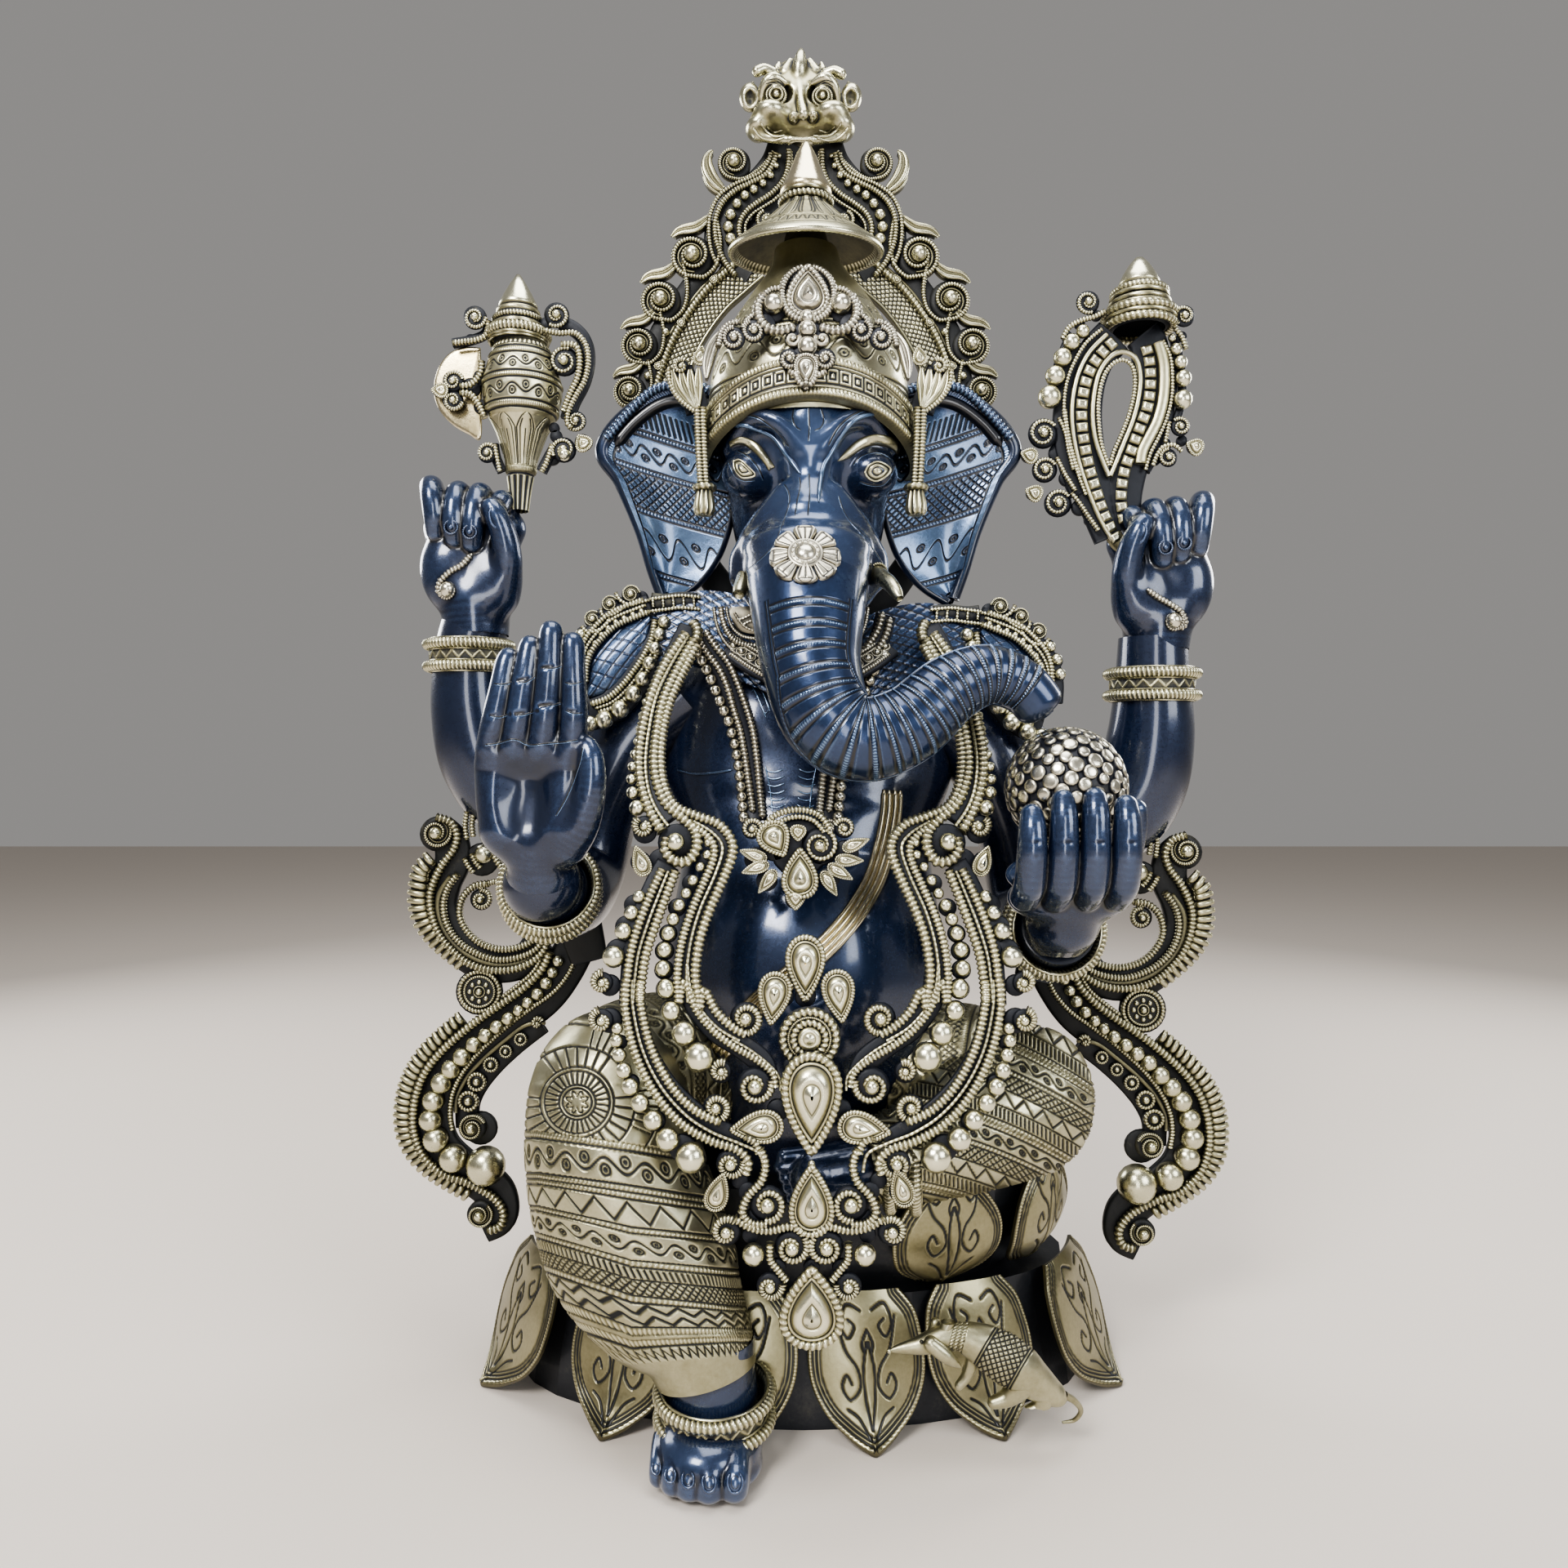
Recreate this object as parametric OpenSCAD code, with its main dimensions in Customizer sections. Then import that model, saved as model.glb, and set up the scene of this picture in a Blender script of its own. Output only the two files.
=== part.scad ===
// Seated four-armed elephant-headed figure on a lotus throne, with an openwork
// halo, hand attributes and a hanging front ornament. A hollow cast brass
// assembly: every casting is its own solid, pinned, bolted or brazed to the next.
// Millimetres. +Z up, the figure faces -Y, +X is the figure's own left hand.
// Origin: middle of the flat underside of the lotus base.

/* [Base] */
// Half width of the lotus base drum
base_rx = 184; // [176:1:190]
// Half depth of the lotus base drum
base_ry = 84; // [78:1:88]
// Height of the lower lotus tier
base_h = 76; // [72:1:80]
// Wall of the hollow castings
wall = 6; // [4:0.5:8]
// Top of the seat drum
seat_top = 142; // [138:1:146]

/* [Figure] */
// Sideways offset of the head and crown axis
head_x = 5; // [0:1:8]
// Height of the head's centre
head_z = 590; // [586:1:594]
// Radius of the crown umbrella disc
umbrella_r = 50; // [46:1:54]

/* [Ornament] */
// Thickness of the flat openwork castings
plate_t = 8; // [6:1:10]
// Depth position of the halo's front face
halo_y = 40; // [38:1:44]
// Radius of the halo volutes
volute_r = 15.5; // [14:0.5:17]
// Radius of the sweet held in the front left hand
sweet_r = 36; // [34:1:38]

/* [Hidden] */
$fn = 32;
eps = 0.01;

// ---- curves and skins -------------------------------------------------------
function cr1(a, b, c, d, t) =
  0.5 * (2*b + (c - a)*t + (2*a - 5*b + 4*c - d)*t*t + (3*b - a - 3*c + d)*t*t*t);
// Smooth curve through rows of any length, k steps a span
function smooth(p, k) = concat(
  [for (i = [0:len(p)-2]) for (j = [0:k-1])
    cr1(p[max(i-1, 0)], p[i], p[i+1], p[min(i+2, len(p)-1)], j/k)],
  [p[len(p)-1]]);
function unit(v) = v / norm(v);
function xyz(v) = [v[0], v[1], v[2]];
function tangent(q, i) = unit(xyz(q[min(i+1, len(q)-1)]) - xyz(q[max(i-1, 0)]));
function thin(p, w) = [for (c = p) [c[0], c[1], c[2], c[3]-w, c[4]-w]];
function oval(rx, ry, n = 48) = [for (i = [0:n-1]) [rx*cos(360*i/n), ry*sin(360*i/n)]];
function about(p, c) = [for (v = p) [2*c - v[0], v[1], v[2], v[3], v[4]]];

// Closed skin along a path. Rows are [x, y, z, half width, half depth].
module limb(cp, up = [0, 1, 0], n = 14, k = 4) {
  q = smooth(cp, k);
  m = len(q);
  pts = [for (i = [0:m-1])
    let (t = tangent(q, i), a = unit(cross(up, t)), b = cross(t, a))
    for (j = [0:n-1])
      xyz(q[i]) + a*q[i][3]*cos(360*j/n) + b*q[i][4]*sin(360*j/n)];
  polyhedron(pts, concat(
    [[for (j = [0:n-1]) j]],
    [for (i = [0:m-2]) for (j = [0:n-1])
      [i*n+j, (i+1)*n+j, (i+1)*n+(j+1)%n, i*n+(j+1)%n]],
    [[for (j = [n-1:-1:0]) (m-1)*n+j]]), convexity = 8);
}
// Flat strip along a planar path. Rows are [x, z, half width].
module strip(cp, k = 3) {
  q = smooth(cp, k);
  m = len(q);
  function nrm(i) = let (a = q[max(i-1, 0)], b = q[min(i+1, m-1)],
    d = [b[0]-a[0], b[1]-a[1]]) [-d[1], d[0]] / norm(d);
  polygon(concat(
    [for (i = [0:m-1]) [q[i][0], q[i][1]] + nrm(i)*q[i][2]],
    [for (i = [m-1:-1:0]) [q[i][0], q[i][1]] - nrm(i)*q[i][2]]));
}
// Stands an XZ drawing up with its front face at depth y
module upright(y, t) translate([0, y + t, 0]) rotate([90, 0, 0]) linear_extrude(t) children();
// Raised snail scroll: rim ring and a ball, on a flat disc, facing -Y
module volute(r, t = 4) rotate([90, 0, 0]) {
  cylinder(r = r, h = t);
  translate([0, 0, t]) rotate_extrude() translate([r*0.74, 0]) circle(r = r*0.2, $fn = 16);
  translate([0, 0, t*0.7]) sphere(r = r*0.36, $fn = 24);
}
// Drop-shaped pendant in the XZ plane, point up, facing -Y
module drop(r, h, t = 6) rotate([90, 0, 0]) linear_extrude(t)
  polygon(concat([for (a = [-200:20:20]) [r*cos(a), r*sin(a)]],
    [[r*0.62, r*0.72], [0, h], [-r*0.62, r*0.72]]));
module bead(p, r) translate(p) sphere(r = r, $fn = 24);

// ---- base -------------------------------------------------------------------
boss_at = [[-120, 30], [120, 30], [-120, -30], [120, -30]];
module base_cover_plate() color("darkgoldenrod") difference() {
  linear_extrude(4) polygon(oval(base_rx - wall - 1, base_ry - wall - 1));
  for (b = boss_at) translate([b[0], b[1], -1]) cylinder(r = 2.8, h = 8);
  for (b = boss_at) translate([b[0], b[1], -eps]) cylinder(r1 = 5.4, r2 = 2.8, h = 2.6);
}
module base_cover_screws() color("silver")
  for (b = boss_at) translate([b[0], b[1], 0.2]) {
    cylinder(r1 = 5.1, r2 = 2.4, h = 2.5);
    cylinder(r = 2.4, h = 18);
  }
drum = [[0, 0, 0, base_rx, base_ry], [0, 0, 24, base_rx-3, base_ry-2],
  [0, 0, 52, base_rx-8, base_ry-4], [0, 0, base_h, base_rx-12, base_ry-6]];
module lotus_base_shell() color("darkslategray") {
  difference() {
    limb(drum, n = 32, k = 1);
    limb([[0, 0, -1, base_rx-8, base_ry-8], [0, 0, 24, base_rx-11, base_ry-10],
      [0, 0, 46, base_rx-15, base_ry-12], [0, 0, base_h-8, base_rx-20, base_ry-14]], n = 32, k = 1);
    translate([0, 0, -1]) linear_extrude(5.2) polygon(oval(base_rx-wall, base_ry-wall, 36));
    translate([0, 0, base_h-20]) cylinder(r = 8.5, h = 40);
  }
  for (b = boss_at) difference() {
    translate([b[0], b[1], 4.2]) cylinder(r = 8, h = base_h - 12);
    translate([b[0], b[1], 4]) cylinder(r = 2.45, h = 18);
  }
}
// Petal hanging or rising off an oval, at angle a from the front
module petal(a, rx, ry, prof, tip = 1, lean = 0) {
  nn = unit([sin(a)/rx, -cos(a)/ry]);
  limb([for (c = prof) let (w = lean*c[1]/base_h)
    [(rx-2*w)*sin(a) + nn[0]*c[0], -(ry-w)*cos(a) + nn[1]*c[0], c[1], c[2]*tip, c[3]]],
    up = [nn[0], nn[1], 0], n = 8, k = 2);
}
lower_a = [12, 36, 75, 144, 168, 192, 216, 285, 324, 348];
lower_prof = [[1, 78, 19, 5], [4, 60, 31, 6], [8, 36, 34, 7], [14, 16, 26, 6],
  [24, 5.5, 11, 4], [30, 3.2, 2, 3]];
module lower_lotus_petals() color("tan")
  for (a = lower_a) difference() {
    petal(a, base_rx, base_ry, lower_prof, abs(a-180) == 105 ? 1.25 : 1, 6);
    limb([[0, 0, -3, base_rx+0.1, base_ry+0.1], [0, 0, 24, base_rx-2.9, base_ry-1.9],
      [0, 0, 52, base_rx-7.9, base_ry-3.9], [0, 0, base_h+6, base_rx-11.9, base_ry-5.9]], n = 32, k = 1);
    seat_below();
  }
seat = [[0, 0, base_h, 140, 70], [0, 0, 96, 152, 76], [0, 0, 122, 166, 84],
  [0, 0, seat_top, 168, 86]];
module seat_drum() color("darkslategray") difference() {
  limb(seat, n = 32, k = 1);
  limb([[0, 0, base_h-1, 132, 62], [0, 0, 96, 144, 68], [0, 0, 118, 157, 75],
    [0, 0, seat_top-8, 158, 76]], n = 32, k = 1);
  translate([0, 0, base_h]) cylinder(r = 8.5, h = 90);
}
upper_a = [33, 68, 112, 153, 207, 248, 292, 327];
upper_prof = [[-1, 82, 16, 3], [8, 92, 31, 6], [17, 112, 36, 7], [14, 134, 27, 5],
  [17, 148, 11, 4], [21, 157, 2, 2.5]];
module upper_lotus_petals() color("tan")
  for (a = upper_a) difference() {
    petal(a, 152, 76, upper_prof);
    limb([[0, 0, base_h-6, 139, 70], [0, 0, 96, 152.1, 76.1], [0, 0, 122, 166.1, 84.1],
      [0, 0, seat_top+1, 168.1, 86.1], [0, 0, seat_top+30, 168.1, 86.1]], n = 32, k = 1);
  }
module seat_tie_bolt() color("silver") {
  translate([0, 0, base_h-14]) cylinder(r = 8, h = seat_top-base_h+24);
  difference() {
    translate([0, 0, base_h-20.5]) cylinder(r = 15, h = 12.4, $fn = 6);
    translate([0, 0, base_h-21]) cylinder(r = 8.1, h = 14);
  }
}

// ---- figure -----------------------------------------------------------------
body = [[0, 2, seat_top, 96, 62], [0, -2, 180, 98, 72], [2, -8, 235, 94, 84],
  [3, -8, 290, 88, 82], [4, -2, 345, 80, 66], [5, 4, 400, 86, 54],
  [5, 8, 440, 96, 46], [5, 10, 468, 78, 38], [5, 8, 492, 44, 32], [5, 6, 512, 34, 30]];
module torso_solid() limb(body, n = 18, k = 2);
module torso_shell() color("midnightblue") difference() {
  torso_solid();
  limb([[0, 0, 150, 84, 50], [0, -2, 180, 90, 64], [2, -8, 235, 86, 76],
    [3, -8, 290, 80, 74], [4, -2, 345, 72, 58], [5, 4, 400, 76, 46],
    [5, 8, 436, 70, 36], [5, 8, 462, 30, 22]], n = 14, k = 2);
  translate([0, 0, seat_top-1]) cylinder(r = 8.2, h = 20);
  for (z = [478, 500]) translate([head_x, halo_y-15, z]) rotate([-90, 0, 0]) cylinder(r = 4.1, h = 40);
}
module waist_sash() color("goldenrod") difference() {
  limb([[62, -82, 352, 9, 3], [44, -92, 325, 10, 3.2], [24, -99, 296, 11, 3.4],
    [0, -102, 268, 11, 3.4], [-24, -99, 246, 10, 3.2]], n = 8, k = 2);
  torso_solid();
}
shin_r = [[-112, -80, 196, 48, 46], [-108, -92, 170, 50, 46], [-98, -97, 138, 50, 42], [-80, -102, 104, 50, 38],
  [-62, -108, 76, 40, 33], [-53, -112, 60, 28, 27]];
module right_leg_solid() {
  limb([[-46, -14, 196, 48, 46], [-84, -44, 202, 50, 49], [-112, -74, 200, 49, 49]], up = [0, 0, 1], n = 18, k = 2);
  translate([-112, -78, 198]) sphere(r = 49);
  limb(shin_r, up = [0.25, 1, 0.2], n = 18, k = 2);
}
module seat_below() limb([[0, 0, base_h-6, 141, 71], [0, 0, 96, 152.4, 76.4],
  [0, 0, 122, 166.4, 84.4], [0, 0, seat_top+0.3, 168.4, 86.4]], n = 32, k = 1);
module right_leg() color("tan") difference() {
  right_leg_solid();
  torso_solid();
  seat_below();
  for (a = [324, 348]) petal(a, base_rx, base_ry, lower_prof, 1, 6);
  for (a = [292, 327]) petal(a, 152, 76, upper_prof);
}
module foot_solid() {
  limb([[-50, -112, 59, 22, 22], [-50, -113, 40, 23, 23], [-50, -114, 22, 25, 27],
    [-51, -116, 0, 27, 33]], n = 14, k = 2);
  limb([[-50, -92, 14, 22, 14], [-51, -120, 17, 26, 17], [-52, -144, 12, 28, 12],
    [-53, -158, 9, 26, 9]], up = [0, 0, 1], n = 14, k = 2);
  for (i = [0:4]) limb([[-76+i*11.6, -148+abs(i-3)*1.6, 8, 5.6, 8], [-76+i*11.6, -158+abs(i-3)*2, 7.5, 5.6, 7.5],
    [-76+i*11.6, -163+abs(i-3)*2, 6.5, 4.4, 5.5]], up = [0, 0, 1], n = 8, k = 2);
}
module right_foot() color("midnightblue") difference() {
  foot_solid();
  translate([-200, -250, -60]) cube([400, 300, 60]);
  right_leg_solid();
}
module right_anklet() color("goldenrod") translate([-50, -113.5, 32]) rotate([6, 0, 0])
  for (z = [0, 8]) translate([0, 0, z]) rotate_extrude($fn = 48) translate([29 - z*0.25, 0]) circle(r = 3.6, $fn = 18);
module left_leg_solid() {
  limb([[48, -14, 190, 46, 44], [86, -34, 194, 49, 48], [126, -48, 194, 48, 48]], up = [0, 0, 1], n = 18, k = 2);
  translate([127, -52, 192]) sphere(r = 47);
  limb([[130, -68, 184, 40, 40], [104, -90, 172, 34, 34], [68, -96, 166, 27, 27]], up = [0, 0, 1], n = 18, k = 2);
}
module left_leg() color("tan") difference() {
  left_leg_solid();
  torso_solid();
  seat_below();
}
module left_foot() color("midnightblue") difference() {
  limb([[72, -94, 164, 20, 20], [50, -98, 160, 18, 18], [26, -102, 158, 19, 15],
    [2, -104, 158, 20, 11], [-10, -104, 158, 16, 8]], up = [0, 0, 1], n = 12, k = 2);
  left_leg_solid();
  torso_solid();
  seat_below();
  right_leg_solid();
}
module left_anklet() color("goldenrod") translate([58, -96.5, 162]) rotate([0, 90, 12])
  rotate_extrude($fn = 48) translate([24, 0]) circle(r = 3.2, $fn = 18);

head = [[head_x, 4, 512, 32, 28], [head_x, -6, 536, 46, 42], [head_x, -14, 564, 55, 52],
  [head_x, -18, 592, 60, 56], [head_x, -18, 622, 61, 56], [head_x, -16, 648, 54, 50]];
module head_solid() limb(head, n = 18, k = 2);
module head_shell() color("midnightblue") difference() {
  head_solid();
  limb([[head_x, -6, 540, 36, 34], [head_x, -14, 566, 47, 44], [head_x, -18, 594, 52, 48],
    [head_x, -18, 622, 53, 48], [head_x, -16, 640, 44, 40]], n = 18, k = 2);
}
trunk_path = [[head_x-1, -52, 556, 42, 24], [head_x-2, -74, 522, 38, 30], [head_x-2, -92, 482, 33, 31],
  [head_x, -106, 446, 28, 28], [14, -114, 418, 26, 26], [33, -117, 406, 24, 24],
  [58, -116, 414, 22, 22], [82, -111, 434, 19.5, 19.5], [105, -106, 443, 17, 17],
  [126, -103, 436, 15, 15], [139, -102, 421, 13.5, 13.5]];
module trunk() color("midnightblue") difference() {
  limb(trunk_path, up = [0, 1, 0.3], n = 16, k = 2);
  limb([[head_x-1, -44, 562, 32, 20], [head_x-2, -72, 522, 30, 22], [head_x-2, -90, 482, 25, 23],
    [head_x, -104, 448, 20, 20]], up = [0, 1, 0.3], n = 14, k = 2);
  head_solid();
  flower_seat() translate([0, 0, -8]) cylinder(r = 3.1, h = 20);
  translate([152, -96, 379]) sphere(r = sweet_r + 0.3, $fn = 48);
}
ear_out = [[-50, 627], [-68, 641], [-97, 636], [-129, 604], [-119, 580], [-106, 548],
  [-98, 522], [-91, 501], [-70, 512], [-52, 540], [-47, 575]];
module ear_blank() upright(-12, 9) polygon(ear_out);
module right_ear() color("navy") difference() {
  ear_blank();
  limb(head, n = 18, k = 2);
}
module left_ear() color("navy") difference() {
  translate([2*head_x, 0, 0]) mirror([1, 0, 0]) ear_blank();
  limb(head, n = 18, k = 2);
}
module eye_inlays() color("gold") for (s = [-1, 1]) difference() {
  translate([head_x + s*41, -56, 575]) rotate([90, 0, s*34]) scale(1) cylinder(r1 = 9, r2 = 7, h = 7);
  head_solid();
}
module tusks() color("gold") difference() {
  union() {
    limb([[head_x-38, -58, 512, 7, 7], [head_x-41, -72, 498, 6, 6], [head_x-42, -79, 492, 4.5, 4.5]], n = 14, k = 2);
    limb([[head_x+38, -58, 512, 7, 7], [head_x+43, -72, 496, 6, 6], [head_x+47, -86, 484, 4, 4],
      [head_x+49, -93, 479, 2, 2]], n = 14, k = 2);
  }
  limb(trunk_path, up = [0, 1, 0.3], n = 16, k = 2);
  head_solid();
}
module flower_seat() translate([head_x-4, -113, 510.4]) rotate([62, 0, 0]) children();
module trunk_flower() color("gold") flower_seat() {
  for (a = [0:60:300]) rotate(a) translate([10.5, 0, 0]) cylinder(r = 5, h = 4.5);
  cylinder(r = 8, h = 5.5);
  translate([0, 0, -7]) cylinder(r = 3, h = 8);
}

// ---- crown ------------------------------------------------------------------
module crown_dome() color("tan") difference() {
  dome_solid();
  head_solid();
  limb([[head_x, -16, 640, 50, 46], [head_x, -18, 668, 46, 42], [head_x, -20, 690, 30, 28],
    [head_x, -22, 700, 16, 16]], n = 18, k = 2);
  translate([head_x-2, -26, 690]) cylinder(r = 6.1, h = 40);
}
module band_ring(g) translate([head_x, -18, 604]) rotate([-14, 0, 0]) translate([0, 0, -g]) linear_extrude(24+2*g)
  difference() { polygon(oval(73+g, 68+g, 60)); polygon(oval(64, 59, 60)); }
module crown_band() color("goldenrod") difference() {
  band_ring(0);
  dome_solid();
  head_solid();
}
module dome_solid() limb([[head_x, -16, 612, 66, 61], [head_x, -18, 640, 64, 59], [head_x, -18, 668, 55, 50],
  [head_x, -20, 692, 40, 37], [head_x-1, -24, 710, 25, 25], [head_x-2, -26, 716, 21, 21]], n = 20, k = 2);
module crown_crest() color("gold") difference() { crest(); dome_solid(); band_ring(0); }
module crest() translate([head_x-2, -77, 642]) rotate([-17, 0, 0]) {
  translate([0, 7, 0]) rotate([90, 0, 0]) linear_extrude(7) union() {
    translate([0, 22]) circle(r = 13);
    translate([-5, -20]) square([10, 40]);
    for (s = [-1, 1]) translate([s*15, 22]) circle(r = 6);
    for (s = [-1, 1]) translate([s*8, -16]) circle(r = 5);
  }
  translate([0, 0, 22]) drop(12, 22, 6);
  translate([0, 0, 2]) rotate([90, 0, 0]) cylinder(r = 8, h = 5);
  translate([0, 0, -16]) rotate([90, 0, 0]) cylinder(r = 7, h = 5);
  for (s = [-1, 1]) translate([s*17, 0, 22]) volute(7, 3);
  for (s = [-1, 1]) translate([s*10, 0, -16]) volute(5.5, 3);
}
module crown_tassels() color("gold") for (s = [-1, 1]) translate([head_x + s*67, -40, 0]) {
  translate([0, 0, 566]) cylinder(r = 3, h = 56);
  translate([0, 0, 561]) sphere(r = 5.5, $fn = 24);
  translate([0, 0, 545]) cylinder(r1 = 5, r2 = 6.5, h = 13);
  translate([s*6, 0, 626]) rotate([0, 0, 0]) cylinder(r1 = 3, r2 = 11, h = 24, $fn = 20);
}
module crown_umbrella() color("goldenrod") translate([head_x-2, -26, 0]) difference() {
  rotate_extrude($fn = 64) polygon([[6.3, 700.3], [14, 700.3], [14, 717], [23, 717], [umbrella_r-3, 713],
    [umbrella_r, 716], [umbrella_r, 720], [38, 729], [24, 741], [19, 746], [6.3, 746]]);
  difference() {
    translate([0, 0, 690]) cylinder(r = 60, h = 26.6);
    translate([0, 0, 680]) cylinder(r = 13.9, h = 60);
    translate([0, 0, 716.6]) cylinder(r = 60, h = 10);
    translate([0, 0, 690]) difference() { cylinder(r = 60, h = 40); cylinder(r = 26, h = 50); }
  }
}
module crown_finial() color("gold") translate([head_x-2, -26, 0]) rotate_extrude($fn = 48)
  polygon([[0, 702], [6, 702], [6, 746.3], [17, 746.3], [18, 749], [17, 752], [13.5, 753],
    [13.5, 756], [14.5, 758], [9, 774], [3, 791], [0, 796]]);

// ---- arms -------------------------------------------------------------------
rra = [[-72, 22, 446, 34, 32], [-112, 26, 424, 32, 30], [-160, 22, 388, 31, 30], [-192, 14, 374, 30, 30],
  [-212, 8, 396, 29, 29], [-220, 3, 430, 26, 26], [-222, 0, 466, 23, 23], [-221, -1, 486, 22, 22]];
rla = [[82, 22, 442, 34, 32], [122, 26, 416, 32, 30], [176, 22, 374, 31, 30], [210, 14, 358, 30, 30],
  [228, 8, 380, 30, 30], [234, 3, 414, 28, 28], [234, 0, 450, 24, 24], [234, -1, 476, 22, 22]];
module rear_right_arm() color("midnightblue") difference() { limb(rra, up = [0, 1, 0], n = 14, k = 2); torso_solid(); }
module rear_left_arm() color("midnightblue") difference() { limb(rla, up = [0, 1, 0], n = 14, k = 2); torso_solid(); }
// Closed fist on the end of a raised forearm. s = 1 puts the thumb side towards +X.
module fist(s) {
  limb([[0, 0, 0, 23, 20], [0, 0, 18, 30, 20], [0, 0, 44, 35, 18], [0, 2, 64, 34, 17], [0, 4, 76, 30, 13]], n = 14, k = 2);
  for (i = [0:2]) limb([[-s*(24-i*16), 4, 72, 8, 9], [-s*(24-i*16), -6, 84, 8, 9],
    [-s*(24-i*16), -18, 78, 8, 8], [-s*(24-i*16), -21, 64, 7.5, 7]], up = [1, 0, 0], n = 8, k = 2);
  limb([[s*22, -4, 24, 9, 9], [s*27, -14, 44, 9, 9], [s*22, -20, 62, 8, 8], [s*15, -22, 72, 6, 6]], up = [0, 1, 0.2], n = 8, k = 2);
}
module rear_right_hand() color("midnightblue") difference() {
  translate([-220, -2, 486.3]) rotate([0, 5, 0]) fist(1);
  translate([-190, -4, 510]) rotate([0, 2, 0]) cylinder(r = 6.3, h = 100);
}
module rear_left_hand() color("midnightblue") difference() {
  translate([236, -2, 476.3]) rotate([0, 5, 0]) fist(-1);
  translate([217, -4, 505]) rotate([0, -4, 0]) cylinder(r = 6.3, h = 100);
}
fra = [[-80, 2, 440, 32, 32], [-112, 0, 412, 31, 31], [-136, -4, 366, 30, 30], [-144, -14, 326, 29, 29],
  [-146, -44, 312, 27, 27], [-150, -72, 316, 24, 24], [-153, -92, 324, 22, 22]];
fla = [[92, 2, 436, 32, 32], [124, 0, 404, 31, 31], [146, -4, 352, 30, 30], [152, -14, 308, 29, 29],
  [152, -40, 292, 27, 27], [152, -64, 292, 24, 24], [152, -80, 296, 22, 22]];
module front_right_arm() color("midnightblue") difference() {
  limb(fra, up = [1, 0.1, 0], n = 14, k = 2); torso_solid(); limb(rra, up = [0, 1, 0], n = 14, k = 2);
  limb(thin([for (i = [0:5]) fra[i]], wall), up = [1, 0.1, 0], n = 12, k = 3); }
module front_left_arm() color("midnightblue") difference() {
  limb(fla, up = [1, 0.1, 0], n = 14, k = 2); torso_solid(); limb(rla, up = [0, 1, 0], n = 14, k = 2);
  left_leg_solid();
  limb(thin([for (i = [0:5]) fla[i]], wall), up = [1, 0.1, 0], n = 12, k = 3); }
module front_right_hand() color("midnightblue") {
  limb([[-153, -92.3, 326, 20, 18], [-153, -104, 332, 27, 15], [-152, -112, 350, 32, 13], [-150, -115, 376, 32, 10],
    [-148, -116, 402, 30, 8]], up = [0, 1, 0.4], n = 14, k = 2);
  for (i = [0:3]) limb([[-169+i*14, -116, 396, 7.4, 7], [-167+i*14.2, -116, 420, 7.2, 6.6],
    [-165+i*14.4, -115, 440+[0, 8, 14, 10][i]*0.8, 6.8, 6], [-163+i*14.4, -113, 450+[0, 8, 16, 11][i]*1.1, 4.4, 4.4]], n = 8, k = 2);
  limb([[-128, -110, 346, 10, 9], [-120, -116, 368, 9, 8.5], [-117, -117, 388, 7.5, 7], [-118, -116, 402, 4.5, 4.5]], n = 8, k = 2);
}
module front_left_hand() color("midnightblue") difference() {
  union() {
    limb([[152, -80.3, 296, 20, 20], [152, -92, 306, 28, 20], [151, -104, 320, 34, 18], [150, -116, 332, 34, 14]],
      up = [0, 1, 0.9], n = 14, k = 2);
    for (i = [0:3]) limb([[124+i*17.5, -120, 322, 8.4, 8.4], [124+i*17.5, -131, 334, 8.4, 8],
      [124+i*17, -134, 350, 8, 7.4], [125+i*16.6, -131, 360+[0, 9, 10, 6][i], 6, 5.5]], up = [0, 1, 0.3], n = 8, k = 2);
    limb([[180, -92, 322, 9, 9], [189, -88, 338, 8.5, 8.5], [193, -90, 356, 7, 7], [193, -92, 366, 4, 4]], n = 8, k = 2);
  }
  translate([152, -96, 379]) sphere(r = sweet_r + 0.3, $fn = 48);
}
module bangle(r) for (z = [-7, 7]) translate([0, 0, z]) rotate_extrude($fn = 48) translate([r, 0]) circle(r = 3.8, $fn = 18);
module bangle_set(r) { bangle(r + 3.6); difference() {
  translate([0, 0, -6]) cylinder(r = r + 2.4, h = 12, $fn = 48);
  translate([0, 0, -8]) cylinder(r = r, h = 16, $fn = 48); } }
module rear_right_bracelet() color("goldenrod") translate([-222, 0.5, 463]) rotate([2, 0, 0]) bangle_set(24.3);
module rear_left_bracelet() color("goldenrod") translate([234, 0.5, 447]) rotate([2, 0, 0]) bangle_set(25);
module front_right_bracelet() color("goldenrod") translate([-150.5, -76, 317.5]) rotate([66, 0, 8]) bangle(26.8);
module front_left_bracelet() color("goldenrod") translate([152, -66, 292.5]) rotate([82, 0, 0]) bangle(26.8);
module palm_scrolls() color("gold") for (h = [[-216, 512, 1, 0], [240, 498, -1, 0]])
  translate([h[0], -27.5, h[1]]) {
    upright(h[3], 4) union() {
      circle(r = 8);
      strip([[-h[2]*7, -2, 3], [-h[2]*10, 10, 3.2], [h[2]*2, 22, 3], [h[2]*10, 30, 2.5]]);
    }
    translate([0, h[3], 0]) sphere(r = 5, $fn = 24);
  }
module modak_sweet() color("wheat") translate([152, -96, 379]) sphere(r = sweet_r, $fn = 64);

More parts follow.
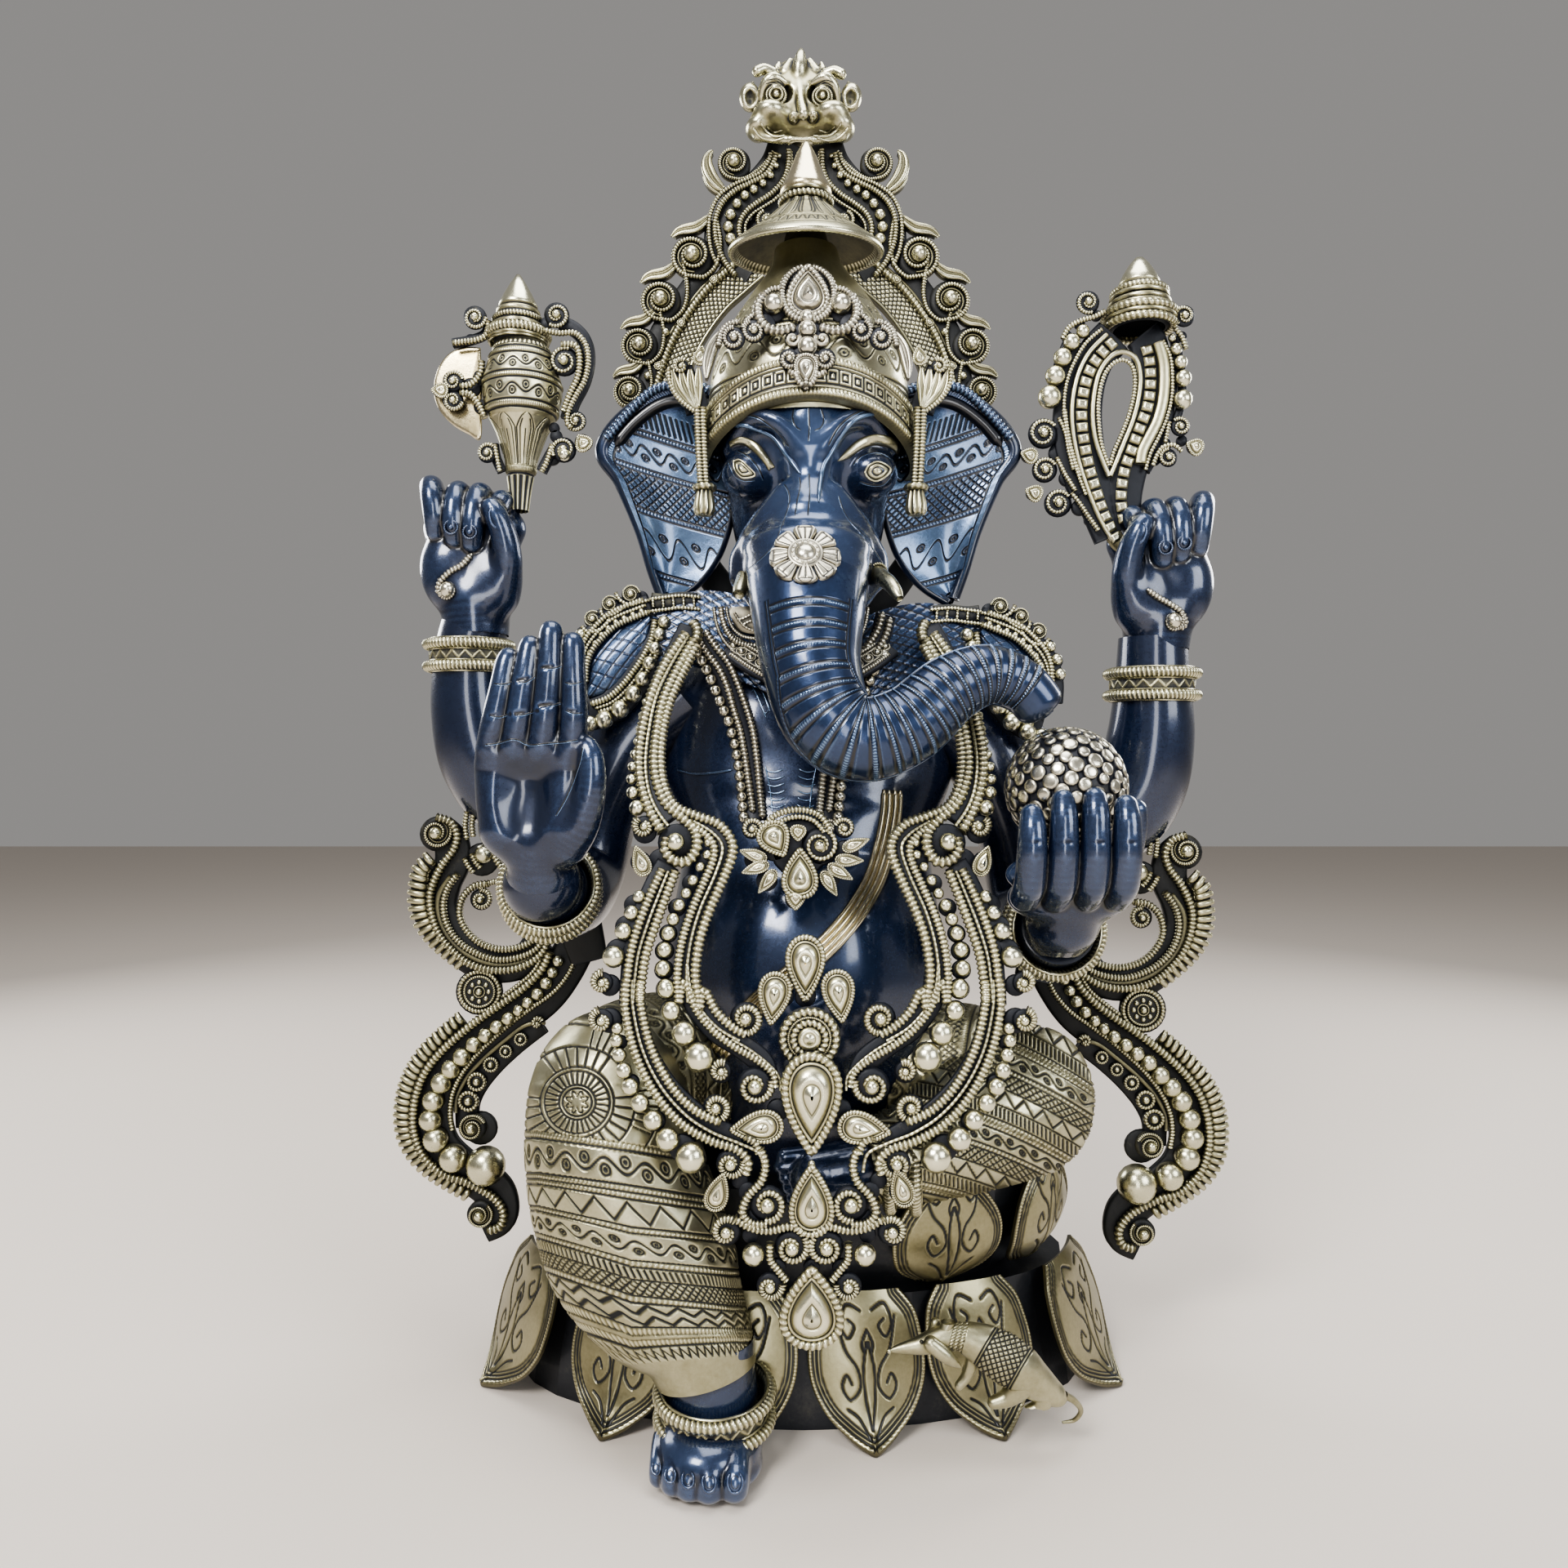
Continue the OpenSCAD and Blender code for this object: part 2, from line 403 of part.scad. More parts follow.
// ---- hand attributes --------------------------------------------------------
module hand_goad() color("goldenrod") translate([7, 0, -10]) {
  translate([-194, -4, 530]) rotate([0, 2, 0]) cylinder(r = 6, h = 44);
  translate([-192, -4, 0]) rotate_extrude($fn = 40) polygon([[0, 572], [13, 572], [14, 580], [14, 584], [19, 600], [25, 617],
    [30, 626], [31, 646], [29, 662], [22, 672], [21, 678], [25, 681], [25, 688], [19, 691], [19, 698], [15, 701], [14, 705],
    [3, 728], [0, 731]]);
  upright(-8, plate_t) difference() {
    union() {
      strip([[-178, 592, 4], [-158, 596, 5], [-148, 612, 5], [-156, 634, 4.5], [-148, 658, 4.5], [-146, 684, 5],
        [-160, 700, 5], [-168, 690, 4]]);
      translate([-156, 668]) circle(r = 9);
      translate([-160, 692]) circle(r = 9);
      translate([-150, 606]) circle(r = 8);
      strip([[-204, 596, 4], [-214, 604, 4], [-218, 614, 4]]);
      translate([-216, 610]) circle(r = 7);
      strip([[-216, 634, 4], [-226, 640, 5], [-238, 646, 5], [-226, 654, 5], [-214, 664, 4]]);
      translate([-234, 646]) circle(r = 10);
      strip([[-208, 690, 4], [-222, 688, 4], [-226, 700, 4]]);
      translate([-222, 697]) circle(r = 9);
    }
  }
}
module hand_noose() color("goldenrod") {
  translate([215, -4, 514]) rotate([0, -4, 0]) cylinder(r = 6, h = 36);
  upright(-8, plate_t) difference() {
    union() {
      strip([[213, 545, 12], [204, 580, 24], [200, 620, 34], [208, 655, 36], [216, 684, 30], [222, 700, 22]]);
      for (c = [[168, 622, 11], [165, 600, 11], [172, 582, 10], [156, 609, 6], [158, 591, 6], [168, 652, 6], [172, 668, 6],
        [178, 682, 6], [188, 700, 9], [256, 696, 9], [254, 676, 6], [256, 658, 6], [256, 638, 6], [253, 622, 8],
        [246, 608, 8], [264, 612, 6]]) translate([c[0], c[1]]) circle(r = c[2], $fn = 20);
    }
    strip([[206, 598, 2], [201, 620, 7], [205, 645, 10], [209, 664, 6]]);
  }
  upright(-6, plate_t-4) union() {
    strip([[222, 592, 4], [240, 604, 5], [252, 620, 5], [256, 640, 4], [256, 660, 4], [254, 678, 4], [254, 698, 5],
      [240, 706, 5], [226, 700, 4]]);
    strip([[196, 590, 4], [176, 596, 6], [164, 606, 6], [164, 624, 6], [170, 646, 4], [172, 664, 4], [178, 682, 4],
      [190, 700, 5], [206, 704, 5]]);
  }
  translate([224, -4, 0]) rotate_extrude($fn = 40) polygon([[0, 692], [26, 692], [27, 697], [22, 700], [24, 705], [20, 709], [15, 712],
    [14, 716], [4, 734], [0, 738]]);
}

// ---- worn ornament ----------------------------------------------------------
module guard() {
  limb([[-86, -38, 462, 6, 4], [-106, -36, 466, 6, 4], [-128, -26, 458, 6, 4], [-142, -22, 436, 6, 4],
    [-134, -30, 418, 6, 4], [-112, -38, 414, 6, 4], [-94, -44, 426, 6, 4]], up = [0, 1, 0], n = 8, k = 3);
  for (b = [[-98, 478], [-112, 478], [-125, 472], [-136, 464], [-145, 452], [-147, 438]]) bead([b[0], -30, b[1]], 5.5);
}
module right_shoulder_guard() color("goldenrod") difference() { guard();
  torso_solid(); limb(fra, up = [1, 0.1, 0], n = 14, k = 2); limb(rra, up = [0, 1, 0], n = 14, k = 2); }
module left_shoulder_guard() color("goldenrod") difference() { translate([2*head_x+8, 0, -8]) mirror([1, 0, 0]) guard();
  torso_solid(); limb(fla, up = [1, 0.1, 0], n = 14, k = 2); limb(rla, up = [0, 1, 0], n = 14, k = 2);
  limb(trunk_path, up = [0, 1, 0.3], n = 16, k = 2); }
module neck_collar() color("goldenrod") difference() {
  limb([[-62, -18, 486, 9, 4], [-44, -42, 466, 10, 4], [-20, -55, 450, 10, 4], [5, -58, 444, 10, 4],
    [30, -55, 450, 10, 4], [54, -42, 466, 10, 4], [72, -18, 486, 9, 4]], up = [0, 0.9, -0.5], n = 8, k = 3);
  torso_solid();
  limb(trunk_path, up = [0, 1, 0.3], n = 16, k = 2);
}
module chest_garland() color("goldenrod") difference() {
  union() {
    limb([[-58, -28, 482, 8, 4], [-54, -52, 444, 8, 4], [-42, -68, 404, 8, 4], [-32, -80, 370, 8, 4],
      [-26, -92, 348, 8, 4]], n = 8, k = 3);
    limb([[84, -28, 480, 8, 4], [70, -52, 444, 8, 4], [50, -68, 404, 8, 4], [34, -80, 370, 8, 4],
      [26, -92, 348, 8, 4]], n = 8, k = 3);
  }
  torso_solid();
  limb(trunk_path, up = [0, 1, 0.3], n = 16, k = 2);
}
module belly_pendant() color("gold") translate([-2, -97, 340]) rotate([8, 0, 0]) {
  translate([0, 0, -26]) drop(11, 20, 6);
  for (s = [-1, 1]) translate([s*16, 0, 4]) volute(9, 3);
  for (s = [-1, 1]) translate([s*24, 0, -14]) volute(7, 3);
  translate([0, 0, 12]) rotate([90, 0, 0]) cylinder(r = 7, h = 5);
  upright(-0.5, 3) union() {
    translate([0, -4]) circle(r = 24);
    for (s = [-1, 1]) translate([s*20, -4]) circle(r = 14);
  }
}
// Front drape: two nested strands a side, on the figure's own right; mirrored for the left
drape_out = [[-74, -56, 472, 9, 4], [-92, -74, 436, 9, 4], [-96, -92, 390, 9, 4], [-86, -108, 346, 10, 4],
  [-92, -122, 300, 10, 4], [-98, -130, 252, 10, 4], [-84, -138, 206, 10, 4], [-56, -142, 170, 9, 4], [-34, -143, 152, 8, 4]];
drape_in = [[-74, -56, 466, 5, 4], [-82, -80, 420, 6, 4], [-78, -98, 376, 7, 4], [-62, -110, 346, 8, 4],
  [-52, -116, 322, 8, 4], [-66, -124, 280, 8, 4], [-60, -132, 240, 8, 4], [-34, -138, 212, 7, 4], [-20, -142, 192, 6, 4]];
module drape() {
  limb(drape_out, n = 8, k = 3);
  limb(drape_in, n = 8, k = 3);
  translate([-70, -114, 336]) volute(12, 3);
  translate([-24, -138, 236]) volute(10, 3);
  translate([-34, -141, 196]) volute(12, 3);
  for (b = [[-80, -134, 232, 7], [-72, -136, 216, 8]]) bead([b[0], b[1], b[2]], b[3]);
  for (b = [[-112, -122, 290, 7], [-118, -122, 274, 6], [-100, -136, 214, 6], [-90, -139, 198, 6],
    [-76, -141, 182, 7], [-62, -143, 166, 9]]) bead([b[0], b[1], b[2]], b[3]);
}
module leg_clear() { right_leg_solid(); left_leg_solid(); }
module right_front_drape() color("goldenrod") difference() { drape(); torso_solid(); leg_clear(); }
module left_front_drape() color("goldenrod") difference() {
  translate([2*head_x, 0, 0]) mirror([1, 0, 0]) drape();
  torso_solid(); leg_clear();
  limb(trunk_path, up = [0, 1, 0.3], n = 16, k = 2);
}
module drop_2d(r, h) { circle(r = r); polygon([[-r*0.94, r*0.34], [r*0.94, r*0.34], [0, h]]); }
module centre_2d() {
  translate([0, 256]) drop_2d(9, 22);
  for (s = [-1, 1]) translate([s*18, 250]) rotate(s*-20) drop_2d(8, 16);
  translate([0, 222]) circle(r = 15);
  translate([0, 188]) rotate(180) drop_2d(12, 26);
  for (s = [-1, 1]) translate([s*26, 178]) rotate(s*-110) drop_2d(9, 18);
  translate([0, 136]) drop_2d(11, 24);
  for (s = [-1, 1]) translate([s*25, 142]) circle(r = 10);
  for (s = [-1, 1]) translate([s*44, 124]) circle(r = 8);
  for (s = [-1, 1]) translate([s*23, 100]) circle(r = 8);
  translate([0, 90]) drop_2d(13, 26);
  translate([-8, 174]) square([16, 86]);
  translate([-21, 246]) square([42, 7]);
  translate([-30, 173]) square([60, 9]);
  translate([-9, 84]) square([18, 80]);
  translate([-26, 137]) square([52, 10]);
  translate([-43, 120]) square([86, 8]);
  translate([-22, 96]) square([44, 8]);
}
module centre_pendants() color("gold") translate([3, -142, 0]) {
  upright(-2, 5) centre_2d();
  for (c = [[0, 256, 5.5], [0, 222, 10], [0, 188, 8], [0, 136, 7], [0, 90, 9], [25, 142, 7], [-25, 142, 7],
    [44, 124, 5], [-44, 124, 5], [23, 100, 5], [-23, 100, 5], [26, 178, 6], [-26, 178, 6]])
    translate([c[0], 1, c[1]]) rotate([90, 0, 0]) cylinder(r1 = c[2], r2 = c[2]*0.7, h = 6);
}

// ---- side scrolls -----------------------------------------------------------
module side_scroll_2d() difference() {
  union() {
    strip([[-136, 268, 10], [-170, 240, 15], [-206, 214, 20], [-236, 186, 24], [-248, 156, 25], [-236, 126, 22],
      [-214, 104, 12], [-204, 94, 7]]);
    strip([[-140, 268, 8], [-176, 252, 12], [-212, 258, 16], [-238, 286, 18], [-240, 318, 18], [-226, 344, 12], [-214, 354, 8]]);
    translate([-238, 350]) circle(r = 14);
    translate([-206, 314]) circle(r = 8);
    translate([-222, 232]) circle(r = 14);
    translate([-212, 92]) circle(r = 11);
    translate([-198, 124]) circle(r = 14);
    for (i = [0:9]) rotate_at([-236, 168], 110 + i*16) translate([36, 0]) square([9, 5], center = true);
    for (i = [0:7]) rotate_at([-222, 300], 110 + i*15) translate([42, 0]) square([9, 5], center = true);
  }
}
module rotate_at(c, a) translate(c) rotate(a) children();
module side_scroll() {
  upright(0, plate_t) side_scroll_2d();
  for (c = [[-238, 350, 11], [-222, 232, 12], [-212, 92, 9]]) translate([c[0], 0, c[1]]) volute(c[2], 3);
  for (b = [[-226, 122, 8], [-200, 124, 11], [-240, 138, 6.5], [-246, 152, 6], [-244, 168, 6], [-236, 182, 5.5],
    [-224, 195, 5], [-211, 206, 5], [-197, 216, 4.5], [-183, 226, 4.5], [-170, 236, 4], [-158, 247, 4]]) bead([b[0], -1, b[1]], b[2]);
}
module right_side_scroll() color("olive") difference() { side_scroll();
  limb(rra, up = [0, 1, 0], n = 14, k = 2); limb(fra, up = [1, 0.1, 0], n = 14, k = 2); torso_solid(); }
module left_side_scroll() color("olive") difference() {
  translate([14, 0, -12]) mirror([1, 0, 0]) side_scroll();
  limb(rla, up = [0, 1, 0], n = 14, k = 2); limb(fla, up = [1, 0.1, 0], n = 14, k = 2); torso_solid(); }

// ---- halo -------------------------------------------------------------------
module halo_frame() color("darkslategray") difference() {
  upright(halo_y, plate_t) translate([head_x, 0]) {
    for (s = [-1, 1]) scale([s, 1]) {
      strip([[74, 560, 20], [96, 610, 24], [108, 650, 26], [98, 700, 28], [74, 742, 26], [50, 772, 20], [44, 800, 12],
        [28, 830, 14], [0, 852, 18]]);
    }
    strip([[-78, 560, 14], [0, 548, 16], [78, 560, 14]]);
    strip([[0, 548, 16], [0, 470, 16]]);
  }
  for (z = [478, 500]) translate([head_x, 20, z]) rotate([-90, 0, 0]) cylinder(r = 4.3, h = 40);
  torso_solid();
}
module halo_scrollwork() color("goldenrod") difference() {
  translate([head_x, halo_y-0.1, 0]) {
    for (s = [-1, 1]) {
      for (c = [[130, 612, 13], [130, 642, 15], [122, 674, 15], [107, 706, 16], [88, 738, 15.5]])
        translate([s*c[0], 0, c[1]]) volute(c[2]/15.5*volute_r, 4);
      translate([s*56, 0, 806]) volute(13, 4);
      for (b = [[30, 806], [36, 796], [43, 786], [50, 775], [55, 763], [58, 750]]) bead([s*b[0], -4, b[1]], 4);
    }
  }
  translate([0, halo_y, 400]) translate([-300, 0, 0]) cube([600, 60, 600]);
}
module lion_mask() color("goldenrod") translate([head_x-3, 0, 0]) {
  limb([[0, 44, 822, 26, 12], [0, 40, 832, 40, 20], [0, 38, 848, 42, 24], [0, 40, 866, 38, 20], [0, 42, 880, 24, 14],
    [0, 42, 892, 5, 5]], n = 16, k = 2);
  for (s = [-1, 1]) {
    translate([s*20, 20, 862]) rotate([90, 0, 0]) cylinder(r1 = 10, r2 = 7, h = 7);
    translate([s*37, 36, 862]) sphere(r = 9, $fn = 24);
    translate([s*22, 26, 838]) sphere(r = 12, $fn = 24);
  }
  translate([0, 14, 844]) sphere(r = 7, $fn = 24);
}
module halo_bolts() color("silver") for (z = [478, 500]) translate([head_x, 0, z]) {
  translate([0, halo_y+plate_t, 0]) rotate([-90, 0, 0]) cylinder(r = 8, h = 5, $fn = 6);
  translate([0, halo_y-14, 0]) rotate([-90, 0, 0]) cylinder(r = 4, h = plate_t+16);
}

// ---- mouse ------------------------------------------------------------------
module mouse() color("tan") difference() {
  union() {
    limb([[74, -118, 64, 8, 8], [88, -122, 62, 13, 13], [104, -124, 55, 15, 15], [120, -124, 46, 14, 14],
      [136, -122, 36, 10, 10], [148, -121, 29, 6, 6], [153, -121, 26, 3, 3]], up = [0, 1, 0.1], n = 12, k = 2);
    limb([[84, -120, 62, 7, 3], [70, -124, 60, 8, 3], [54, -128, 62, 4, 2.5], [49, -129, 63, 1.5, 1.5]], n = 8, k = 2);
    limb([[90, -122, 60, 5, 3], [84, -128, 48, 6, 3], [90, -130, 38, 3, 2]], n = 8, k = 2);
    limb([[120, -118, 42, 8, 7], [124, -114, 28, 8, 6], [130, -116, 18, 7, 5]], n = 8, k = 2);
    limb([[100, -110, 60, 9, 8], [104, -100, 70, 8, 8], [100, -92, 82, 6, 6]], up = [1, 0, 0], n = 8, k = 2);
  }
  for (a = [12, 36]) petal(a, base_rx, base_ry, lower_prof, 1, 6);
  for (a = [33, 68]) petal(a, 152, 76, upper_prof);
  lotus_clear();
}
module lotus_clear() {
  limb([[0, 0, -3, base_rx+0.4, base_ry+0.4], [0, 0, 24, base_rx-2.6, base_ry-1.6],
    [0, 0, 52, base_rx-7.6, base_ry-3.6], [0, 0, base_h, base_rx-11.6, base_ry-5.6]], n = 32, k = 1);
  seat_below();
}

base_cover_plate();
base_cover_screws();
lotus_base_shell();
lower_lotus_petals();
seat_drum();
upper_lotus_petals();
seat_tie_bolt();
torso_shell();
waist_sash();
right_leg();
right_foot();
right_anklet();
left_leg();
left_foot();
left_anklet();
head_shell();
trunk();
right_ear();
left_ear();
eye_inlays();
tusks();
trunk_flower();
crown_dome();
crown_band();
crown_crest();
crown_tassels();
crown_umbrella();
crown_finial();
rear_right_arm();
rear_right_hand();
rear_left_arm();
rear_left_hand();
front_right_arm();
front_right_hand();
front_left_arm();
front_left_hand();
rear_right_bracelet();
rear_left_bracelet();
front_right_bracelet();
front_left_bracelet();
palm_scrolls();
modak_sweet();
hand_goad();
hand_noose();
right_shoulder_guard();
left_shoulder_guard();
neck_collar();
chest_garland();
belly_pendant();
right_front_drape();
left_front_drape();
centre_pendants();
right_side_scroll();
left_side_scroll();
halo_frame();
halo_scrollwork();
lion_mask();
halo_bolts();
mouse();
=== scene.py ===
import math
import bpy
import numpy as np
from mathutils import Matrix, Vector


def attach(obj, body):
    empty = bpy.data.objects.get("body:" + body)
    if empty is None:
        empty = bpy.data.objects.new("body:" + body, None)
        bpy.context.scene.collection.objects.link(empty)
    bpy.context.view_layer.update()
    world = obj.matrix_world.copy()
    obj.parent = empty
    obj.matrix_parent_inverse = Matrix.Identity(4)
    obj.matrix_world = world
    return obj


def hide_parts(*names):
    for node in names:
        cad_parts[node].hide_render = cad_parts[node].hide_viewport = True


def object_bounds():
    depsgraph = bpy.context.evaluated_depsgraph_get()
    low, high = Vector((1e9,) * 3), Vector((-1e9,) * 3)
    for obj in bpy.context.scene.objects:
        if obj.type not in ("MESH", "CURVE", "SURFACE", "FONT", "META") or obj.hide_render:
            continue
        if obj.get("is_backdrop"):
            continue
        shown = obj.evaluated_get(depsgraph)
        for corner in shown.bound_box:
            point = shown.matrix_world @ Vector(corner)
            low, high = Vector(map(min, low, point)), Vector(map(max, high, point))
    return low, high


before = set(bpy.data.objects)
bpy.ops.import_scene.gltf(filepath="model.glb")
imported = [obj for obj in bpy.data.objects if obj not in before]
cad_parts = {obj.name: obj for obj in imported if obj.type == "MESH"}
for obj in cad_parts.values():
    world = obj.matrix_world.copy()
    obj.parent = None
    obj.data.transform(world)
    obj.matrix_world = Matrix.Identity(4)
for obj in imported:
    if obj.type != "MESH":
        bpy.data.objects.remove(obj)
cad_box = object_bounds()
scene = bpy.context.scene
HX = 5.0          # the head's and crown's axis, mm
PI = math.pi

# ---------------------------------------------------------------- drawing helpers (mm)


def P(u, v, y):
    """A point seen at (u, v) in the 1920 frame from the camera, at depth y mm."""
    s = (734.0 + y) / 1350.0
    return (-11.0 + (u - 960.0) * s, y, 381.0 - (v - 960.0) * s)


def VC(rows, yf=None):
    """Rows (u, v, y, ...) or, with yf, (u, v, ...) to rows (x, y, z, ...)."""
    out = []
    for r in rows:
        if yf is None:
            out.append(tuple(P(r[0], r[1], r[2])) + tuple(r[3:]))
        else:
            out.append(tuple(P(r[0], r[1], yf(r[0], r[1]))) + tuple(r[2:]))
    return np.array(out, float)


def crom(A, k=14):
    A = np.asarray(A, float)
    n = len(A)
    out = []
    t = (np.arange(k) / k)[:, None]
    for i in range(n - 1):
        a, b, c, d = A[max(i - 1, 0)], A[i], A[i + 1], A[min(i + 2, n - 1)]
        out.append(0.5 * (2 * b + (c - a) * t + (2 * a - 5 * b + 4 * c - d) * t * t + (3 * b - a - 3 * c + d) * t ** 3))
    out.append(A[-1:])
    return np.concatenate(out)


def curve(A, step=1.0, k=14, smooth=True):
    """Smooth path through rows, resampled at equal arc length. Returns rows and arc length."""
    D = crom(A, k) if smooth else np.asarray(A, float)
    seg = np.linalg.norm(np.diff(D[:, :3], axis=0), axis=1)
    s = np.concatenate([[0], np.cumsum(seg)])
    n = max(3, int(round(s[-1] / step)) + 1)
    q = np.linspace(0, s[-1], n)
    return np.stack([np.interp(q, s, D[:, j]) for j in range(D.shape[1])], 1), q


def unit(a):
    return a / np.maximum(np.linalg.norm(a, axis=-1, keepdims=True), 1e-9)


def gridq(nu, nv, cu=False, cv=False):
    i = np.arange(nu if cu else nu - 1)[:, None]
    j = np.arange(nv if cv else nv - 1)[None, :]
    i2, j2 = (i + 1) % nu, (j + 1) % nv
    return np.stack([i * nv + j, i2 * nv + j, i2 * nv + j2, i * nv + j2], -1).reshape(-1, 4)


class M:
    """Vertices, quads, triangles and a wear value a vertex (0 recess, 1 rubbed crest)."""

    def __init__(s):
        s.V, s.Q, s.T, s.W, s.n = [], [], [], [], 0

    def add(s, V, Q=None, T=None, W=0.5):
        V = np.asarray(V, float).reshape(-1, 3)
        if Q is not None and len(Q):
            s.Q.append(np.asarray(Q, np.int64) + s.n)
        if T is not None and len(T):
            s.T.append(np.asarray(T, np.int64) + s.n)
        s.W.append(np.broadcast_to(np.asarray(W, float), (len(V),)).copy())
        s.V.append(V)
        s.n += len(V)
        return s

    def cat(s):
        V = np.concatenate(s.V) if s.V else np.zeros((0, 3))
        Q = np.concatenate(s.Q) if s.Q else np.zeros((0, 4), np.int64)
        T = np.concatenate(s.T) if s.T else np.zeros((0, 3), np.int64)
        return V, Q, T, np.concatenate(s.W)

    def mirrored(s, cx, dz=0.0, to=None):
        V, Q, T, W = s.cat()
        V = V.copy()
        V[:, 0] = 2 * cx - V[:, 0]
        V[:, 2] += dz
        m = to if to is not None else M()
        m.add(V, Q[:, ::-1], T[:, ::-1], W)
        return m

    def merge(s, o):
        V, Q, T, W = o.cat()
        s.add(V, Q, T, W)
        return s


PIECES = []


def make(name, m, mat, nodes=(), smooth=True, jitter=0.0):
    V, Q, T, W = m.cat()
    V = V * 0.001
    me = bpy.data.meshes.new(name)
    me.vertices.add(len(V))
    me.vertices.foreach_set("co", V.astype(np.float32).ravel())
    nl = 4 * len(Q) + 3 * len(T)
    me.loops.add(nl)
    me.loops.foreach_set("vertex_index", np.concatenate([Q.ravel(), T.ravel()]).astype(np.int32))
    me.polygons.add(len(Q) + len(T))
    starts = np.concatenate([np.arange(len(Q)) * 4, 4 * len(Q) + np.arange(len(T)) * 3])
    me.polygons.foreach_set("loop_start", starts.astype(np.int32))
    me.update(calc_edges=True)
    me.validate()
    me.polygons.foreach_set("use_smooth", np.full(len(me.polygons), bool(smooth)))
    at = me.attributes.new("wear", "FLOAT", "POINT")
    if len(me.vertices) == len(W):
        at.data.foreach_set("value", np.clip(W, 0, 1).astype(np.float32))
    me.materials.append(mat)
    ob = bpy.data.objects.new(name, me)
    scene.collection.objects.link(ob)
    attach(ob, "root")
    if nodes:
        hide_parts(*nodes)
    PIECES.append((name, len(me.polygons)))
    return ob


# ---------------------------------------------------------------- swept forms


def frames(C, face=None):
    """Tangent, side and normal along a path. face is the direction the section's b axis looks to."""
    t = unit(np.gradient(C[:, :3], axis=0))
    if face is None:
        face = np.array([0.0, -1.0, 0.0])
    f = np.broadcast_to(np.asarray(face, float), t.shape)
    a = unit(np.cross(t, f))
    bad = np.linalg.norm(np.cross(t, f), axis=1) < 1e-3
    if bad.any():
        a[bad] = unit(np.cross(t[bad], np.array([1.0, 0.02, 0.0])))
    b = np.cross(a, t)
    return t, a, b


def sweep(m, C, A, B, face=None, W=0.5, closed=False, caps=True):
    """Rings of section (A, B), each (rings, n) or (n,), along path C."""
    t, a, b = frames(C, face)
    if closed:
        d = unit(C[1, :3] - C[-2, :3])
        t[0] = t[-1] = d
        f = np.asarray(face if face is not None else (0, -1, 0), float)
        f = f[0] if f.ndim > 1 else f
        a[0] = a[-1] = unit(np.cross(d, f))
        b[0] = b[-1] = np.cross(a[0], d)
    n = np.shape(A)[-1]
    R = len(C)
    A = np.broadcast_to(A, (R, n))
    B = np.broadcast_to(B, (R, n))
    V = C[:, None, :3] + a[:, None] * A[..., None] + b[:, None] * B[..., None]
    W = np.broadcast_to(W, (R, n))
    if closed:
        V, W = V[:-1], W[:-1]
        m.add(V, gridq(R - 1, n, True, True), None, W.ravel())
        return m
    Q = gridq(R, n, False, True)
    V = V.reshape(-1, 3)
    W = W.ravel()
    T = []
    if caps:
        c0, c1 = len(V), len(V) + 1
        V = np.vstack([V, C[0, :3], C[-1, :3]])
        W = np.concatenate([W, [W[:n].mean(), W[-n:].mean()]])
        j = np.arange(n)
        T = np.vstack([np.stack([np.full(n, c0), (j + 1) % n, j], 1)[:, ::1],
                       np.stack([np.full(n, c1), (R - 1) * n + j, (R - 1) * n + (j + 1) % n], 1)])
        T[:n] = T[:n]
    m.add(V, Q, T, W)
    return m


def tube(m, rows, r=None, step=1.2, n=12, face=None, W=0.5, flat=1.0, closed=False, taper=0):
    """Smooth round bar through rows (x, y, z[, r])."""
    C, s = curve(rows, step)
    if closed:
        C[-1] = C[0]
    rr = C[:, 3] if C.shape[1] > 3 else np.full(len(C), float(r))
    if taper:
        e = np.minimum(s, s[-1] - s)
        rr = rr * np.sqrt(np.clip(e / taper, 0.02, 1))
    ph = np.linspace(0, 2 * PI, n, endpoint=False)
    A = rr[:, None] * np.cos(ph)
    B = rr[:, None] * np.sin(ph) * flat
    return sweep(m, C, A, B, face, W, closed)


def rope(m, rows, r=None, pitch=None, n=10, face=None, closed=False, deep=0.22, flat=1.0, twist=1.0):
    """Milled twisted border."""
    r0 = r if r is not None else float(np.mean(np.asarray(rows)[:, 3]))
    pitch = pitch or r0 * 1.25
    C, s = curve(rows, pitch / 4.0)
    if closed:
        C[-1] = C[0]
        pitch = s[-1] / max(3, round(s[-1] / pitch))
    rr = C[:, 3] if C.shape[1] > 3 else np.full(len(C), float(r))
    ph = np.linspace(0, 2 * PI, n, endpoint=False)
    g = np.cos(twist * ph[None] - 2 * PI * s[:, None] / pitch)
    g = np.sign(g) * np.abs(g) ** 0.7
    rad = rr[:, None] * (1 - deep * 0.5 + deep * 0.5 * g)
    W = 0.30 + 0.62 * (0.5 + 0.5 * g)
    up = np.sin(ph)[None]
    W = W * (0.55 + 0.45 * np.clip(up + 0.35, 0, 1))
    return sweep(m, C, rad * np.cos(ph), rad * np.sin(ph) * flat, face, W, closed)


def strap(m, rows, hw=None, t=2.0, face=None, step=1.5, W=0.16, crown=0.3, closed=False):
    """Flat backing strip: rows (x, y, z[, half width]); its face stands t in front of the path."""
    C, s = curve(rows, step)
    w = C[:, 3] if C.shape[1] > 3 else np.full(len(C), float(hw))
    x = np.array([-1, -1, -0.85, -0.4, 0, 0.4, 0.85, 1, 1, 0.5, -0.5])
    z = np.array([-0.6, 0.7, 1.0, 1.0 + crown, 1.0 + crown * 1.3, 1.0 + crown, 1.0, 0.7, -0.6, -1.0, -1.0]) * t
    return sweep(m, C, w[:, None] * x[None, :], np.broadcast_to(z, (len(C), len(x))), face, W, closed)


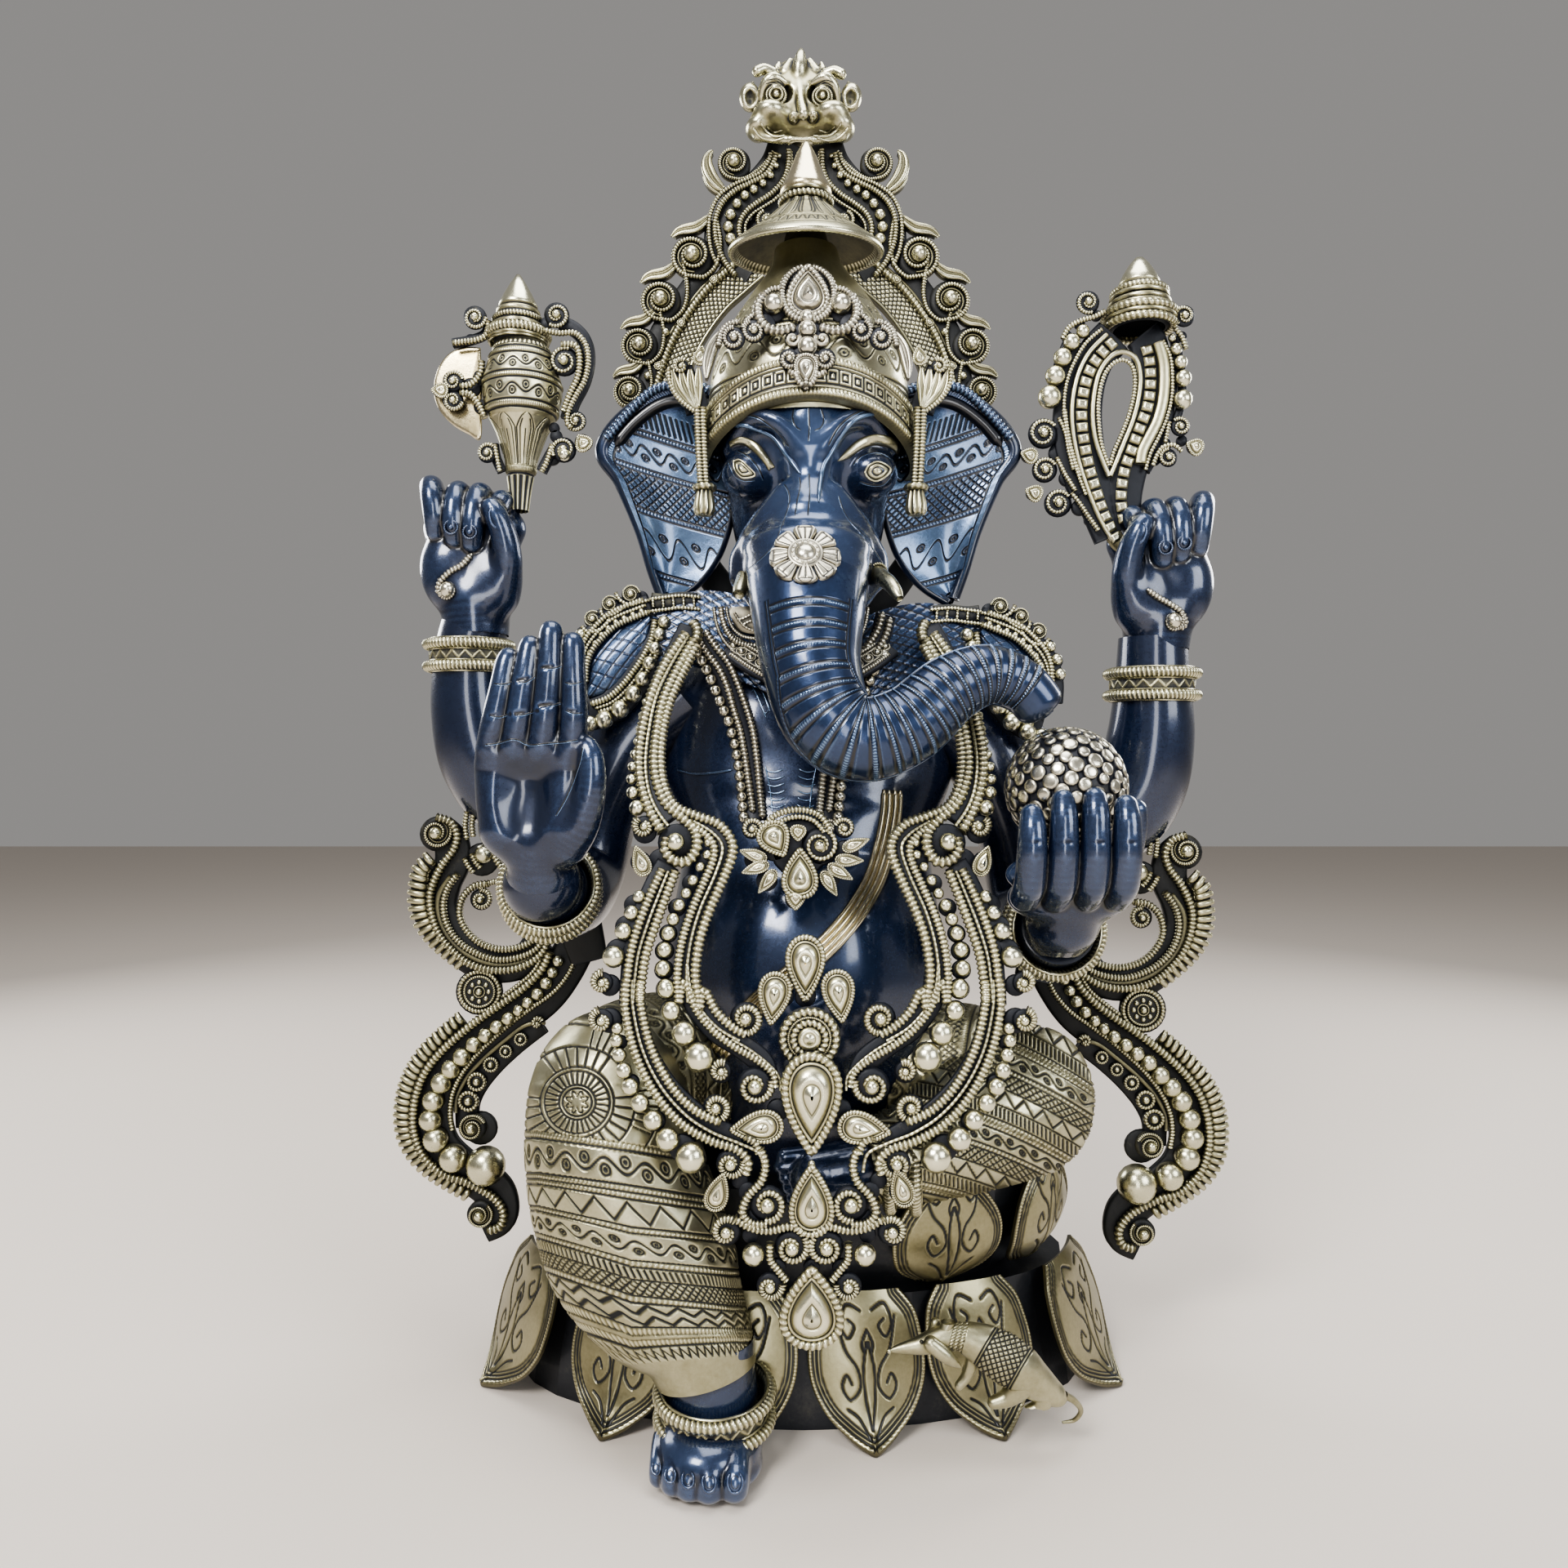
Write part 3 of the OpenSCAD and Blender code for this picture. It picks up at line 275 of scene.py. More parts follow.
def ball(m, c, r, n=12, W0=0.35, W1=0.95, squash=(1, 1, 1), face=(0, -1, 0)):
    k = max(4, n // 2 + 1)
    th = np.linspace(0, PI, k)
    ph = np.linspace(0, 2 * PI, n, endpoint=False)
    d = np.stack([np.sin(th)[:, None] * np.cos(ph), np.sin(th)[:, None] * np.sin(ph), np.broadcast_to(np.cos(th)[:, None], (k, n))], -1)
    V = np.asarray(c) + d * r * np.asarray(squash)
    w = d @ np.asarray(face, float)
    W = W0 + (W1 - W0) * np.clip(w * 0.7 + 0.5, 0, 1)
    m.add(V, gridq(k, n, False, True)[:, ::-1], None, W.ravel())
    return m


def bead_row(m, rows, r=None, gap=1.06, n=10, W0=0.35, lift=0.0, squash=(1, 0.85, 1)):
    """Beads touching along a path; rows may carry the radius."""
    C, s = curve(rows, 0.5)
    rr = C[:, 3] if C.shape[1] > 3 else np.full(len(C), float(r))
    p = rr[0]
    while p < s[-1] + 1e-6:
        i = min(len(C) - 1, int(np.searchsorted(s, p)))
        c = C[i, :3] + np.array([0, -lift, 0])
        ball(m, c, rr[i], n, W0, squash=squash)
        p += 2 * rr[i] * gap
    return m


def lathe(m, prof, c=(0, 0, 0), axis=(0, 0, 1), n=48, W=None, mod=None, xdir=None):
    """Revolves rows (r, h[, w]) about axis through c. mod(ph, r, h) adds to the radius."""
    prof = np.asarray(prof, float)
    ax = unit(np.asarray(axis, float))
    x = np.asarray(xdir if xdir is not None else ((1, 0, 0) if abs(ax[0]) < 0.9 else (0, 1, 0)), float)
    x = unit(x - ax * (x @ ax))
    y = np.cross(ax, x)
    ph = np.linspace(0, 2 * PI, n, endpoint=False)
    r = np.broadcast_to(prof[:, :1], (len(prof), n)).copy()
    h = np.broadcast_to(prof[:, 1:2], (len(prof), n)).copy()
    w = np.broadcast_to(prof[:, 2:3], (len(prof), n)).copy() if prof.shape[1] > 2 else np.full(r.shape, 0.5)
    if mod is not None:
        dr, dw = mod(ph[None, :], r, h)
        r = r + dr
        w = np.clip(w + dw, 0, 1)
    V = np.asarray(c, float) + (r * np.cos(ph))[..., None] * x + (r * np.sin(ph))[..., None] * y + h[..., None] * ax
    m.add(V, gridq(len(prof), n, False, True), None, w.ravel() if W is None else W)
    return m


def milled_ring(m, c, R, r, axis=(0, 0, 1), count=None, deep=0.22, n=10, flat=1.0, xdir=None, ell=1.0):
    """Ring with milled edge. ell squashes the ring along its second axis."""
    ax = unit(np.asarray(axis, float))
    x = np.asarray(xdir if xdir is not None else ((1, 0, 0) if abs(ax[0]) < 0.9 else (0, 1, 0)), float)
    x = unit(x - ax * (x @ ax))
    y = np.cross(ax, x)
    count = count or max(8, int(2 * PI * R / (r * 1.3)))
    k = count * 4
    a = np.linspace(0, 2 * PI, k + 1)
    C = np.asarray(c, float) + R * (np.cos(a)[:, None] * x + ell * np.sin(a)[:, None] * y)
    ph = np.linspace(0, 2 * PI, n, endpoint=False)
    g = np.cos(a[:, None] * count + ph[None] * 1.0)
    rad = r * (1 - deep / 2 + deep / 2 * g)
    W = 0.3 + 0.6 * (0.5 + 0.5 * g)
    t = unit(np.gradient(C, axis=0))
    t[0] = t[-1] = y
    out = unit(np.cross(t, ax))
    V = C[:, None] + out[:, None] * (rad * np.cos(ph))[..., None] + ax * (rad * np.sin(ph) * flat)[..., None]
    m.add(V[:-1], gridq(k, n, True, True)[:, ::-1], None, W[:-1].ravel())
    return m


def volute(m, c, r, a0=0.0, hand=1, turns=1.35, axis=(0, -1, 0), milled=True, balls=True, back=True, thick=None, tail=None, boss=0.28):
    """Spiral scroll with a ball eye. a0 is where the outer end starts (radians, 0 = +X, PI/2 = +Z); hand 1 turns from +X to +Z.
    tail is an optional list of points leading in to the outer end."""
    ax = unit(np.asarray(axis, float))
    x = unit(np.array([1.0, 0, 0]) - ax * ax[0])
    z = -np.cross(ax, x)
    z = z if z[2] >= 0 else -z
    th = np.linspace(0, 2 * PI * turns, 30)
    t = th / th[-1]
    rho = r * (0.84 - 0.56 * t)
    tr = (thick or r * 0.19) * (1 - 0.45 * t)
    ang = a0 + hand * th
    C = np.asarray(c, float) + rho[:, None] * (np.cos(ang)[:, None] * x + np.sin(ang)[:, None] * z) + ax * (r * 0.12 * t)[:, None]
    C = np.hstack([C, tr[:, None]])
    if tail is not None:
        tl = np.array([list(p)[:3] + [tr[0] * (p[3] if len(p) > 3 else 1.0)] for p in tail], float)
        C = np.vstack([tl, C])
        C = C[np.r_[0:len(tl), len(tl):len(C):3, len(C) - 1]]
    if milled:
        rope(m, C, pitch=max(1.6, r * 0.2), n=8, face=ax, deep=0.3)
    else:
        tube(m, C, n=8, face=ax, W=0.7)
    if balls:
        ball(m, np.asarray(c) + ax * r * 0.2, r * boss, 12, 0.55, 1.0, face=ax)
    if back:
        lathe(m, [[0, -r * 0.3, 0.1], [r * 0.8, -r * 0.3, 0.1], [r * 0.9, -r * 0.12, 0.12], [r * 0.7, 0.0, 0.1], [r * 0.35, r * 0.02, 0.08], [0, r * 0.02, 0.08]], c, ax, 20)
    return m


def drop_outline(w, h, n=40, m=1.0):
    t = np.linspace(0, 2 * PI, n + 1)
    x = 0.5 * w * np.sin(t) * np.sin(t / 2) ** m * 1.28
    z = 0.5 * h * np.cos(t)
    return x, z


def teardrop(m, c, w, h, ang=0.0, axis=(0, -1, 0), dome=0.18, milled=True):
    """Drop-shaped stone setting, point up at ang 0: milled border, groove, raised stone. ang turns it clockwise as seen."""
    ax = unit(np.asarray(axis, float))
    x = unit(np.array([1.0, 0, 0]) - ax * ax[0])
    z = np.cross(x, ax)
    z = z if z[2] >= 0 else -z
    ca, sa = math.cos(ang), math.sin(ang)
    xr = x * ca - z * sa
    zr = x * sa + z * ca
    px, pz = drop_outline(w, h)
    zc = -0.1 * h

    def ring(s, lift):
        return np.asarray(c, float) + (px * s)[:, None] * xr + ((pz - zc) * s + zc)[:, None] * zr + ax * lift

    R = [(1.0, -w * 0.12, .1), (1.02, 0.0, .12), (0.86, w * 0.03, .1), (0.72, w * 0.03, 0.08), (0.66, w * 0.10, .5), (0.52, w * dome, .85), (0.34, w * dome * 1.15, .9),
         (0.30, w * dome * 1.0, .35), (0.26, w * dome * 1.2, .9), (0.05, w * dome * 1.45, 1.0)]
    V = np.array([ring(s, l)[:-1] for s, l, _ in R])
    n = V.shape[1]
    W = np.repeat([q[2] for q in R], n)
    m.add(V, gridq(len(R), n, False, True), None, W)
    if milled:
        rope(m, ring(0.93, w * 0.05), r=w * 0.085, pitch=max(1.3, w * 0.1), n=8, face=ax, closed=True)
        tube(m, ring(0.76, w * 0.05), r=w * 0.035, n=6, face=ax, closed=True, W=0.75)
    return m


def rosette(m, c, r, axis=(0, -1, 0), petals=8, rim=True):
    ax = unit(np.asarray(axis, float))
    x = unit(np.array([1.0, 0, 0]) - ax * ax[0])
    z = np.cross(x, ax)
    lathe(m, [[0, -r * .15, .1], [r * .95, -r * .15, .1], [r, 0, .2], [r * .8, r * .05, .12], [0, r * .05, .12]], c, ax, 32)
    if rim:
        milled_ring(m, np.asarray(c) + ax * r * .05, r * .92, r * .1, ax, deep=.3, n=8)
    for i in range(petals):
        a = 2 * PI * i / petals
        d = math.cos(a) * x + math.sin(a) * z
        ball(m, np.asarray(c) + d * r * .58 + ax * r * .06, r * .17, 8, .3, .9, face=ax)
    milled_ring(m, np.asarray(c) + ax * r * .1, r * .33, r * .06, ax, deep=.3, n=6)
    ball(m, np.asarray(c) + ax * r * .16, r * .22, 10, .5, 1.0, face=ax)
    return m


# ---------------------------------------------------------------- volumes


class Vol:
    """Distance field on a grid, in mm, joined with soft unions and turned into a smooth quad skin."""

    def __init__(s, lo, hi, h):
        s.lo = np.array(lo, float)
        s.h = float(h)
        s.n = np.ceil((np.array(hi, float) - s.lo) / h).astype(int) + 1
        s.ax = [(s.lo[i] + h * np.arange(s.n[i])).astype(np.float32) for i in range(3)]
        s.D = np.full(s.n, 50.0, np.float32)

    def _win(s, lo, hi, pad):
        sl = []
        for i in range(3):
            a = int(np.clip(math.floor((lo[i] - pad - s.lo[i]) / s.h), 0, s.n[i]))
            b = int(np.clip(math.ceil((hi[i] + pad - s.lo[i]) / s.h) + 1, 0, s.n[i]))
            sl.append(slice(a, max(a, b)))
        return tuple(sl)

    def _xyz(s, w):
        return (s.ax[0][w[0]][:, None, None], s.ax[1][w[1]][None, :, None], s.ax[2][w[2]][None, None, :])

    def _join(s, w, d, k, cut=False):
        o = s.D[w]
        d = d.astype(np.float32)
        if cut:
            if k <= 0:
                s.D[w] = np.maximum(o, -d)
            else:
                h = np.clip(0.5 - 0.5 * (o + d) / k, 0, 1)
                s.D[w] = o * (1 - h) + (-d) * h + k * h * (1 - h)
            return
        if k <= 0:
            s.D[w] = np.minimum(o, d)
        else:
            h = np.clip(0.5 + 0.5 * (o - d) / k, 0, 1)
            s.D[w] = o * (1 - h) + d * h - k * h * (1 - h)

    def ell(s, c, r, k=6.0, cut=False, rot=None):
        c = np.array(c, float)
        r = np.array(r, float)
        R = float(r.max())
        w = s._win(c - R, c + R, k + 4)
        if min(q.stop - q.start for q in w) <= 0:
            return s
        X, Y, Z = s._xyz(w)
        X, Y, Z = X - c[0], Y - c[1], Z - c[2]
        if rot is not None:
            X, Y, Z = (rot[0][0] * X + rot[0][1] * Y + rot[0][2] * Z, rot[1][0] * X + rot[1][1] * Y + rot[1][2] * Z, rot[2][0] * X + rot[2][1] * Y + rot[2][2] * Z)
        k0 = np.sqrt((X / r[0]) ** 2 + (Y / r[1]) ** 2 + (Z / r[2]) ** 2)
        k1 = np.sqrt((X / r[0] ** 2) ** 2 + (Y / r[1] ** 2) ** 2 + (Z / r[2] ** 2) ** 2)
        s._join(w, k0 * (k0 - 1) / np.maximum(k1, 1e-6), k, cut)
        return s

    def cap(s, a, b, ra, rb, k=6.0, cut=False, sy=1.0):
        """Tapered capsule; sy squeezes its depth."""
        a, b = np.array(a, float), np.array(b, float)
        R = max(ra, rb)
        w = s._win(np.minimum(a, b) - R, np.maximum(a, b) + R, k + 4)
        if min(q.stop - q.start for q in w) <= 0:
            return s
        X, Y, Z = s._xyz(w)
        ba = b - a
        bb = float(ba @ ba) + 1e-9
        t = np.clip(((X - a[0]) * ba[0] + (Y - a[1]) * ba[1] + (Z - a[2]) * ba[2]) / bb, 0, 1)
        d = np.sqrt((X - a[0] - t * ba[0]) ** 2 + ((Y - a[1] - t * ba[1]) / sy) ** 2 + (Z - a[2] - t * ba[2]) ** 2) - (ra + (rb - ra) * t)
        s._join(w, d, k, cut)
        return s

    def chain(s, rows, k=6.0, cut=False, join=None):
        """Joined capsules through rows (x, y, z, r), as one smooth bar."""
        C = crom(np.array(rows, float), 5)
        lo, hi = (C[:, :3] - C[:, 3:]).min(0), (C[:, :3] + C[:, 3:]).max(0)
        w = s._win(lo, hi, k + 4)
        if min(q.stop - q.start for q in w) <= 0:
            return s
        X, Y, Z = s._xyz(w)
        best = None
        for a, b in zip(C[:-1], C[1:]):
            ba = b[:3] - a[:3]
            bb = float(ba @ ba) + 1e-9
            t = np.clip(((X - a[0]) * ba[0] + (Y - a[1]) * ba[1] + (Z - a[2]) * ba[2]) / bb, 0, 1)
            d = np.sqrt((X - a[0] - t * ba[0]) ** 2 + (Y - a[1] - t * ba[1]) ** 2 + (Z - a[2] - t * ba[2]) ** 2) - (a[3] + (b[3] - a[3]) * t)
            best = d if best is None else np.minimum(best, d)
        s._join(w, best, k, cut)
        return s

    def mesh(s, relax=1):
        D = s.D
        S = D < 0
        nx, ny, nz = D.shape
        cnt = np.zeros((nx - 1, ny - 1, nz - 1), np.float32)
        acc = np.zeros((3, nx - 1, ny - 1, nz - 1), np.float32)
        edges = []
        for axis in range(3):
            a = [slice(None)] * 3
            b = [slice(None)] * 3
            a[axis] = slice(0, -1)
            b[axis] = slice(1, None)
            A, B = D[tuple(a)], D[tuple(b)]
            idx = np.argwhere(S[tuple(a)] != S[tuple(b)])
            va, vb = A[tuple(idx.T)], B[tuple(idx.T)]
            t = va / (va - vb)
            pos = idx.astype(np.float32)
            pos[:, axis] += t
            o1, o2 = [i for i in range(3) if i != axis]
            for d1 in (0, -1):
                for d2 in (0, -1):
                    c = idx.copy()
                    c[:, o1] += d1
                    c[:, o2] += d2
                    ok = (c[:, o1] >= 0) & (c[:, o2] >= 0) & (c[:, o1] < (nx - 1, ny - 1, nz - 1)[o1]) & (c[:, o2] < (nx - 1, ny - 1, nz - 1)[o2])
                    cc = tuple(c[ok].T)
                    np.add.at(cnt, cc, 1)
                    for q in range(3):
                        np.add.at(acc[q], cc, pos[ok, q])
            edges.append((axis, idx, va < 0))
        act = cnt > 0
        ids = np.full(cnt.shape, -1, np.int64)
        ids[act] = np.arange(int(act.sum()))
        V = np.stack([acc[q][act] / cnt[act] for q in range(3)], 1) * s.h + s.lo
        Qs = []
        for axis, idx, neg in edges:
            o1, o2 = [(1, 2), (2, 0), (0, 1)][axis]
            sh = cnt.shape
            ok = (idx[:, o1] >= 1) & (idx[:, o2] >= 1) & (idx[:, o1] < sh[o1]) & (idx[:, o2] < sh[o2])
            i = idx[ok]
            ng = neg[ok]
            c00, c10, c11, c01 = i.copy(), i.copy(), i.copy(), i.copy()
            c00[:, o1] -= 1; c00[:, o2] -= 1
            c10[:, o2] -= 1
            c01[:, o1] -= 1
            q = np.stack([ids[tuple(c.T)] for c in (c00, c10, c11, c01)], 1)
            q[~ng] = q[~ng][:, ::-1]
            Qs.append(q)
        Q = np.concatenate(Qs)
        V = V.astype(np.float64)
        for _ in range(relax):
            V = V + 0.5 * (neighbour_mean(V, Q) - V)
        return V, Q


def neighbour_mean(V, Q):
    a = Q.ravel()
    b = np.roll(Q, -1, axis=1).ravel()
    n = len(V)
    c = np.bincount(a, minlength=n) + np.bincount(b, minlength=n)
    out = np.empty_like(V)
    for j in range(3):
        out[:, j] = (np.bincount(a, V[b, j], n) + np.bincount(b, V[a, j], n)) / np.maximum(c, 1)
    return out


def vnormals(V, Q):
    n = np.cross(V[Q[:, 2]] - V[Q[:, 0]], V[Q[:, 3]] - V[Q[:, 1]])
    out = np.empty_like(V)
    for j in range(3):
        out[:, j] = sum(np.bincount(Q[:, i], n[:, j], len(V)) for i in range(4))
    return unit(out)


def project(V, C):
    """Arc length and distance of the nearest point of path C for each vertex."""
    P3 = C[:, :3]
    seg = np.linalg.norm(np.diff(P3, axis=0), axis=1)
    s = np.concatenate([[0], np.cumsum(seg)])
    best = np.full(len(V), 1e18)
    bi = np.zeros(len(V))
    for a, b, s0, l in zip(P3[:-1], P3[1:], s[:-1], seg):
        ba = b - a
        t = np.clip((V - a) @ ba / max(float(ba @ ba), 1e-9), 0, 1)
        d = ((V - a - t[:, None] * ba) ** 2).sum(1)
        g = d < best
        best[g] = d[g]
        bi[g] = s0 + t[g] * l
    return bi, np.sqrt(best)


# ---------------------------------------------------------------- engraved patterns, heights from 0 (cut) to 1 (face)


def line(d, w=0.5, soft=0.5):
    """1 on a line at d = 0, falling to 0 beyond its half width w."""
    return np.clip((w + soft - np.abs(d)) / soft, 0, 1)


def pat_rope(s, t, half, pitch):
    """Cord border: oblique ridges between t = -half and half."""
    x = np.clip(np.abs(t) / half, 0, 1)
    g = 0.5 + 0.5 * np.cos(2 * PI * (s + 0.6 * t) / pitch)
    return np.sqrt(np.clip(1 - x ** 2, 0, 1)) * (0.45 + 0.55 * g)


def pat_hatch(s, t, p=4.0):
    a = np.abs(((s + t) / p) % 1 - 0.5) * 2
    b = np.abs(((s - t) / p) % 1 - 0.5) * 2
    return 1 - np.maximum(line((1 - a) * p / 2, 0.25, 0.5), line((1 - b) * p / 2, 0.25, 0.5))


def pat_zig(s, t, half, p):
    z = (np.abs((s / p) % 1 - 0.5) * 4 - 1) * half * 0.8
    return 1 - line((t - z) * 0.6, 0.3, 0.5)


def pat_wave(s, t, half, p):
    ph = 2 * PI * s / p
    a = 1 - line((t - half * 0.45 * np.sin(ph)) * 0.8, 0.3, 0.5)
    k = np.round(s / (p / 2) - 0.5)
    cs = (k + 0.5) * p / 2
    sg = np.where(k % 2 == 0, -1.0, 1.0)
    d = np.hypot(s - cs, t - sg * half * 0.32)
    b = 1 - line(d - p * 0.11, 0.25, 0.5)
    c = 1 - line(d - p * 0.03, 0.25, 0.5)
    return np.minimum(np.minimum(a, b), c)


def pat_dots(s, t, half, p):
    x = ((s / p) % 1 - 0.5) * p
    d = np.hypot(x, t)
    r = min(half, p / 2) * 0.8
    return 0.15 + 0.85 * np.sqrt(np.clip(1 - (d / r) ** 2, 0, 1))


def pat_comb(s, t, half, p):
    return 1 - line(((s / p) % 1 - 0.5) * p, 0.25, 0.5) * (np.abs(t) < half * 0.85)


def bands(w, s, spec, s0=0.0):
    """Stacks (width, kind, pitch) across w from s0 on. Returns raised height 0 to 1 and a matching wear."""
    H = np.full(w.shape, 1.0)
    W = np.full(w.shape, 0.62)
    total = sum(q[0] for q in spec)
    x = (w - s0) % total
    a = 0.0
    for width, kind, p in spec:
        inb = (x >= a) & (x < a + width)
        t = x[inb] - a - width / 2
        ss = s[inb]
        h = width / 2
        if kind == "rope":
            v = pat_rope(ss, t, h, p); hh, ww = v, 0.15 + 0.85 * v
        elif kind == "line":
            v = 1 - line(t, h * 0.5, 0.4); hh, ww = v, 0.1 + 0.5 * v
        elif kind == "hatch":
            v = pat_hatch(ss, t, p); hh, ww = v, 0.12 + 0.55 * v
        elif kind == "zig":
            v = pat_zig(ss, t, h, p); hh, ww = v, 0.12 + 0.58 * v
        elif kind == "wave":
            v = pat_wave(ss, t, h, p); hh, ww = v, 0.12 + 0.6 * v
        elif kind == "dots":
            v = pat_dots(ss, t, h, p); hh, ww = v, 0.1 + 0.85 * v
        elif kind == "comb":
            v = pat_comb(ss, t, h, p); hh, ww = v, 0.12 + 0.58 * v
        else:
            v = np.ones_like(t); hh, ww = v, 0.62 * v
        H[inb] = hh
        W[inb] = ww
        a += width
    return H, W

# ---------------------------------------------------------------- materials


def node(nt, kind, **kw):
    n = nt.nodes.new(kind)
    for k, v in kw.items():
        setattr(n, k, v)
    return n


def ramp(nt, src, stops):
    r = node(nt, "ShaderNodeValToRGB")
    e = r.color_ramp.elements
    while len(e) < len(stops):
        e.new(0.5)
    for q, (p, c) in zip(e, stops):
        q.position = p
        q.color = (c, c, c, 1) if isinstance(c, (int, float)) else tuple(c) + (1,)
    nt.links.new(src, r.inputs[0])
    return r.outputs[0]


def mixc(nt, fac, a, b, blend="MIX"):
    m = node(nt, "ShaderNodeMix", data_type="RGBA", blend_type=blend)
    if isinstance(fac, (int, float)):
        m.inputs[0].default_value = fac
    else:
        nt.links.new(fac, m.inputs[0])
    for i, q in ((6, a), (7, b)):
        if isinstance(q, tuple):
            m.inputs[i].default_value = q + (1,)
        else:
            nt.links.new(q, m.inputs[i])
    return m.outputs[2]


def maths(nt, op, a, b=None, c=None, clamp=False):
    m = node(nt, "ShaderNodeMath", operation=op, use_clamp=clamp)
    for i, q in enumerate((a, b, c)):
        if q is None:
            continue
        if isinstance(q, (int, float)):
            m.inputs[i].default_value = q
        else:
            nt.links.new(q, m.inputs[i])
    return m.outputs[0]


def metal(name, hi, mid, dark, rough=(0.26, 0.5), metallic=1.0, coat=0.0, ao=0.0035, patina_and_occlusion_shade=0.5, bump=0.12, attr=True, base_wear=0.6, mott=38.0, spread=0.35):
    """Cast metal: bright on the rubbed crests, dark patina in the recesses, deepened by ambient occlusion as painted
    shade.
    """
    mat = bpy.data.materials.new(name)
    mat.use_nodes = True
    nt = mat.node_tree
    nt.nodes.clear()
    L = nt.links.new
    out = node(nt, "ShaderNodeOutputMaterial")
    p = node(nt, "ShaderNodeBsdfPrincipled")
    L(p.outputs[0], out.inputs[0])
    tc = node(nt, "ShaderNodeTexCoord")
    big = node(nt, "ShaderNodeTexNoise")
    big.inputs["Scale"].default_value = mott
    big.inputs["Detail"].default_value = 4
    big.inputs["Roughness"].default_value = 0.6
    L(tc.outputs["Object"], big.inputs["Vector"])
    fine = node(nt, "ShaderNodeTexNoise")
    fine.inputs["Scale"].default_value = 420
    fine.inputs["Detail"].default_value = 4
    fine.inputs["Roughness"].default_value = 0.65
    L(tc.outputs["Object"], fine.inputs["Vector"])
    if attr:
        at = node(nt, "ShaderNodeAttribute")
        at.attribute_name = "wear"
        w = at.outputs["Fac"]
    else:
        w = None
    aon = node(nt, "ShaderNodeAmbientOcclusion", samples=6)
    aon.inputs["Distance"].default_value = ao
    occ = maths(nt, "POWER", aon.outputs["AO"], 1.6)
    v = w if w is not None else base_wear
    # wear shifted by mottling, then cut by ambient occlusion: painted shade in recesses and between parts, standing
    # partly for the real patina
    n1 = maths(nt, "SUBTRACT", big.outputs["Fac"], 0.5)
    n2 = maths(nt, "MULTIPLY", n1, spread)
    n3 = maths(nt, "SUBTRACT", fine.outputs["Fac"], 0.5)
    n4 = maths(nt, "MULTIPLY", n3, 0.16)
    v = maths(nt, "ADD", v, n2)
    v = maths(nt, "ADD", v, n4)
    # ambient occlusion darkens the wear value here by the strength given: painted shade
    o1 = maths(nt, "MULTIPLY_ADD", occ, patina_and_occlusion_shade, 1.0 - patina_and_occlusion_shade)
    v = maths(nt, "MULTIPLY", v, o1, clamp=True)
    # colour: patina -> mid -> rubbed
    col = node(nt, "ShaderNodeValToRGB")
    e = col.color_ramp.elements
    while len(e) < 4:
        e.new(0.5)
    for q, (pos, c) in zip(e, [(0.16, dark), (0.34, tuple(0.5 * (a + b) for a, b in zip(dark, mid))), (0.52, mid), (0.86, hi)]):
        q.position = pos
        q.color = tuple(c) + (1,)
    L(v, col.inputs[0])
    L(col.outputs[0], p.inputs["Base Color"])
    mt = ramp(nt, v, [(0.18, 0.25 * metallic), (0.42, metallic)])
    L(mt, p.inputs["Metallic"])
    rg = node(nt, "ShaderNodeMapRange")
    rg.inputs["From Min"].default_value = 0.2
    rg.inputs["From Max"].default_value = 0.85
    rg.inputs["To Min"].default_value = rough[1]
    rg.inputs["To Max"].default_value = rough[0]
    L(v, rg.inputs["Value"])
    rr = maths(nt, "MULTIPLY_ADD", n3, 0.18, rg.outputs[0])
    L(rr, p.inputs["Roughness"])
    if coat:
        p.inputs["Coat Weight"].default_value = coat
        p.inputs["Coat Roughness"].default_value = 0.12
    bp = node(nt, "ShaderNodeBump")
    bp.inputs["Strength"].default_value = bump
    bp.inputs["Distance"].default_value = 0.0008
    hgt = maths(nt, "MULTIPLY_ADD", big.outputs["Fac"], 0.9, fine.outputs["Fac"])
    L(hgt, bp.inputs["Height"])
    L(bp.outputs[0], p.inputs["Normal"])
    return mat


# the occlusion strength given to each metal darkens its recesses and the places between parts: painted shade, partly
# standing for patina
BRASS = metal("antique_brass", (0.80, 0.78, 0.60), (0.42, 0.39, 0.24), (0.006, 0.008, 0.014), rough=(0.24, 0.55), patina_and_occlusion_shade=0.68)
BRASS2 = metal("antique_brass_olive", (0.62, 0.60, 0.44), (0.27, 0.25, 0.15), (0.008, 0.009, 0.010), rough=(0.26, 0.55), patina_and_occlusion_shade=0.66)
BRIGHT = metal("bright_brass", (0.78, 0.70, 0.50), (0.50, 0.42, 0.24), (0.03, 0.028, 0.02), rough=(0.2, 0.42), patina_and_occlusion_shade=0.55)
SILVERY = metal("worn_brass", (0.72, 0.69, 0.58), (0.40, 0.37, 0.29), (0.012, 0.014, 0.022), rough=(0.24, 0.5), patina_and_occlusion_shade=0.6)
NAVY = metal("navy_lacquer", (0.052, 0.088, 0.180), (0.010, 0.019, 0.050), (0.001, 0.0016, 0.004), rough=(0.20, 0.36), metallic=0.5, coat=1.0, patina_and_occlusion_shade=0.55, bump=0.10, mott=24.0, spread=0.25)
NAVY2 = metal("engraved_navy", (0.16, 0.25, 0.40), (0.020, 0.040, 0.100), (0.001, 0.002, 0.006), rough=(0.20, 0.38), metallic=0.7, coat=0.8, patina_and_occlusion_shade=0.6, bump=0.10, mott=24.0, spread=0.3)
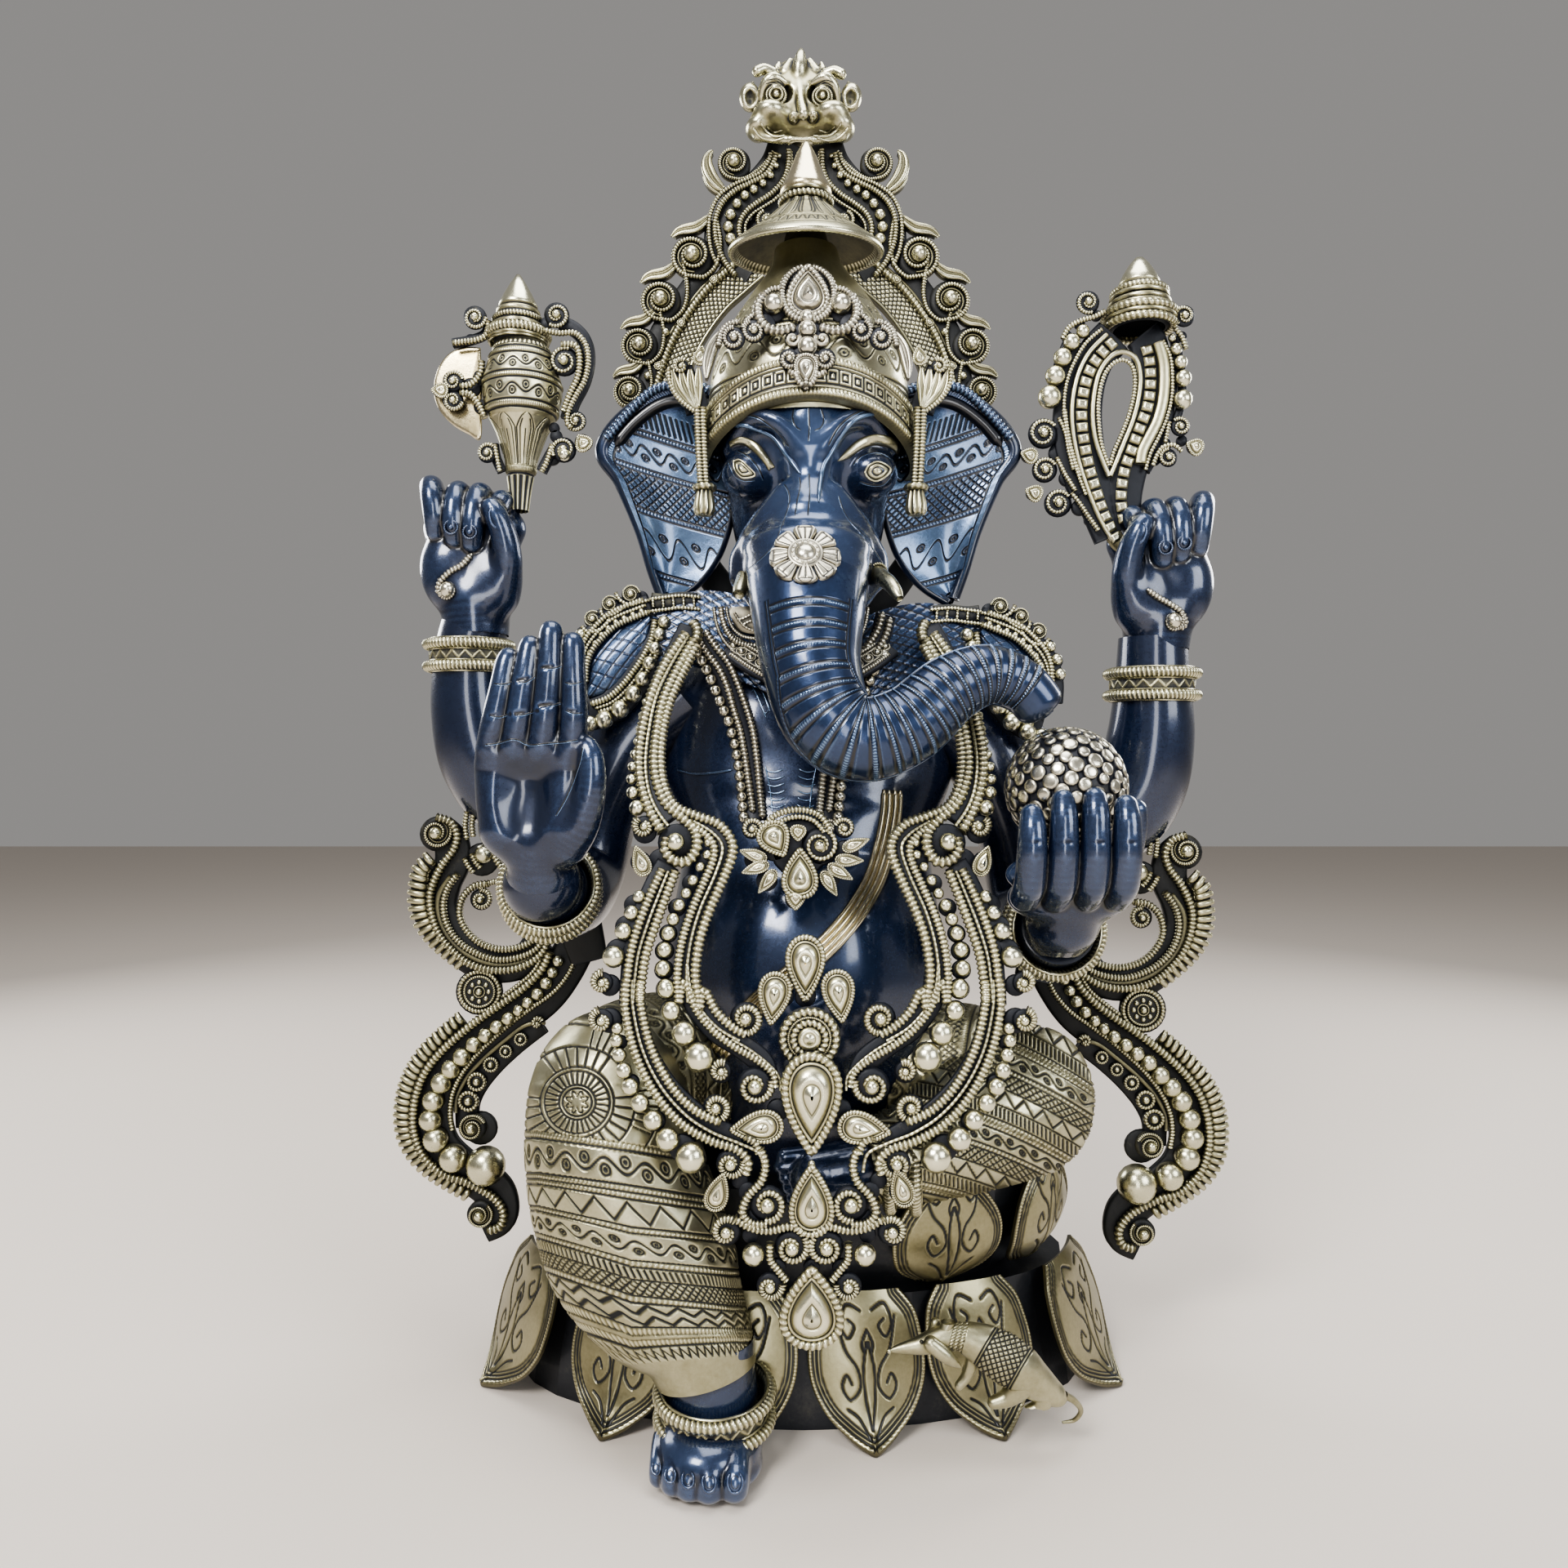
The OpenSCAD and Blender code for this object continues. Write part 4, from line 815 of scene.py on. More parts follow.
PETAL = metal("petal_engraved", (0.50, 0.47, 0.31), (0.20, 0.18, 0.10), (0.006, 0.007, 0.008), rough=(0.26, 0.48), metallic=0.95, coat=0.15, patina_and_occlusion_shade=0.6, bump=0.10, mott=24.0, spread=0.3)
DARKB = metal("dark_base", (0.16, 0.15, 0.12), (0.035, 0.038, 0.045), (0.004, 0.005, 0.008), rough=(0.3, 0.5), metallic=0.8, coat=0.2, patina_and_occlusion_shade=0.4, attr=False, base_wear=0.5)
STEEL = metal("steel_hardware", (0.6, 0.6, 0.6), (0.45, 0.45, 0.45), (0.1, 0.1, 0.1), rough=(0.3, 0.45), patina_and_occlusion_shade=0.3, attr=False)


def cad_look(mat, slot, *names):
    for nm in names:
        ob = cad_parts[nm]
        ob.data.materials.clear()
        ob.data.materials.append(mat)


# ---------------------------------------------------------------- camera, light, floor

cam_data = bpy.data.cameras.new("camera")
cam = bpy.data.objects.new("camera", cam_data)
scene.collection.objects.link(cam)
cam.location = (-0.011, -0.734, 0.381)
cam.rotation_euler = (PI / 2, 0, 0)
cam_data.sensor_width = 36.0
cam_data.lens = 25.3125
cam_data.clip_start = 0.01
scene.camera = cam


def area(name, loc, aim, size, power, colour=(1, 1, 1), size_y=None):
    d = bpy.data.lights.new(name, "AREA")
    d.shape = "RECTANGLE" if size_y else "SQUARE"
    d.size = size
    if size_y:
        d.size_y = size_y
    d.energy = power
    d.color = colour
    o = bpy.data.objects.new(name, d)
    scene.collection.objects.link(o)
    o.location = loc
    o.rotation_euler = (Vector(aim) - Vector(loc)).to_track_quat("-Z", "Y").to_euler()
    return o


area("key", (-0.9, -1.7, 1.9), (0, 0, 0.45), 0.8, 56, (1.0, 0.98, 0.95))
area("fill", (1.5, -1.5, 1.1), (0, 0, 0.4), 1.0, 22, (0.95, 0.98, 1.0))
area("top", (0.1, -0.3, 2.2), (0, 0, 0.4), 1.2, 26)
area("rim_left", (-1.4, 0.9, 1.1), (0, 0, 0.5), 0.8, 16)
area("rim_right", (1.4, 0.9, 1.1), (0, 0, 0.5), 0.8, 16)
area("front_strip", (0.0, -2.2, 0.5), (0, 0, 0.4), 0.4, 12, size_y=1.4)

world = bpy.data.worlds.new("studio")
scene.world = world
world.use_nodes = True
bg = world.node_tree.nodes["Background"]
bg.inputs[0].default_value = (0.80, 0.78, 0.76, 1)
bg.inputs[1].default_value = 0.33

fm = bpy.data.meshes.new("floor")
R_ = 6.0
fm.from_pydata([(-R_, -R_, 0), (R_, -R_, 0), (R_, R_, 0), (-R_, R_, 0)], [], [(0, 1, 2, 3)])
floor = bpy.data.objects.new("floor", fm)
floor.location = (0, 0, float(cad_box[0][2]) - 0.0002 if hasattr(cad_box[0], "__len__") else 0)
scene.collection.objects.link(floor)
fmat = bpy.data.materials.new("floor_plain")
fmat.use_nodes = True
fp = fmat.node_tree.nodes["Principled BSDF"]
fp.inputs["Base Color"].default_value = (0.66, 0.60, 0.54, 1)
fp.inputs["Roughness"].default_value = 0.8
fm.materials.append(fmat)
floor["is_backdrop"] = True
scene.view_settings.view_transform = "AgX"
scene.view_settings.look = "AgX - Medium High Contrast"

# ---------------------------------------------------------------- hanging front ornament


def yd(v):
    return float(np.interp(v, [745, 779, 847, 941, 1035, 1139, 1248, 1356, 1441, 1484, 1660],
                           [-44, -56, -74, -92, -108, -122, -130, -138, -142, -143, -143]))


class Sheet:
    """A drawing sheet: (x, y) at a scale and offset in the frame, lying at depth yf(v)."""

    def __init__(s, u0, v0, k, yf, lift=0.0, fat=1.2):
        s.u0, s.v0, s.k, s.yf, s.lift, s.fat = u0, v0, k, yf, lift, fat

    def p(s, x, y, dy=0.0):
        u, v = s.u0 + x / s.k, s.v0 + y / s.k
        return P(u, v, s.yf(v) - s.lift - dy)

    def mm(s, r, y=None):
        v = s.v0 + (y if y is not None else 0) / s.k
        return r / s.k * (734.0 + s.yf(v)) / 1350.0

    def path(s, rows, dy=0.0):
        out = []
        for q in rows:
            a = list(s.p(q[0], q[1], dy))
            if len(q) > 2:
                a.append(s.mm(q[2], q[1]))
            out.append(a)
        return np.array(out, float)

    def rope(s, m, rows, r=11, dy=2.0, **k):
        if dy > 2.6 and s.fat > 1.5:
            return rope(m, s.path(rows, dy), r=s.mm(r, rows[0][1]) * 0.8, pitch=3.0, n=8, twist=0.0, deep=0.02, **k)
        rr = s.mm(r, rows[0][1]) * s.fat
        return rope(m, s.path(rows, dy), r=rr, pitch=k.pop("pitch", None) or max(2.1, rr * 0.86), n=8, twist=0.12, deep=0.34, **k)

    def strap(s, m, rows, w=20, dy=-1.0, t=1.8, W=0.12):
        return strap(m, s.path(rows, dy), hw=s.mm(w, rows[0][1]), t=t, W=W)

    def beads(s, m, pts, dy=1.5, n=12):
        for x, y, r in pts:
            ball(m, s.p(x, y, dy), s.mm(r, y) * (1.0 if s.fat > 1.5 else 1.22), n, 0.45, 1.0, squash=(1, 0.9, 1))

    def vol(s, m, x, y, r, a0, hand, tail=None, dy=1.5, turns=1.3, milled=True):
        tl = None if tail is None else [s.p(q[0], q[1], dy) for q in tail]
        return volute(m, s.p(x, y, dy), s.mm(r, y), a0, hand, turns * (0.8 if s.fat > 1.5 else 1.0), tail=tl, thick=s.mm(11, y) * s.fat * 0.9, milled=milled, boss=0.36 if s.fat > 1.5 else 0.3)

    def drop(s, m, x, y, w, h, ang=0.0, dy=2.0):
        return teardrop(m, s.p(x, y, dy), s.mm(w, y), s.mm(h, y), ang)

    def plate(s, m, pts, dy=-1.5, r=30):
        for x, y, q in pts:
            lathe(m, [[0, -1.5, .1], [s.mm(q), -1.5, .1], [s.mm(q), 0.6, .12], [s.mm(q) * .9, 1.2, .1], [0, 1.2, .08]], s.p(x, y, dy), (0, -1, 0), 20)


S1 = Sheet(740, 720, 3.015, yd, fat=1.85)
S2 = Sheet(740, 1160, 3.015, yd, fat=1.85)


def shift(rows, dv):
    """Rows of sheet one written on sheet two."""
    return [(r[0], r[1] + dv) + tuple(r[2:]) for r in rows]


DV = 440 * 3.015


def build_drape():
    m = M()
    # shoulder strap: backing, three ropes
    mid = [(318, 150), (262, 260), (212, 380), (182, 500), (166, 620), (172, 720), (196, 800), (236, 868)]
    S1.strap(m, mid, 44, dy=-1.5, t=2.2)
    S1.rope(m, [(300, 172), (225, 280), (172, 400), (140, 520), (128, 640), (140, 740), (172, 830), (214, 900)], 12)
    S1.rope(m, [(312, 176), (243, 290), (192, 400), (165, 520), (152, 640), (162, 740), (192, 818), (236, 880)], 9, dy=2.8)
    S1.rope(m, [(330, 196), (272, 300), (220, 410), (196, 520), (184, 640), (198, 730), (232, 800), (290, 850), (336, 900), (340, 960), (306, 1008), (256, 1006), (226, 968), (232, 926)], 12)
    ball(m, S1.p(262, 938, 3.0), S1.mm(32), 14, .5, 1)
    S1.rope(m, [(340, 215), (288, 316), (242, 420), (216, 530), (208, 640), (222, 736), (262, 806), (340, 842), (420, 872), (468, 930), (470, 990), (436, 1080), (388, 1190), (352, 1300), (336, 1420), (345, 1500)], 11)
    # arched join over the shoulder
    S1.rope(m, [(330, 130), (345, 160), (338, 200)], 12)
    S1.beads(m, [(152, 420, 14), (140, 470, 15), (130, 520, 15), (122, 568, 16), (112, 614, 18), (104, 660, 19), (100, 706, 20), (104, 756, 24), (120, 812, 30)])
    S1.vol(m, 148, 880, 44, 2.2, 1, turns=1.1)
    S1.drop(m, 134, 1006, 66, 120, -0.35)
    S1.plate(m, [(268, 940, 64), (150, 900, 40), (134, 1010, 34), (210, 1010, 44)])
    # inner lyre band, two ropes on a backing, ending in volutes
    S1.strap(m, [(330, 862), (400, 905), (436, 960), (408, 1060), (352, 1190), (318, 1310), (304, 1430), (308, 1530)] + [], 44, dy=-1.5)
    S2.strap(m, [(308, 120), (340, 210), (410, 300), (500, 360), (576, 420), (600, 480)], 44, dy=-1.5)
    S2.strap(m, [(304, 1430 - DV), (306, 60), (318, 150)], 44, dy=-1.5)
    inner_r = shift([(345, 1470), (352, 1560)], -DV) + [(368, 160), (412, 236), (470, 292), (524, 322)]
    S2.rope(m, inner_r, 11)
    S2.vol(m, 522, 262, 66, -1.45, 1, turns=1.35)
    S1.rope(m, [(318, 872), (372, 910), (404, 952), (400, 1010), (362, 1100), (316, 1210), (284, 1320), (270, 1440), (276, 1530)], 10)
    S2.rope(m, shift([(270, 1440), (276, 1530)], -DV) + [(296, 130), (338, 226), (402, 306), (480, 366), (560, 412), (620, 462), (634, 516)], 10)
    S2.rope(m, [(470, 340), (540, 380), (604, 430), (646, 480), (650, 530)], 7, dy=3.0)
    S2.vol(m, 556, 512, 76, 0.35, -1, turns=1.35)
    S1.rope(m, [(330, 862), (400, 905), (436, 960), (408, 1060), (352, 1190), (318, 1310), (304, 1430), (308, 1530)], 8, dy=2.8)
    S2.rope(m, [(304, 1430 - DV), (306, 60), (318, 150), (358, 232), (422, 300), (500, 346)], 8, dy=2.8)
    # bead row between the bands
    S1.beads(m, [(384, 940, 17), (380, 985, 18), (354, 1030, 18), (327, 1080, 21), (302, 1128, 21), (276, 1172, 24), (254, 1224, 25), (236, 1276, 28), (222, 1336, 30), (216, 1404, 31), (226, 1474, 33)])
    S2.beads(m, [(246, 235, 38), (294, 318, 47), (350, 406, 57), (228, 155, 35)])
    S2.vol(m, 432, 458, 42, 1.2, 1, turns=1.2)
    # outer lyre band
    S1.strap(m, [(236, 1020), (196, 1090), (150, 1200), (118, 1320), (104, 1440), (100, 1540)], 44, dy=-1.5)
    S2.strap(m, [(104, 1440 - DV), (101, 100), (110, 220), (148, 370), (222, 500), (318, 600), (420, 670), (500, 720)], 40, dy=-1.5)
    S1.rope(m, [(214, 1040), (176, 1120), (132, 1230), (100, 1340), (84, 1450), (78, 1530)], 11)
    S1.rope(m, [(236, 1046), (202, 1130), (160, 1240), (126, 1350), (112, 1450), (106, 1530)], 8, dy=2.8)
    S1.rope(m, [(262, 1046), (230, 1130), (190, 1240), (154, 1350), (138, 1450), (132, 1530)], 11)
    o = [(84, 1450 - DV), (78, 1530 - DV)]
    S2.rope(m, [(80, 120), (76, 210), (108, 370), (176, 520), (276, 642), (390, 712), (486, 744), (530, 790), (520, 840)], 11)
    S2.rope(m, [(104, 120), (104, 210), (138, 370), (206, 510), (300, 618), (400, 684), (500, 724), (572, 762), (590, 830)], 8, dy=2.8)
    S2.rope(m, [(132, 120), (134, 210), (172, 370), (246, 510), (334, 600), (430, 646)], 11)
    S2.vol(m, 466, 800, 60, 0.3, -1, turns=1.3)
    S2.vol(m, 412, 592, 54, -1.0, 1, turns=1.3)
    S1.beads(m, [(128, 1140, 25), (100, 1200, 29), (70, 1268, 33), (34, 1362, 42)])
    S2.beads(m, [(48, 300, 22), (45, 345, 25), (56, 398, 27), (72, 455, 31), (96, 515, 33), (132, 575, 35), (180, 638, 38), (234, 708, 45), (320, 776, 58)])
    # small curls and a drop on the outer side
    S2.vol(m, -8, 130, 44, 1.5, 1, turns=1.2)
    S2.vol(m, -10, 270, 48, 1.8, 1, turns=1.2)
    S2.plate(m, [(20, 140, 40), (20, 270, 46), (60, 350, 26), (100, 500, 30), (190, 640, 36), (290, 740, 50), (350, 400, 50), (300, 320, 40), (240, 230, 34), (430, 460, 40), (466, 800, 50), (412, 600, 46), (556, 512, 60)])
    S1.plate(m, [(236, 1276, 30), (222, 1340, 32), (220, 1410, 32), (228, 1480, 34), (110, 1170, 34), (80, 1250, 36), (50, 1340, 40), (268, 1180, 30), (320, 1090, 30), (370, 1010, 30)])
    return m


def build_centre():
    m = M()
    c = 765
    S = S2
    S.drop(m, 742, 80, 140, 250, PI)
    for sgn, x, y, a in ((-1, 626, 190, PI + 0.12), (1, 866, 182, PI - 0.12)):
        S.drop(m, x, y, 118, 200, a)
    # rosette
    ctr = S.p(757, 335, 2)
    R = S.mm(112)
    lathe(m, [[0, -3, .1], [R, -3, .1], [R * 1.02, 0, .2], [R * .8, .6, .12], [0, .6, .1]], ctr, (0, -1, 0), 40)
    milled_ring(m, ctr + np.array([0, -1.0, 0]), R * .86, R * .15, (0, -1, 0), deep=.4)
    milled_ring(m, ctr + np.array([0, -1.8, 0]), R * .52, R * .13, (0, -1, 0), deep=.4)
    milled_ring(m, ctr + np.array([0, -1.2, 0]), R * .68, R * .05, (0, -1, 0), deep=.2)
    lathe(m, [[R * .4, 0, .2], [R * .38, 2.6, .7], [R * .25, 3.4, .9], [R * .2, 3.0, .4], [R * .15, 3.6, .9], [0, 4.4, 1]], ctr, (0, -1, 0), 24)
    S.drop(m, c, 580, 214, 380, PI)
    S.drop(m, 560, 664, 120, 200, -PI / 2 - 0.1)
    S.drop(m, 962, 668, 120, 200, PI / 2 + 0.15)
    S.drop(m, 765, 930, 160, 270, 0)
    S.drop(m, 420, 900, 84, 150, 0.3)
    S.drop(m, 1096, 884, 84, 150, -0.3)
    for s, f in ((1, lambda x: x), (-1, lambda x: 1512 - x)):
        q = lambda rows: [(f(r[0]), r[1]) for r in rows]
        S.rope(m, q([(575, 742), (594, 800), (580, 862), (530, 920), (510, 980), (544, 1020), (600, 1024)]), 10)
        S.rope(m, q([(520, 700), (556, 720), (572, 760)]), 10)
        a0 = -PI / 2 if s == 1 else -PI / 2
        S.vol(m, f(602), 948, 76, -1.7 if s == 1 else PI + 1.7, s, turns=1.25)
        S.vol(m, f(450), 1050, 60, 0.9 if s == 1 else PI - 0.9, s, turns=1.2)
        S.rope(m, q([(480, 1000), (540, 1034), (610, 1046), (690, 1030), (740, 1060)]), 10)
        S.vol(m, f(692), 1108, 72, 0.7 if s == 1 else PI - 0.7, -s, turns=1.35)
        S.rope(m, q([(612, 1090), (612, 1150), (640, 1190), (672, 1230)]), 9)
        S.vol(m, f(612), 1252, 56, 0.2 if s == 1 else PI - 0.2, -s, turns=1.15)
        ball(m, S.p(f(550), 1134, 3), S.mm(40), 14, .5, 1)
        S.plate(m, [(f(600), 950, 64), (f(450), 1052, 48), (f(692), 1108, 56), (f(612), 1252, 46), (f(550), 1134, 36), (f(640), 1180, 30),
                    (f(560), 1000, 40), (f(560), 664, 50), (f(420), 900, 40), (f(500), 860, 30), (f(530), 900, 34), (f(540), 1060, 30),
                    (f(590), 780, 16), (f(640), 600, 40), (f(700), 440, 40), (f(660), 180, 40)])
    S.plate(m, [(760, 1050, 40), (765, 1180, 30), (757, 340, 90), (765, 500, 70), (765, 640, 40), (742, 180, 40), (765, 930, 60)])
    S.drop(m, 765, 1322, 226, 300, 0)
    ball(m, S.p(765, 800, 3), S.mm(14), 8, .4, .9)
    return m


def build_belly_pendant():
    m = M()
    S = Sheet(740, 720, 3.015, lambda v: -104.0)
    S.plate(m, [(720, 960, 110), (630, 950, 60), (800, 960, 66), (720, 1080, 60), (560, 1000, 44), (890, 980, 50), (600, 1080, 40), (830, 1070, 40), (700, 1150, 34)], dy=-2)
    S.rope(m, [(585, 890), (630, 840), (710, 818), (790, 836), (834, 890)], 13)
    S.rope(m, [(604, 904), (650, 862), (712, 844), (772, 858), (812, 900)], 10)
    S.drop(m, 632, 930, 118, 140, PI - 0.5)
    S.vol(m, 795, 950, 74, 1.2, -1, turns=1.4)
    S.drop(m, 722, 1052, 130, 190, 0.0)
    S.drop(m, 706, 1150, 70, 80, PI)
    S.drop(m, 715, 905, 60, 60, PI)
    S.vol(m, 545, 890, 42, 0.3, 1, turns=1.2)
    S.vol(m, 886, 886, 42, 2.8, -1, turns=1.2)
    for x, y, a in ((548, 985, -1.25), (556, 1035, -1.9), (600, 1085, -2.5), (930, 945, 1.2), (906, 1005, 1.6), (872, 1050, 2.1), (832, 1092, 2.6)):
        S.drop(m, x, y, 46, 110, a)
    return m

# ---------------------------------------------------------------- drawing on surfaces

from mathutils.bvhtree import BVHTree

CAM = np.array([-11.0, -734.0, 381.0])


class Caster:
    """Finds where the line of sight through (u, v) meets the given meshes."""

    def __init__(s, *ms):
        Vs, Ps, n = [], [], 0
        for m in ms:
            V, Q, T, _ = m.cat()
            Vs.append(V)
            Ps += [tuple(q) for q in (Q + n).tolist()] + [tuple(q) for q in (T + n).tolist()]
            n += len(V)
        s.t = BVHTree.FromPolygons([tuple(v) for v in np.concatenate(Vs).tolist()], Ps)

    def hit(s, u, v, lift=0.0):
        d = P(u, v, 0.0) - CAM
        d = d / np.linalg.norm(d)
        loc, nor, _, _ = s.t.ray_cast(Vector(CAM), Vector(d))
        if loc is None:
            return None, None
        n = np.array(nor)
        if n @ d > 0:
            n = -n
        return np.array(loc) + n * lift, n

    def ray(s, o, d, lift=0.0):
        loc, nor, _, _ = s.t.ray_cast(Vector(o), Vector(d))
        if loc is None:
            return None, None
        n = np.array(nor)
        if n @ np.asarray(d) > 0:
            n = -n
        return np.array(loc) + n * lift, n

    def line(s, uv, lift=0.0, step=1.5, jump=12.0):
        """Photo-frame polyline laid on the surface: list of (points, normals) runs."""
        C, _ = curve([(a[0], a[1], 0.0) for a in uv], step)
        runs, cur = [], []
        for a in C:
            p, n = s.hit(a[0], a[1], lift)
            if p is None or (cur and np.linalg.norm(p - cur[-1][0]) > jump):
                if len(cur) > 3:
                    runs.append(cur)
                cur = []
                if p is None:
                    continue
            cur.append((p, n))
        if len(cur) > 3:
            runs.append(cur)
        out = []
        for r in runs:
            A = np.array([q[0] for q in r])
            N = np.array([q[1] for q in r])
            for _ in range(3):
                A[1:-1] = 0.25 * A[:-2] + 0.5 * A[1:-1] + 0.25 * A[2:]
                N[1:-1] = 0.25 * N[:-2] + 0.5 * N[1:-1] + 0.25 * N[2:]
            out.append((A, unit(N)))
        return out


def path_sweep(m, A, N, r, n=6, W=0.5, flat=1.0, taper=2.0, kind=None, pitch=None, deep=0.3):
    """Small bar along points A with up directions N, sampled as given."""
    seg = np.linalg.norm(np.diff(A, axis=0), axis=1)
    s = np.concatenate([[0], np.cumsum(seg)])
    if s[-1] < 1.0:
        return m
    step = (pitch / 4.0) if kind == "rope" else max(0.5, min(1.2, s[-1] / 6))
    k = max(4, int(s[-1] / step) + 1)
    q = np.linspace(0, s[-1], k)
    C = np.stack([np.interp(q, s, A[:, j]) for j in range(3)], 1)
    F = unit(np.stack([np.interp(q, s, N[:, j]) for j in range(3)], 1))
    e = np.minimum(q, s[-1] - q)
    R = r * np.sqrt(np.clip(e / taper, 0.05, 1)) if taper else np.full(k, float(r))
    ph = np.linspace(0, 2 * PI, n, endpoint=False)
    if kind == "rope":
        g = np.cos(0.25 * ph[None] - 2 * PI * q[:, None] / pitch)
        g = np.sign(g) * np.abs(g) ** 0.7
        rad = R[:, None] * (1 - deep / 2 + deep / 2 * g)
        Wv = (0.3 + 0.62 * (0.5 + 0.5 * g)) * (0.55 + 0.45 * np.clip(np.sin(ph)[None] + 0.35, 0, 1))
    else:
        rad = np.repeat(R[:, None], n, 1)
        Wv = W
    return sweep(m, C, rad * np.cos(ph), rad * np.sin(ph) * flat, F, Wv)


def engrave(m, cs, uv, w=0.5, bright=True):
    """Cut line: a dark thread in the face with a lit lip beside it."""
    for A, N in cs.line(uv):
        path_sweep(m, A - N * 0.12, N, w, 5, 0.0, 0.8)
        if bright:
            t = unit(np.gradient(A, axis=0))
            side = np.cross(t, N)
            sgn = np.where(side[:, 2] < 0, 1.0, -1.0)[:, None]
            path_sweep(m, A + side * sgn * w * 1.35 - N * 0.05, N, w * 0.55, 5, 0.85, 0.9)
    return m


def ridge(m, cs, uv, r=0.9, W=0.8, lift=0.2, **k):
    for A, N in cs.line(uv, lift):
        path_sweep(m, A, N, r, 8, W, **k)
    return m


def surf_rope(m, cs, uv, r=1.6, lift=0.8, pitch=None, n=8):
    for A, N in cs.line(uv, lift):
        path_sweep(m, A, N, r, n, 0.5, kind="rope", pitch=pitch or r * 1.1)
    return m


def surf_beads(m, cs, uv, r=2.0, lift=0.6, gap=1.05, n=10):
    for A, N in cs.line(uv, lift):
        seg = np.linalg.norm(np.diff(A, axis=0), axis=1)
        s = np.concatenate([[0], np.cumsum(seg)])
        p = r
        while p < s[-1]:
            c = np.array([np.interp(p, s, A[:, j]) for j in range(3)])
            ball(m, c, r, n, .4, 1.0)
            p += 2 * r * gap
    return m


# ---------------------------------------------------------------- head and trunk

HEAD = [(5, 4, 512, 32, 28), (5, -6, 536, 46, 42), (5, -14, 564, 55, 52), (5, -18, 592, 60, 56), (5, -18, 622, 61, 56), (5, -16, 648, 54, 50)]
TRUNK = [(4, -52, 556, 42, 24), (3, -74, 522, 38, 30), (3, -92, 482, 33, 31), (5, -106, 446, 28, 28), (14, -114, 418, 26, 26), (33, -117, 406, 24, 24),
         (58, -116, 414, 22, 22), (82, -111, 434, 19.5, 19.5), (105, -106, 443, 17, 17), (126, -103, 436, 15, 15), (139, -102, 421, 13.5, 13.5)]


def build_head():
    v = Vol((-64, -128, 470), (74, 52, 668), 1.15)
    for x, y, z, a, b in HEAD:
        pass
    # skull, brow and temples
    v.ell((5, -14, 604), (59, 57, 60), 4)
    v.ell((5, -8, 556), (50, 44, 54), 14)
    v.ell((5, -26, 640), (50, 42, 30), 12)
    # flat front between the brows, and the brow arches
    for s in (-1, 1):
        v.chain([(5 + s * 6, -74, 583, 3), (5 + s * 20, -73, 598, 5), (5 + s * 36, -64, 602, 5), (5 + s * 50, -44, 590, 4)], 9)
        # eye ball and lids
        v.ell((5 + s * 38, -46, 574), (17, 18, 15), 5)
        # hollows under the eyes and beside the trunk root
        v.ell((5 + s * 36, -74, 545), (14, 15, 24), 9, cut=True)
        v.ell((5 + s * 20, -86, 566), (9, 9, 16), 8, cut=True)
    # root of the trunk
    v.chain([(5, -58, 606, 15), (5, -62, 585, 14), (4.5, -64, 562, 15), (4, -66, 544, 20)], 12)
    v.ell((4, -66, 530), (34, 22, 24), 14)
    for z0, y0, a, b in ((522, -74, 38, 29), (510, -78, 37, 30), (498, -85, 35.5, 30.5), (486, -90, 33.8, 31)):
        v.ell((3, y0, z0), (a, b, 16), 8)
    # lip folds where the tusks come out
    for s in (-1, 1):
        v.chain([(4 + s * 16, -70, 556, 5), (4 + s * 27, -68, 540, 7), (4 + s * 36, -62, 524, 9), (4 + s * 37, -60, 510, 10), (4 + s * 30, -66, 494, 8)], 8)
        v.chain([(4 + s * 40, -58, 518, 7), (4 + s * 40, -56, 508, 8)], 6)
    v.ell((5, -36, 504), (34, 30, 20), 10)
    V, Q = v.mesh(2)
    k = V[:, 2] > 474
    W = np.full(len(V), 0.55)
    # rubbed along the brow and the trunk root, dark in the hollows
    W += 0.25 * np.exp(-((V[:, 0] - 5) / 24) ** 2) * (V[:, 1] < -50)
    m = M()
    m.add(V, Q, None, W)
    return m


def U(X, Y):
    return 830 + X / 4.752, 440 + Y / 4.752


def fq(rows):
    return [U(*r) for r in rows]


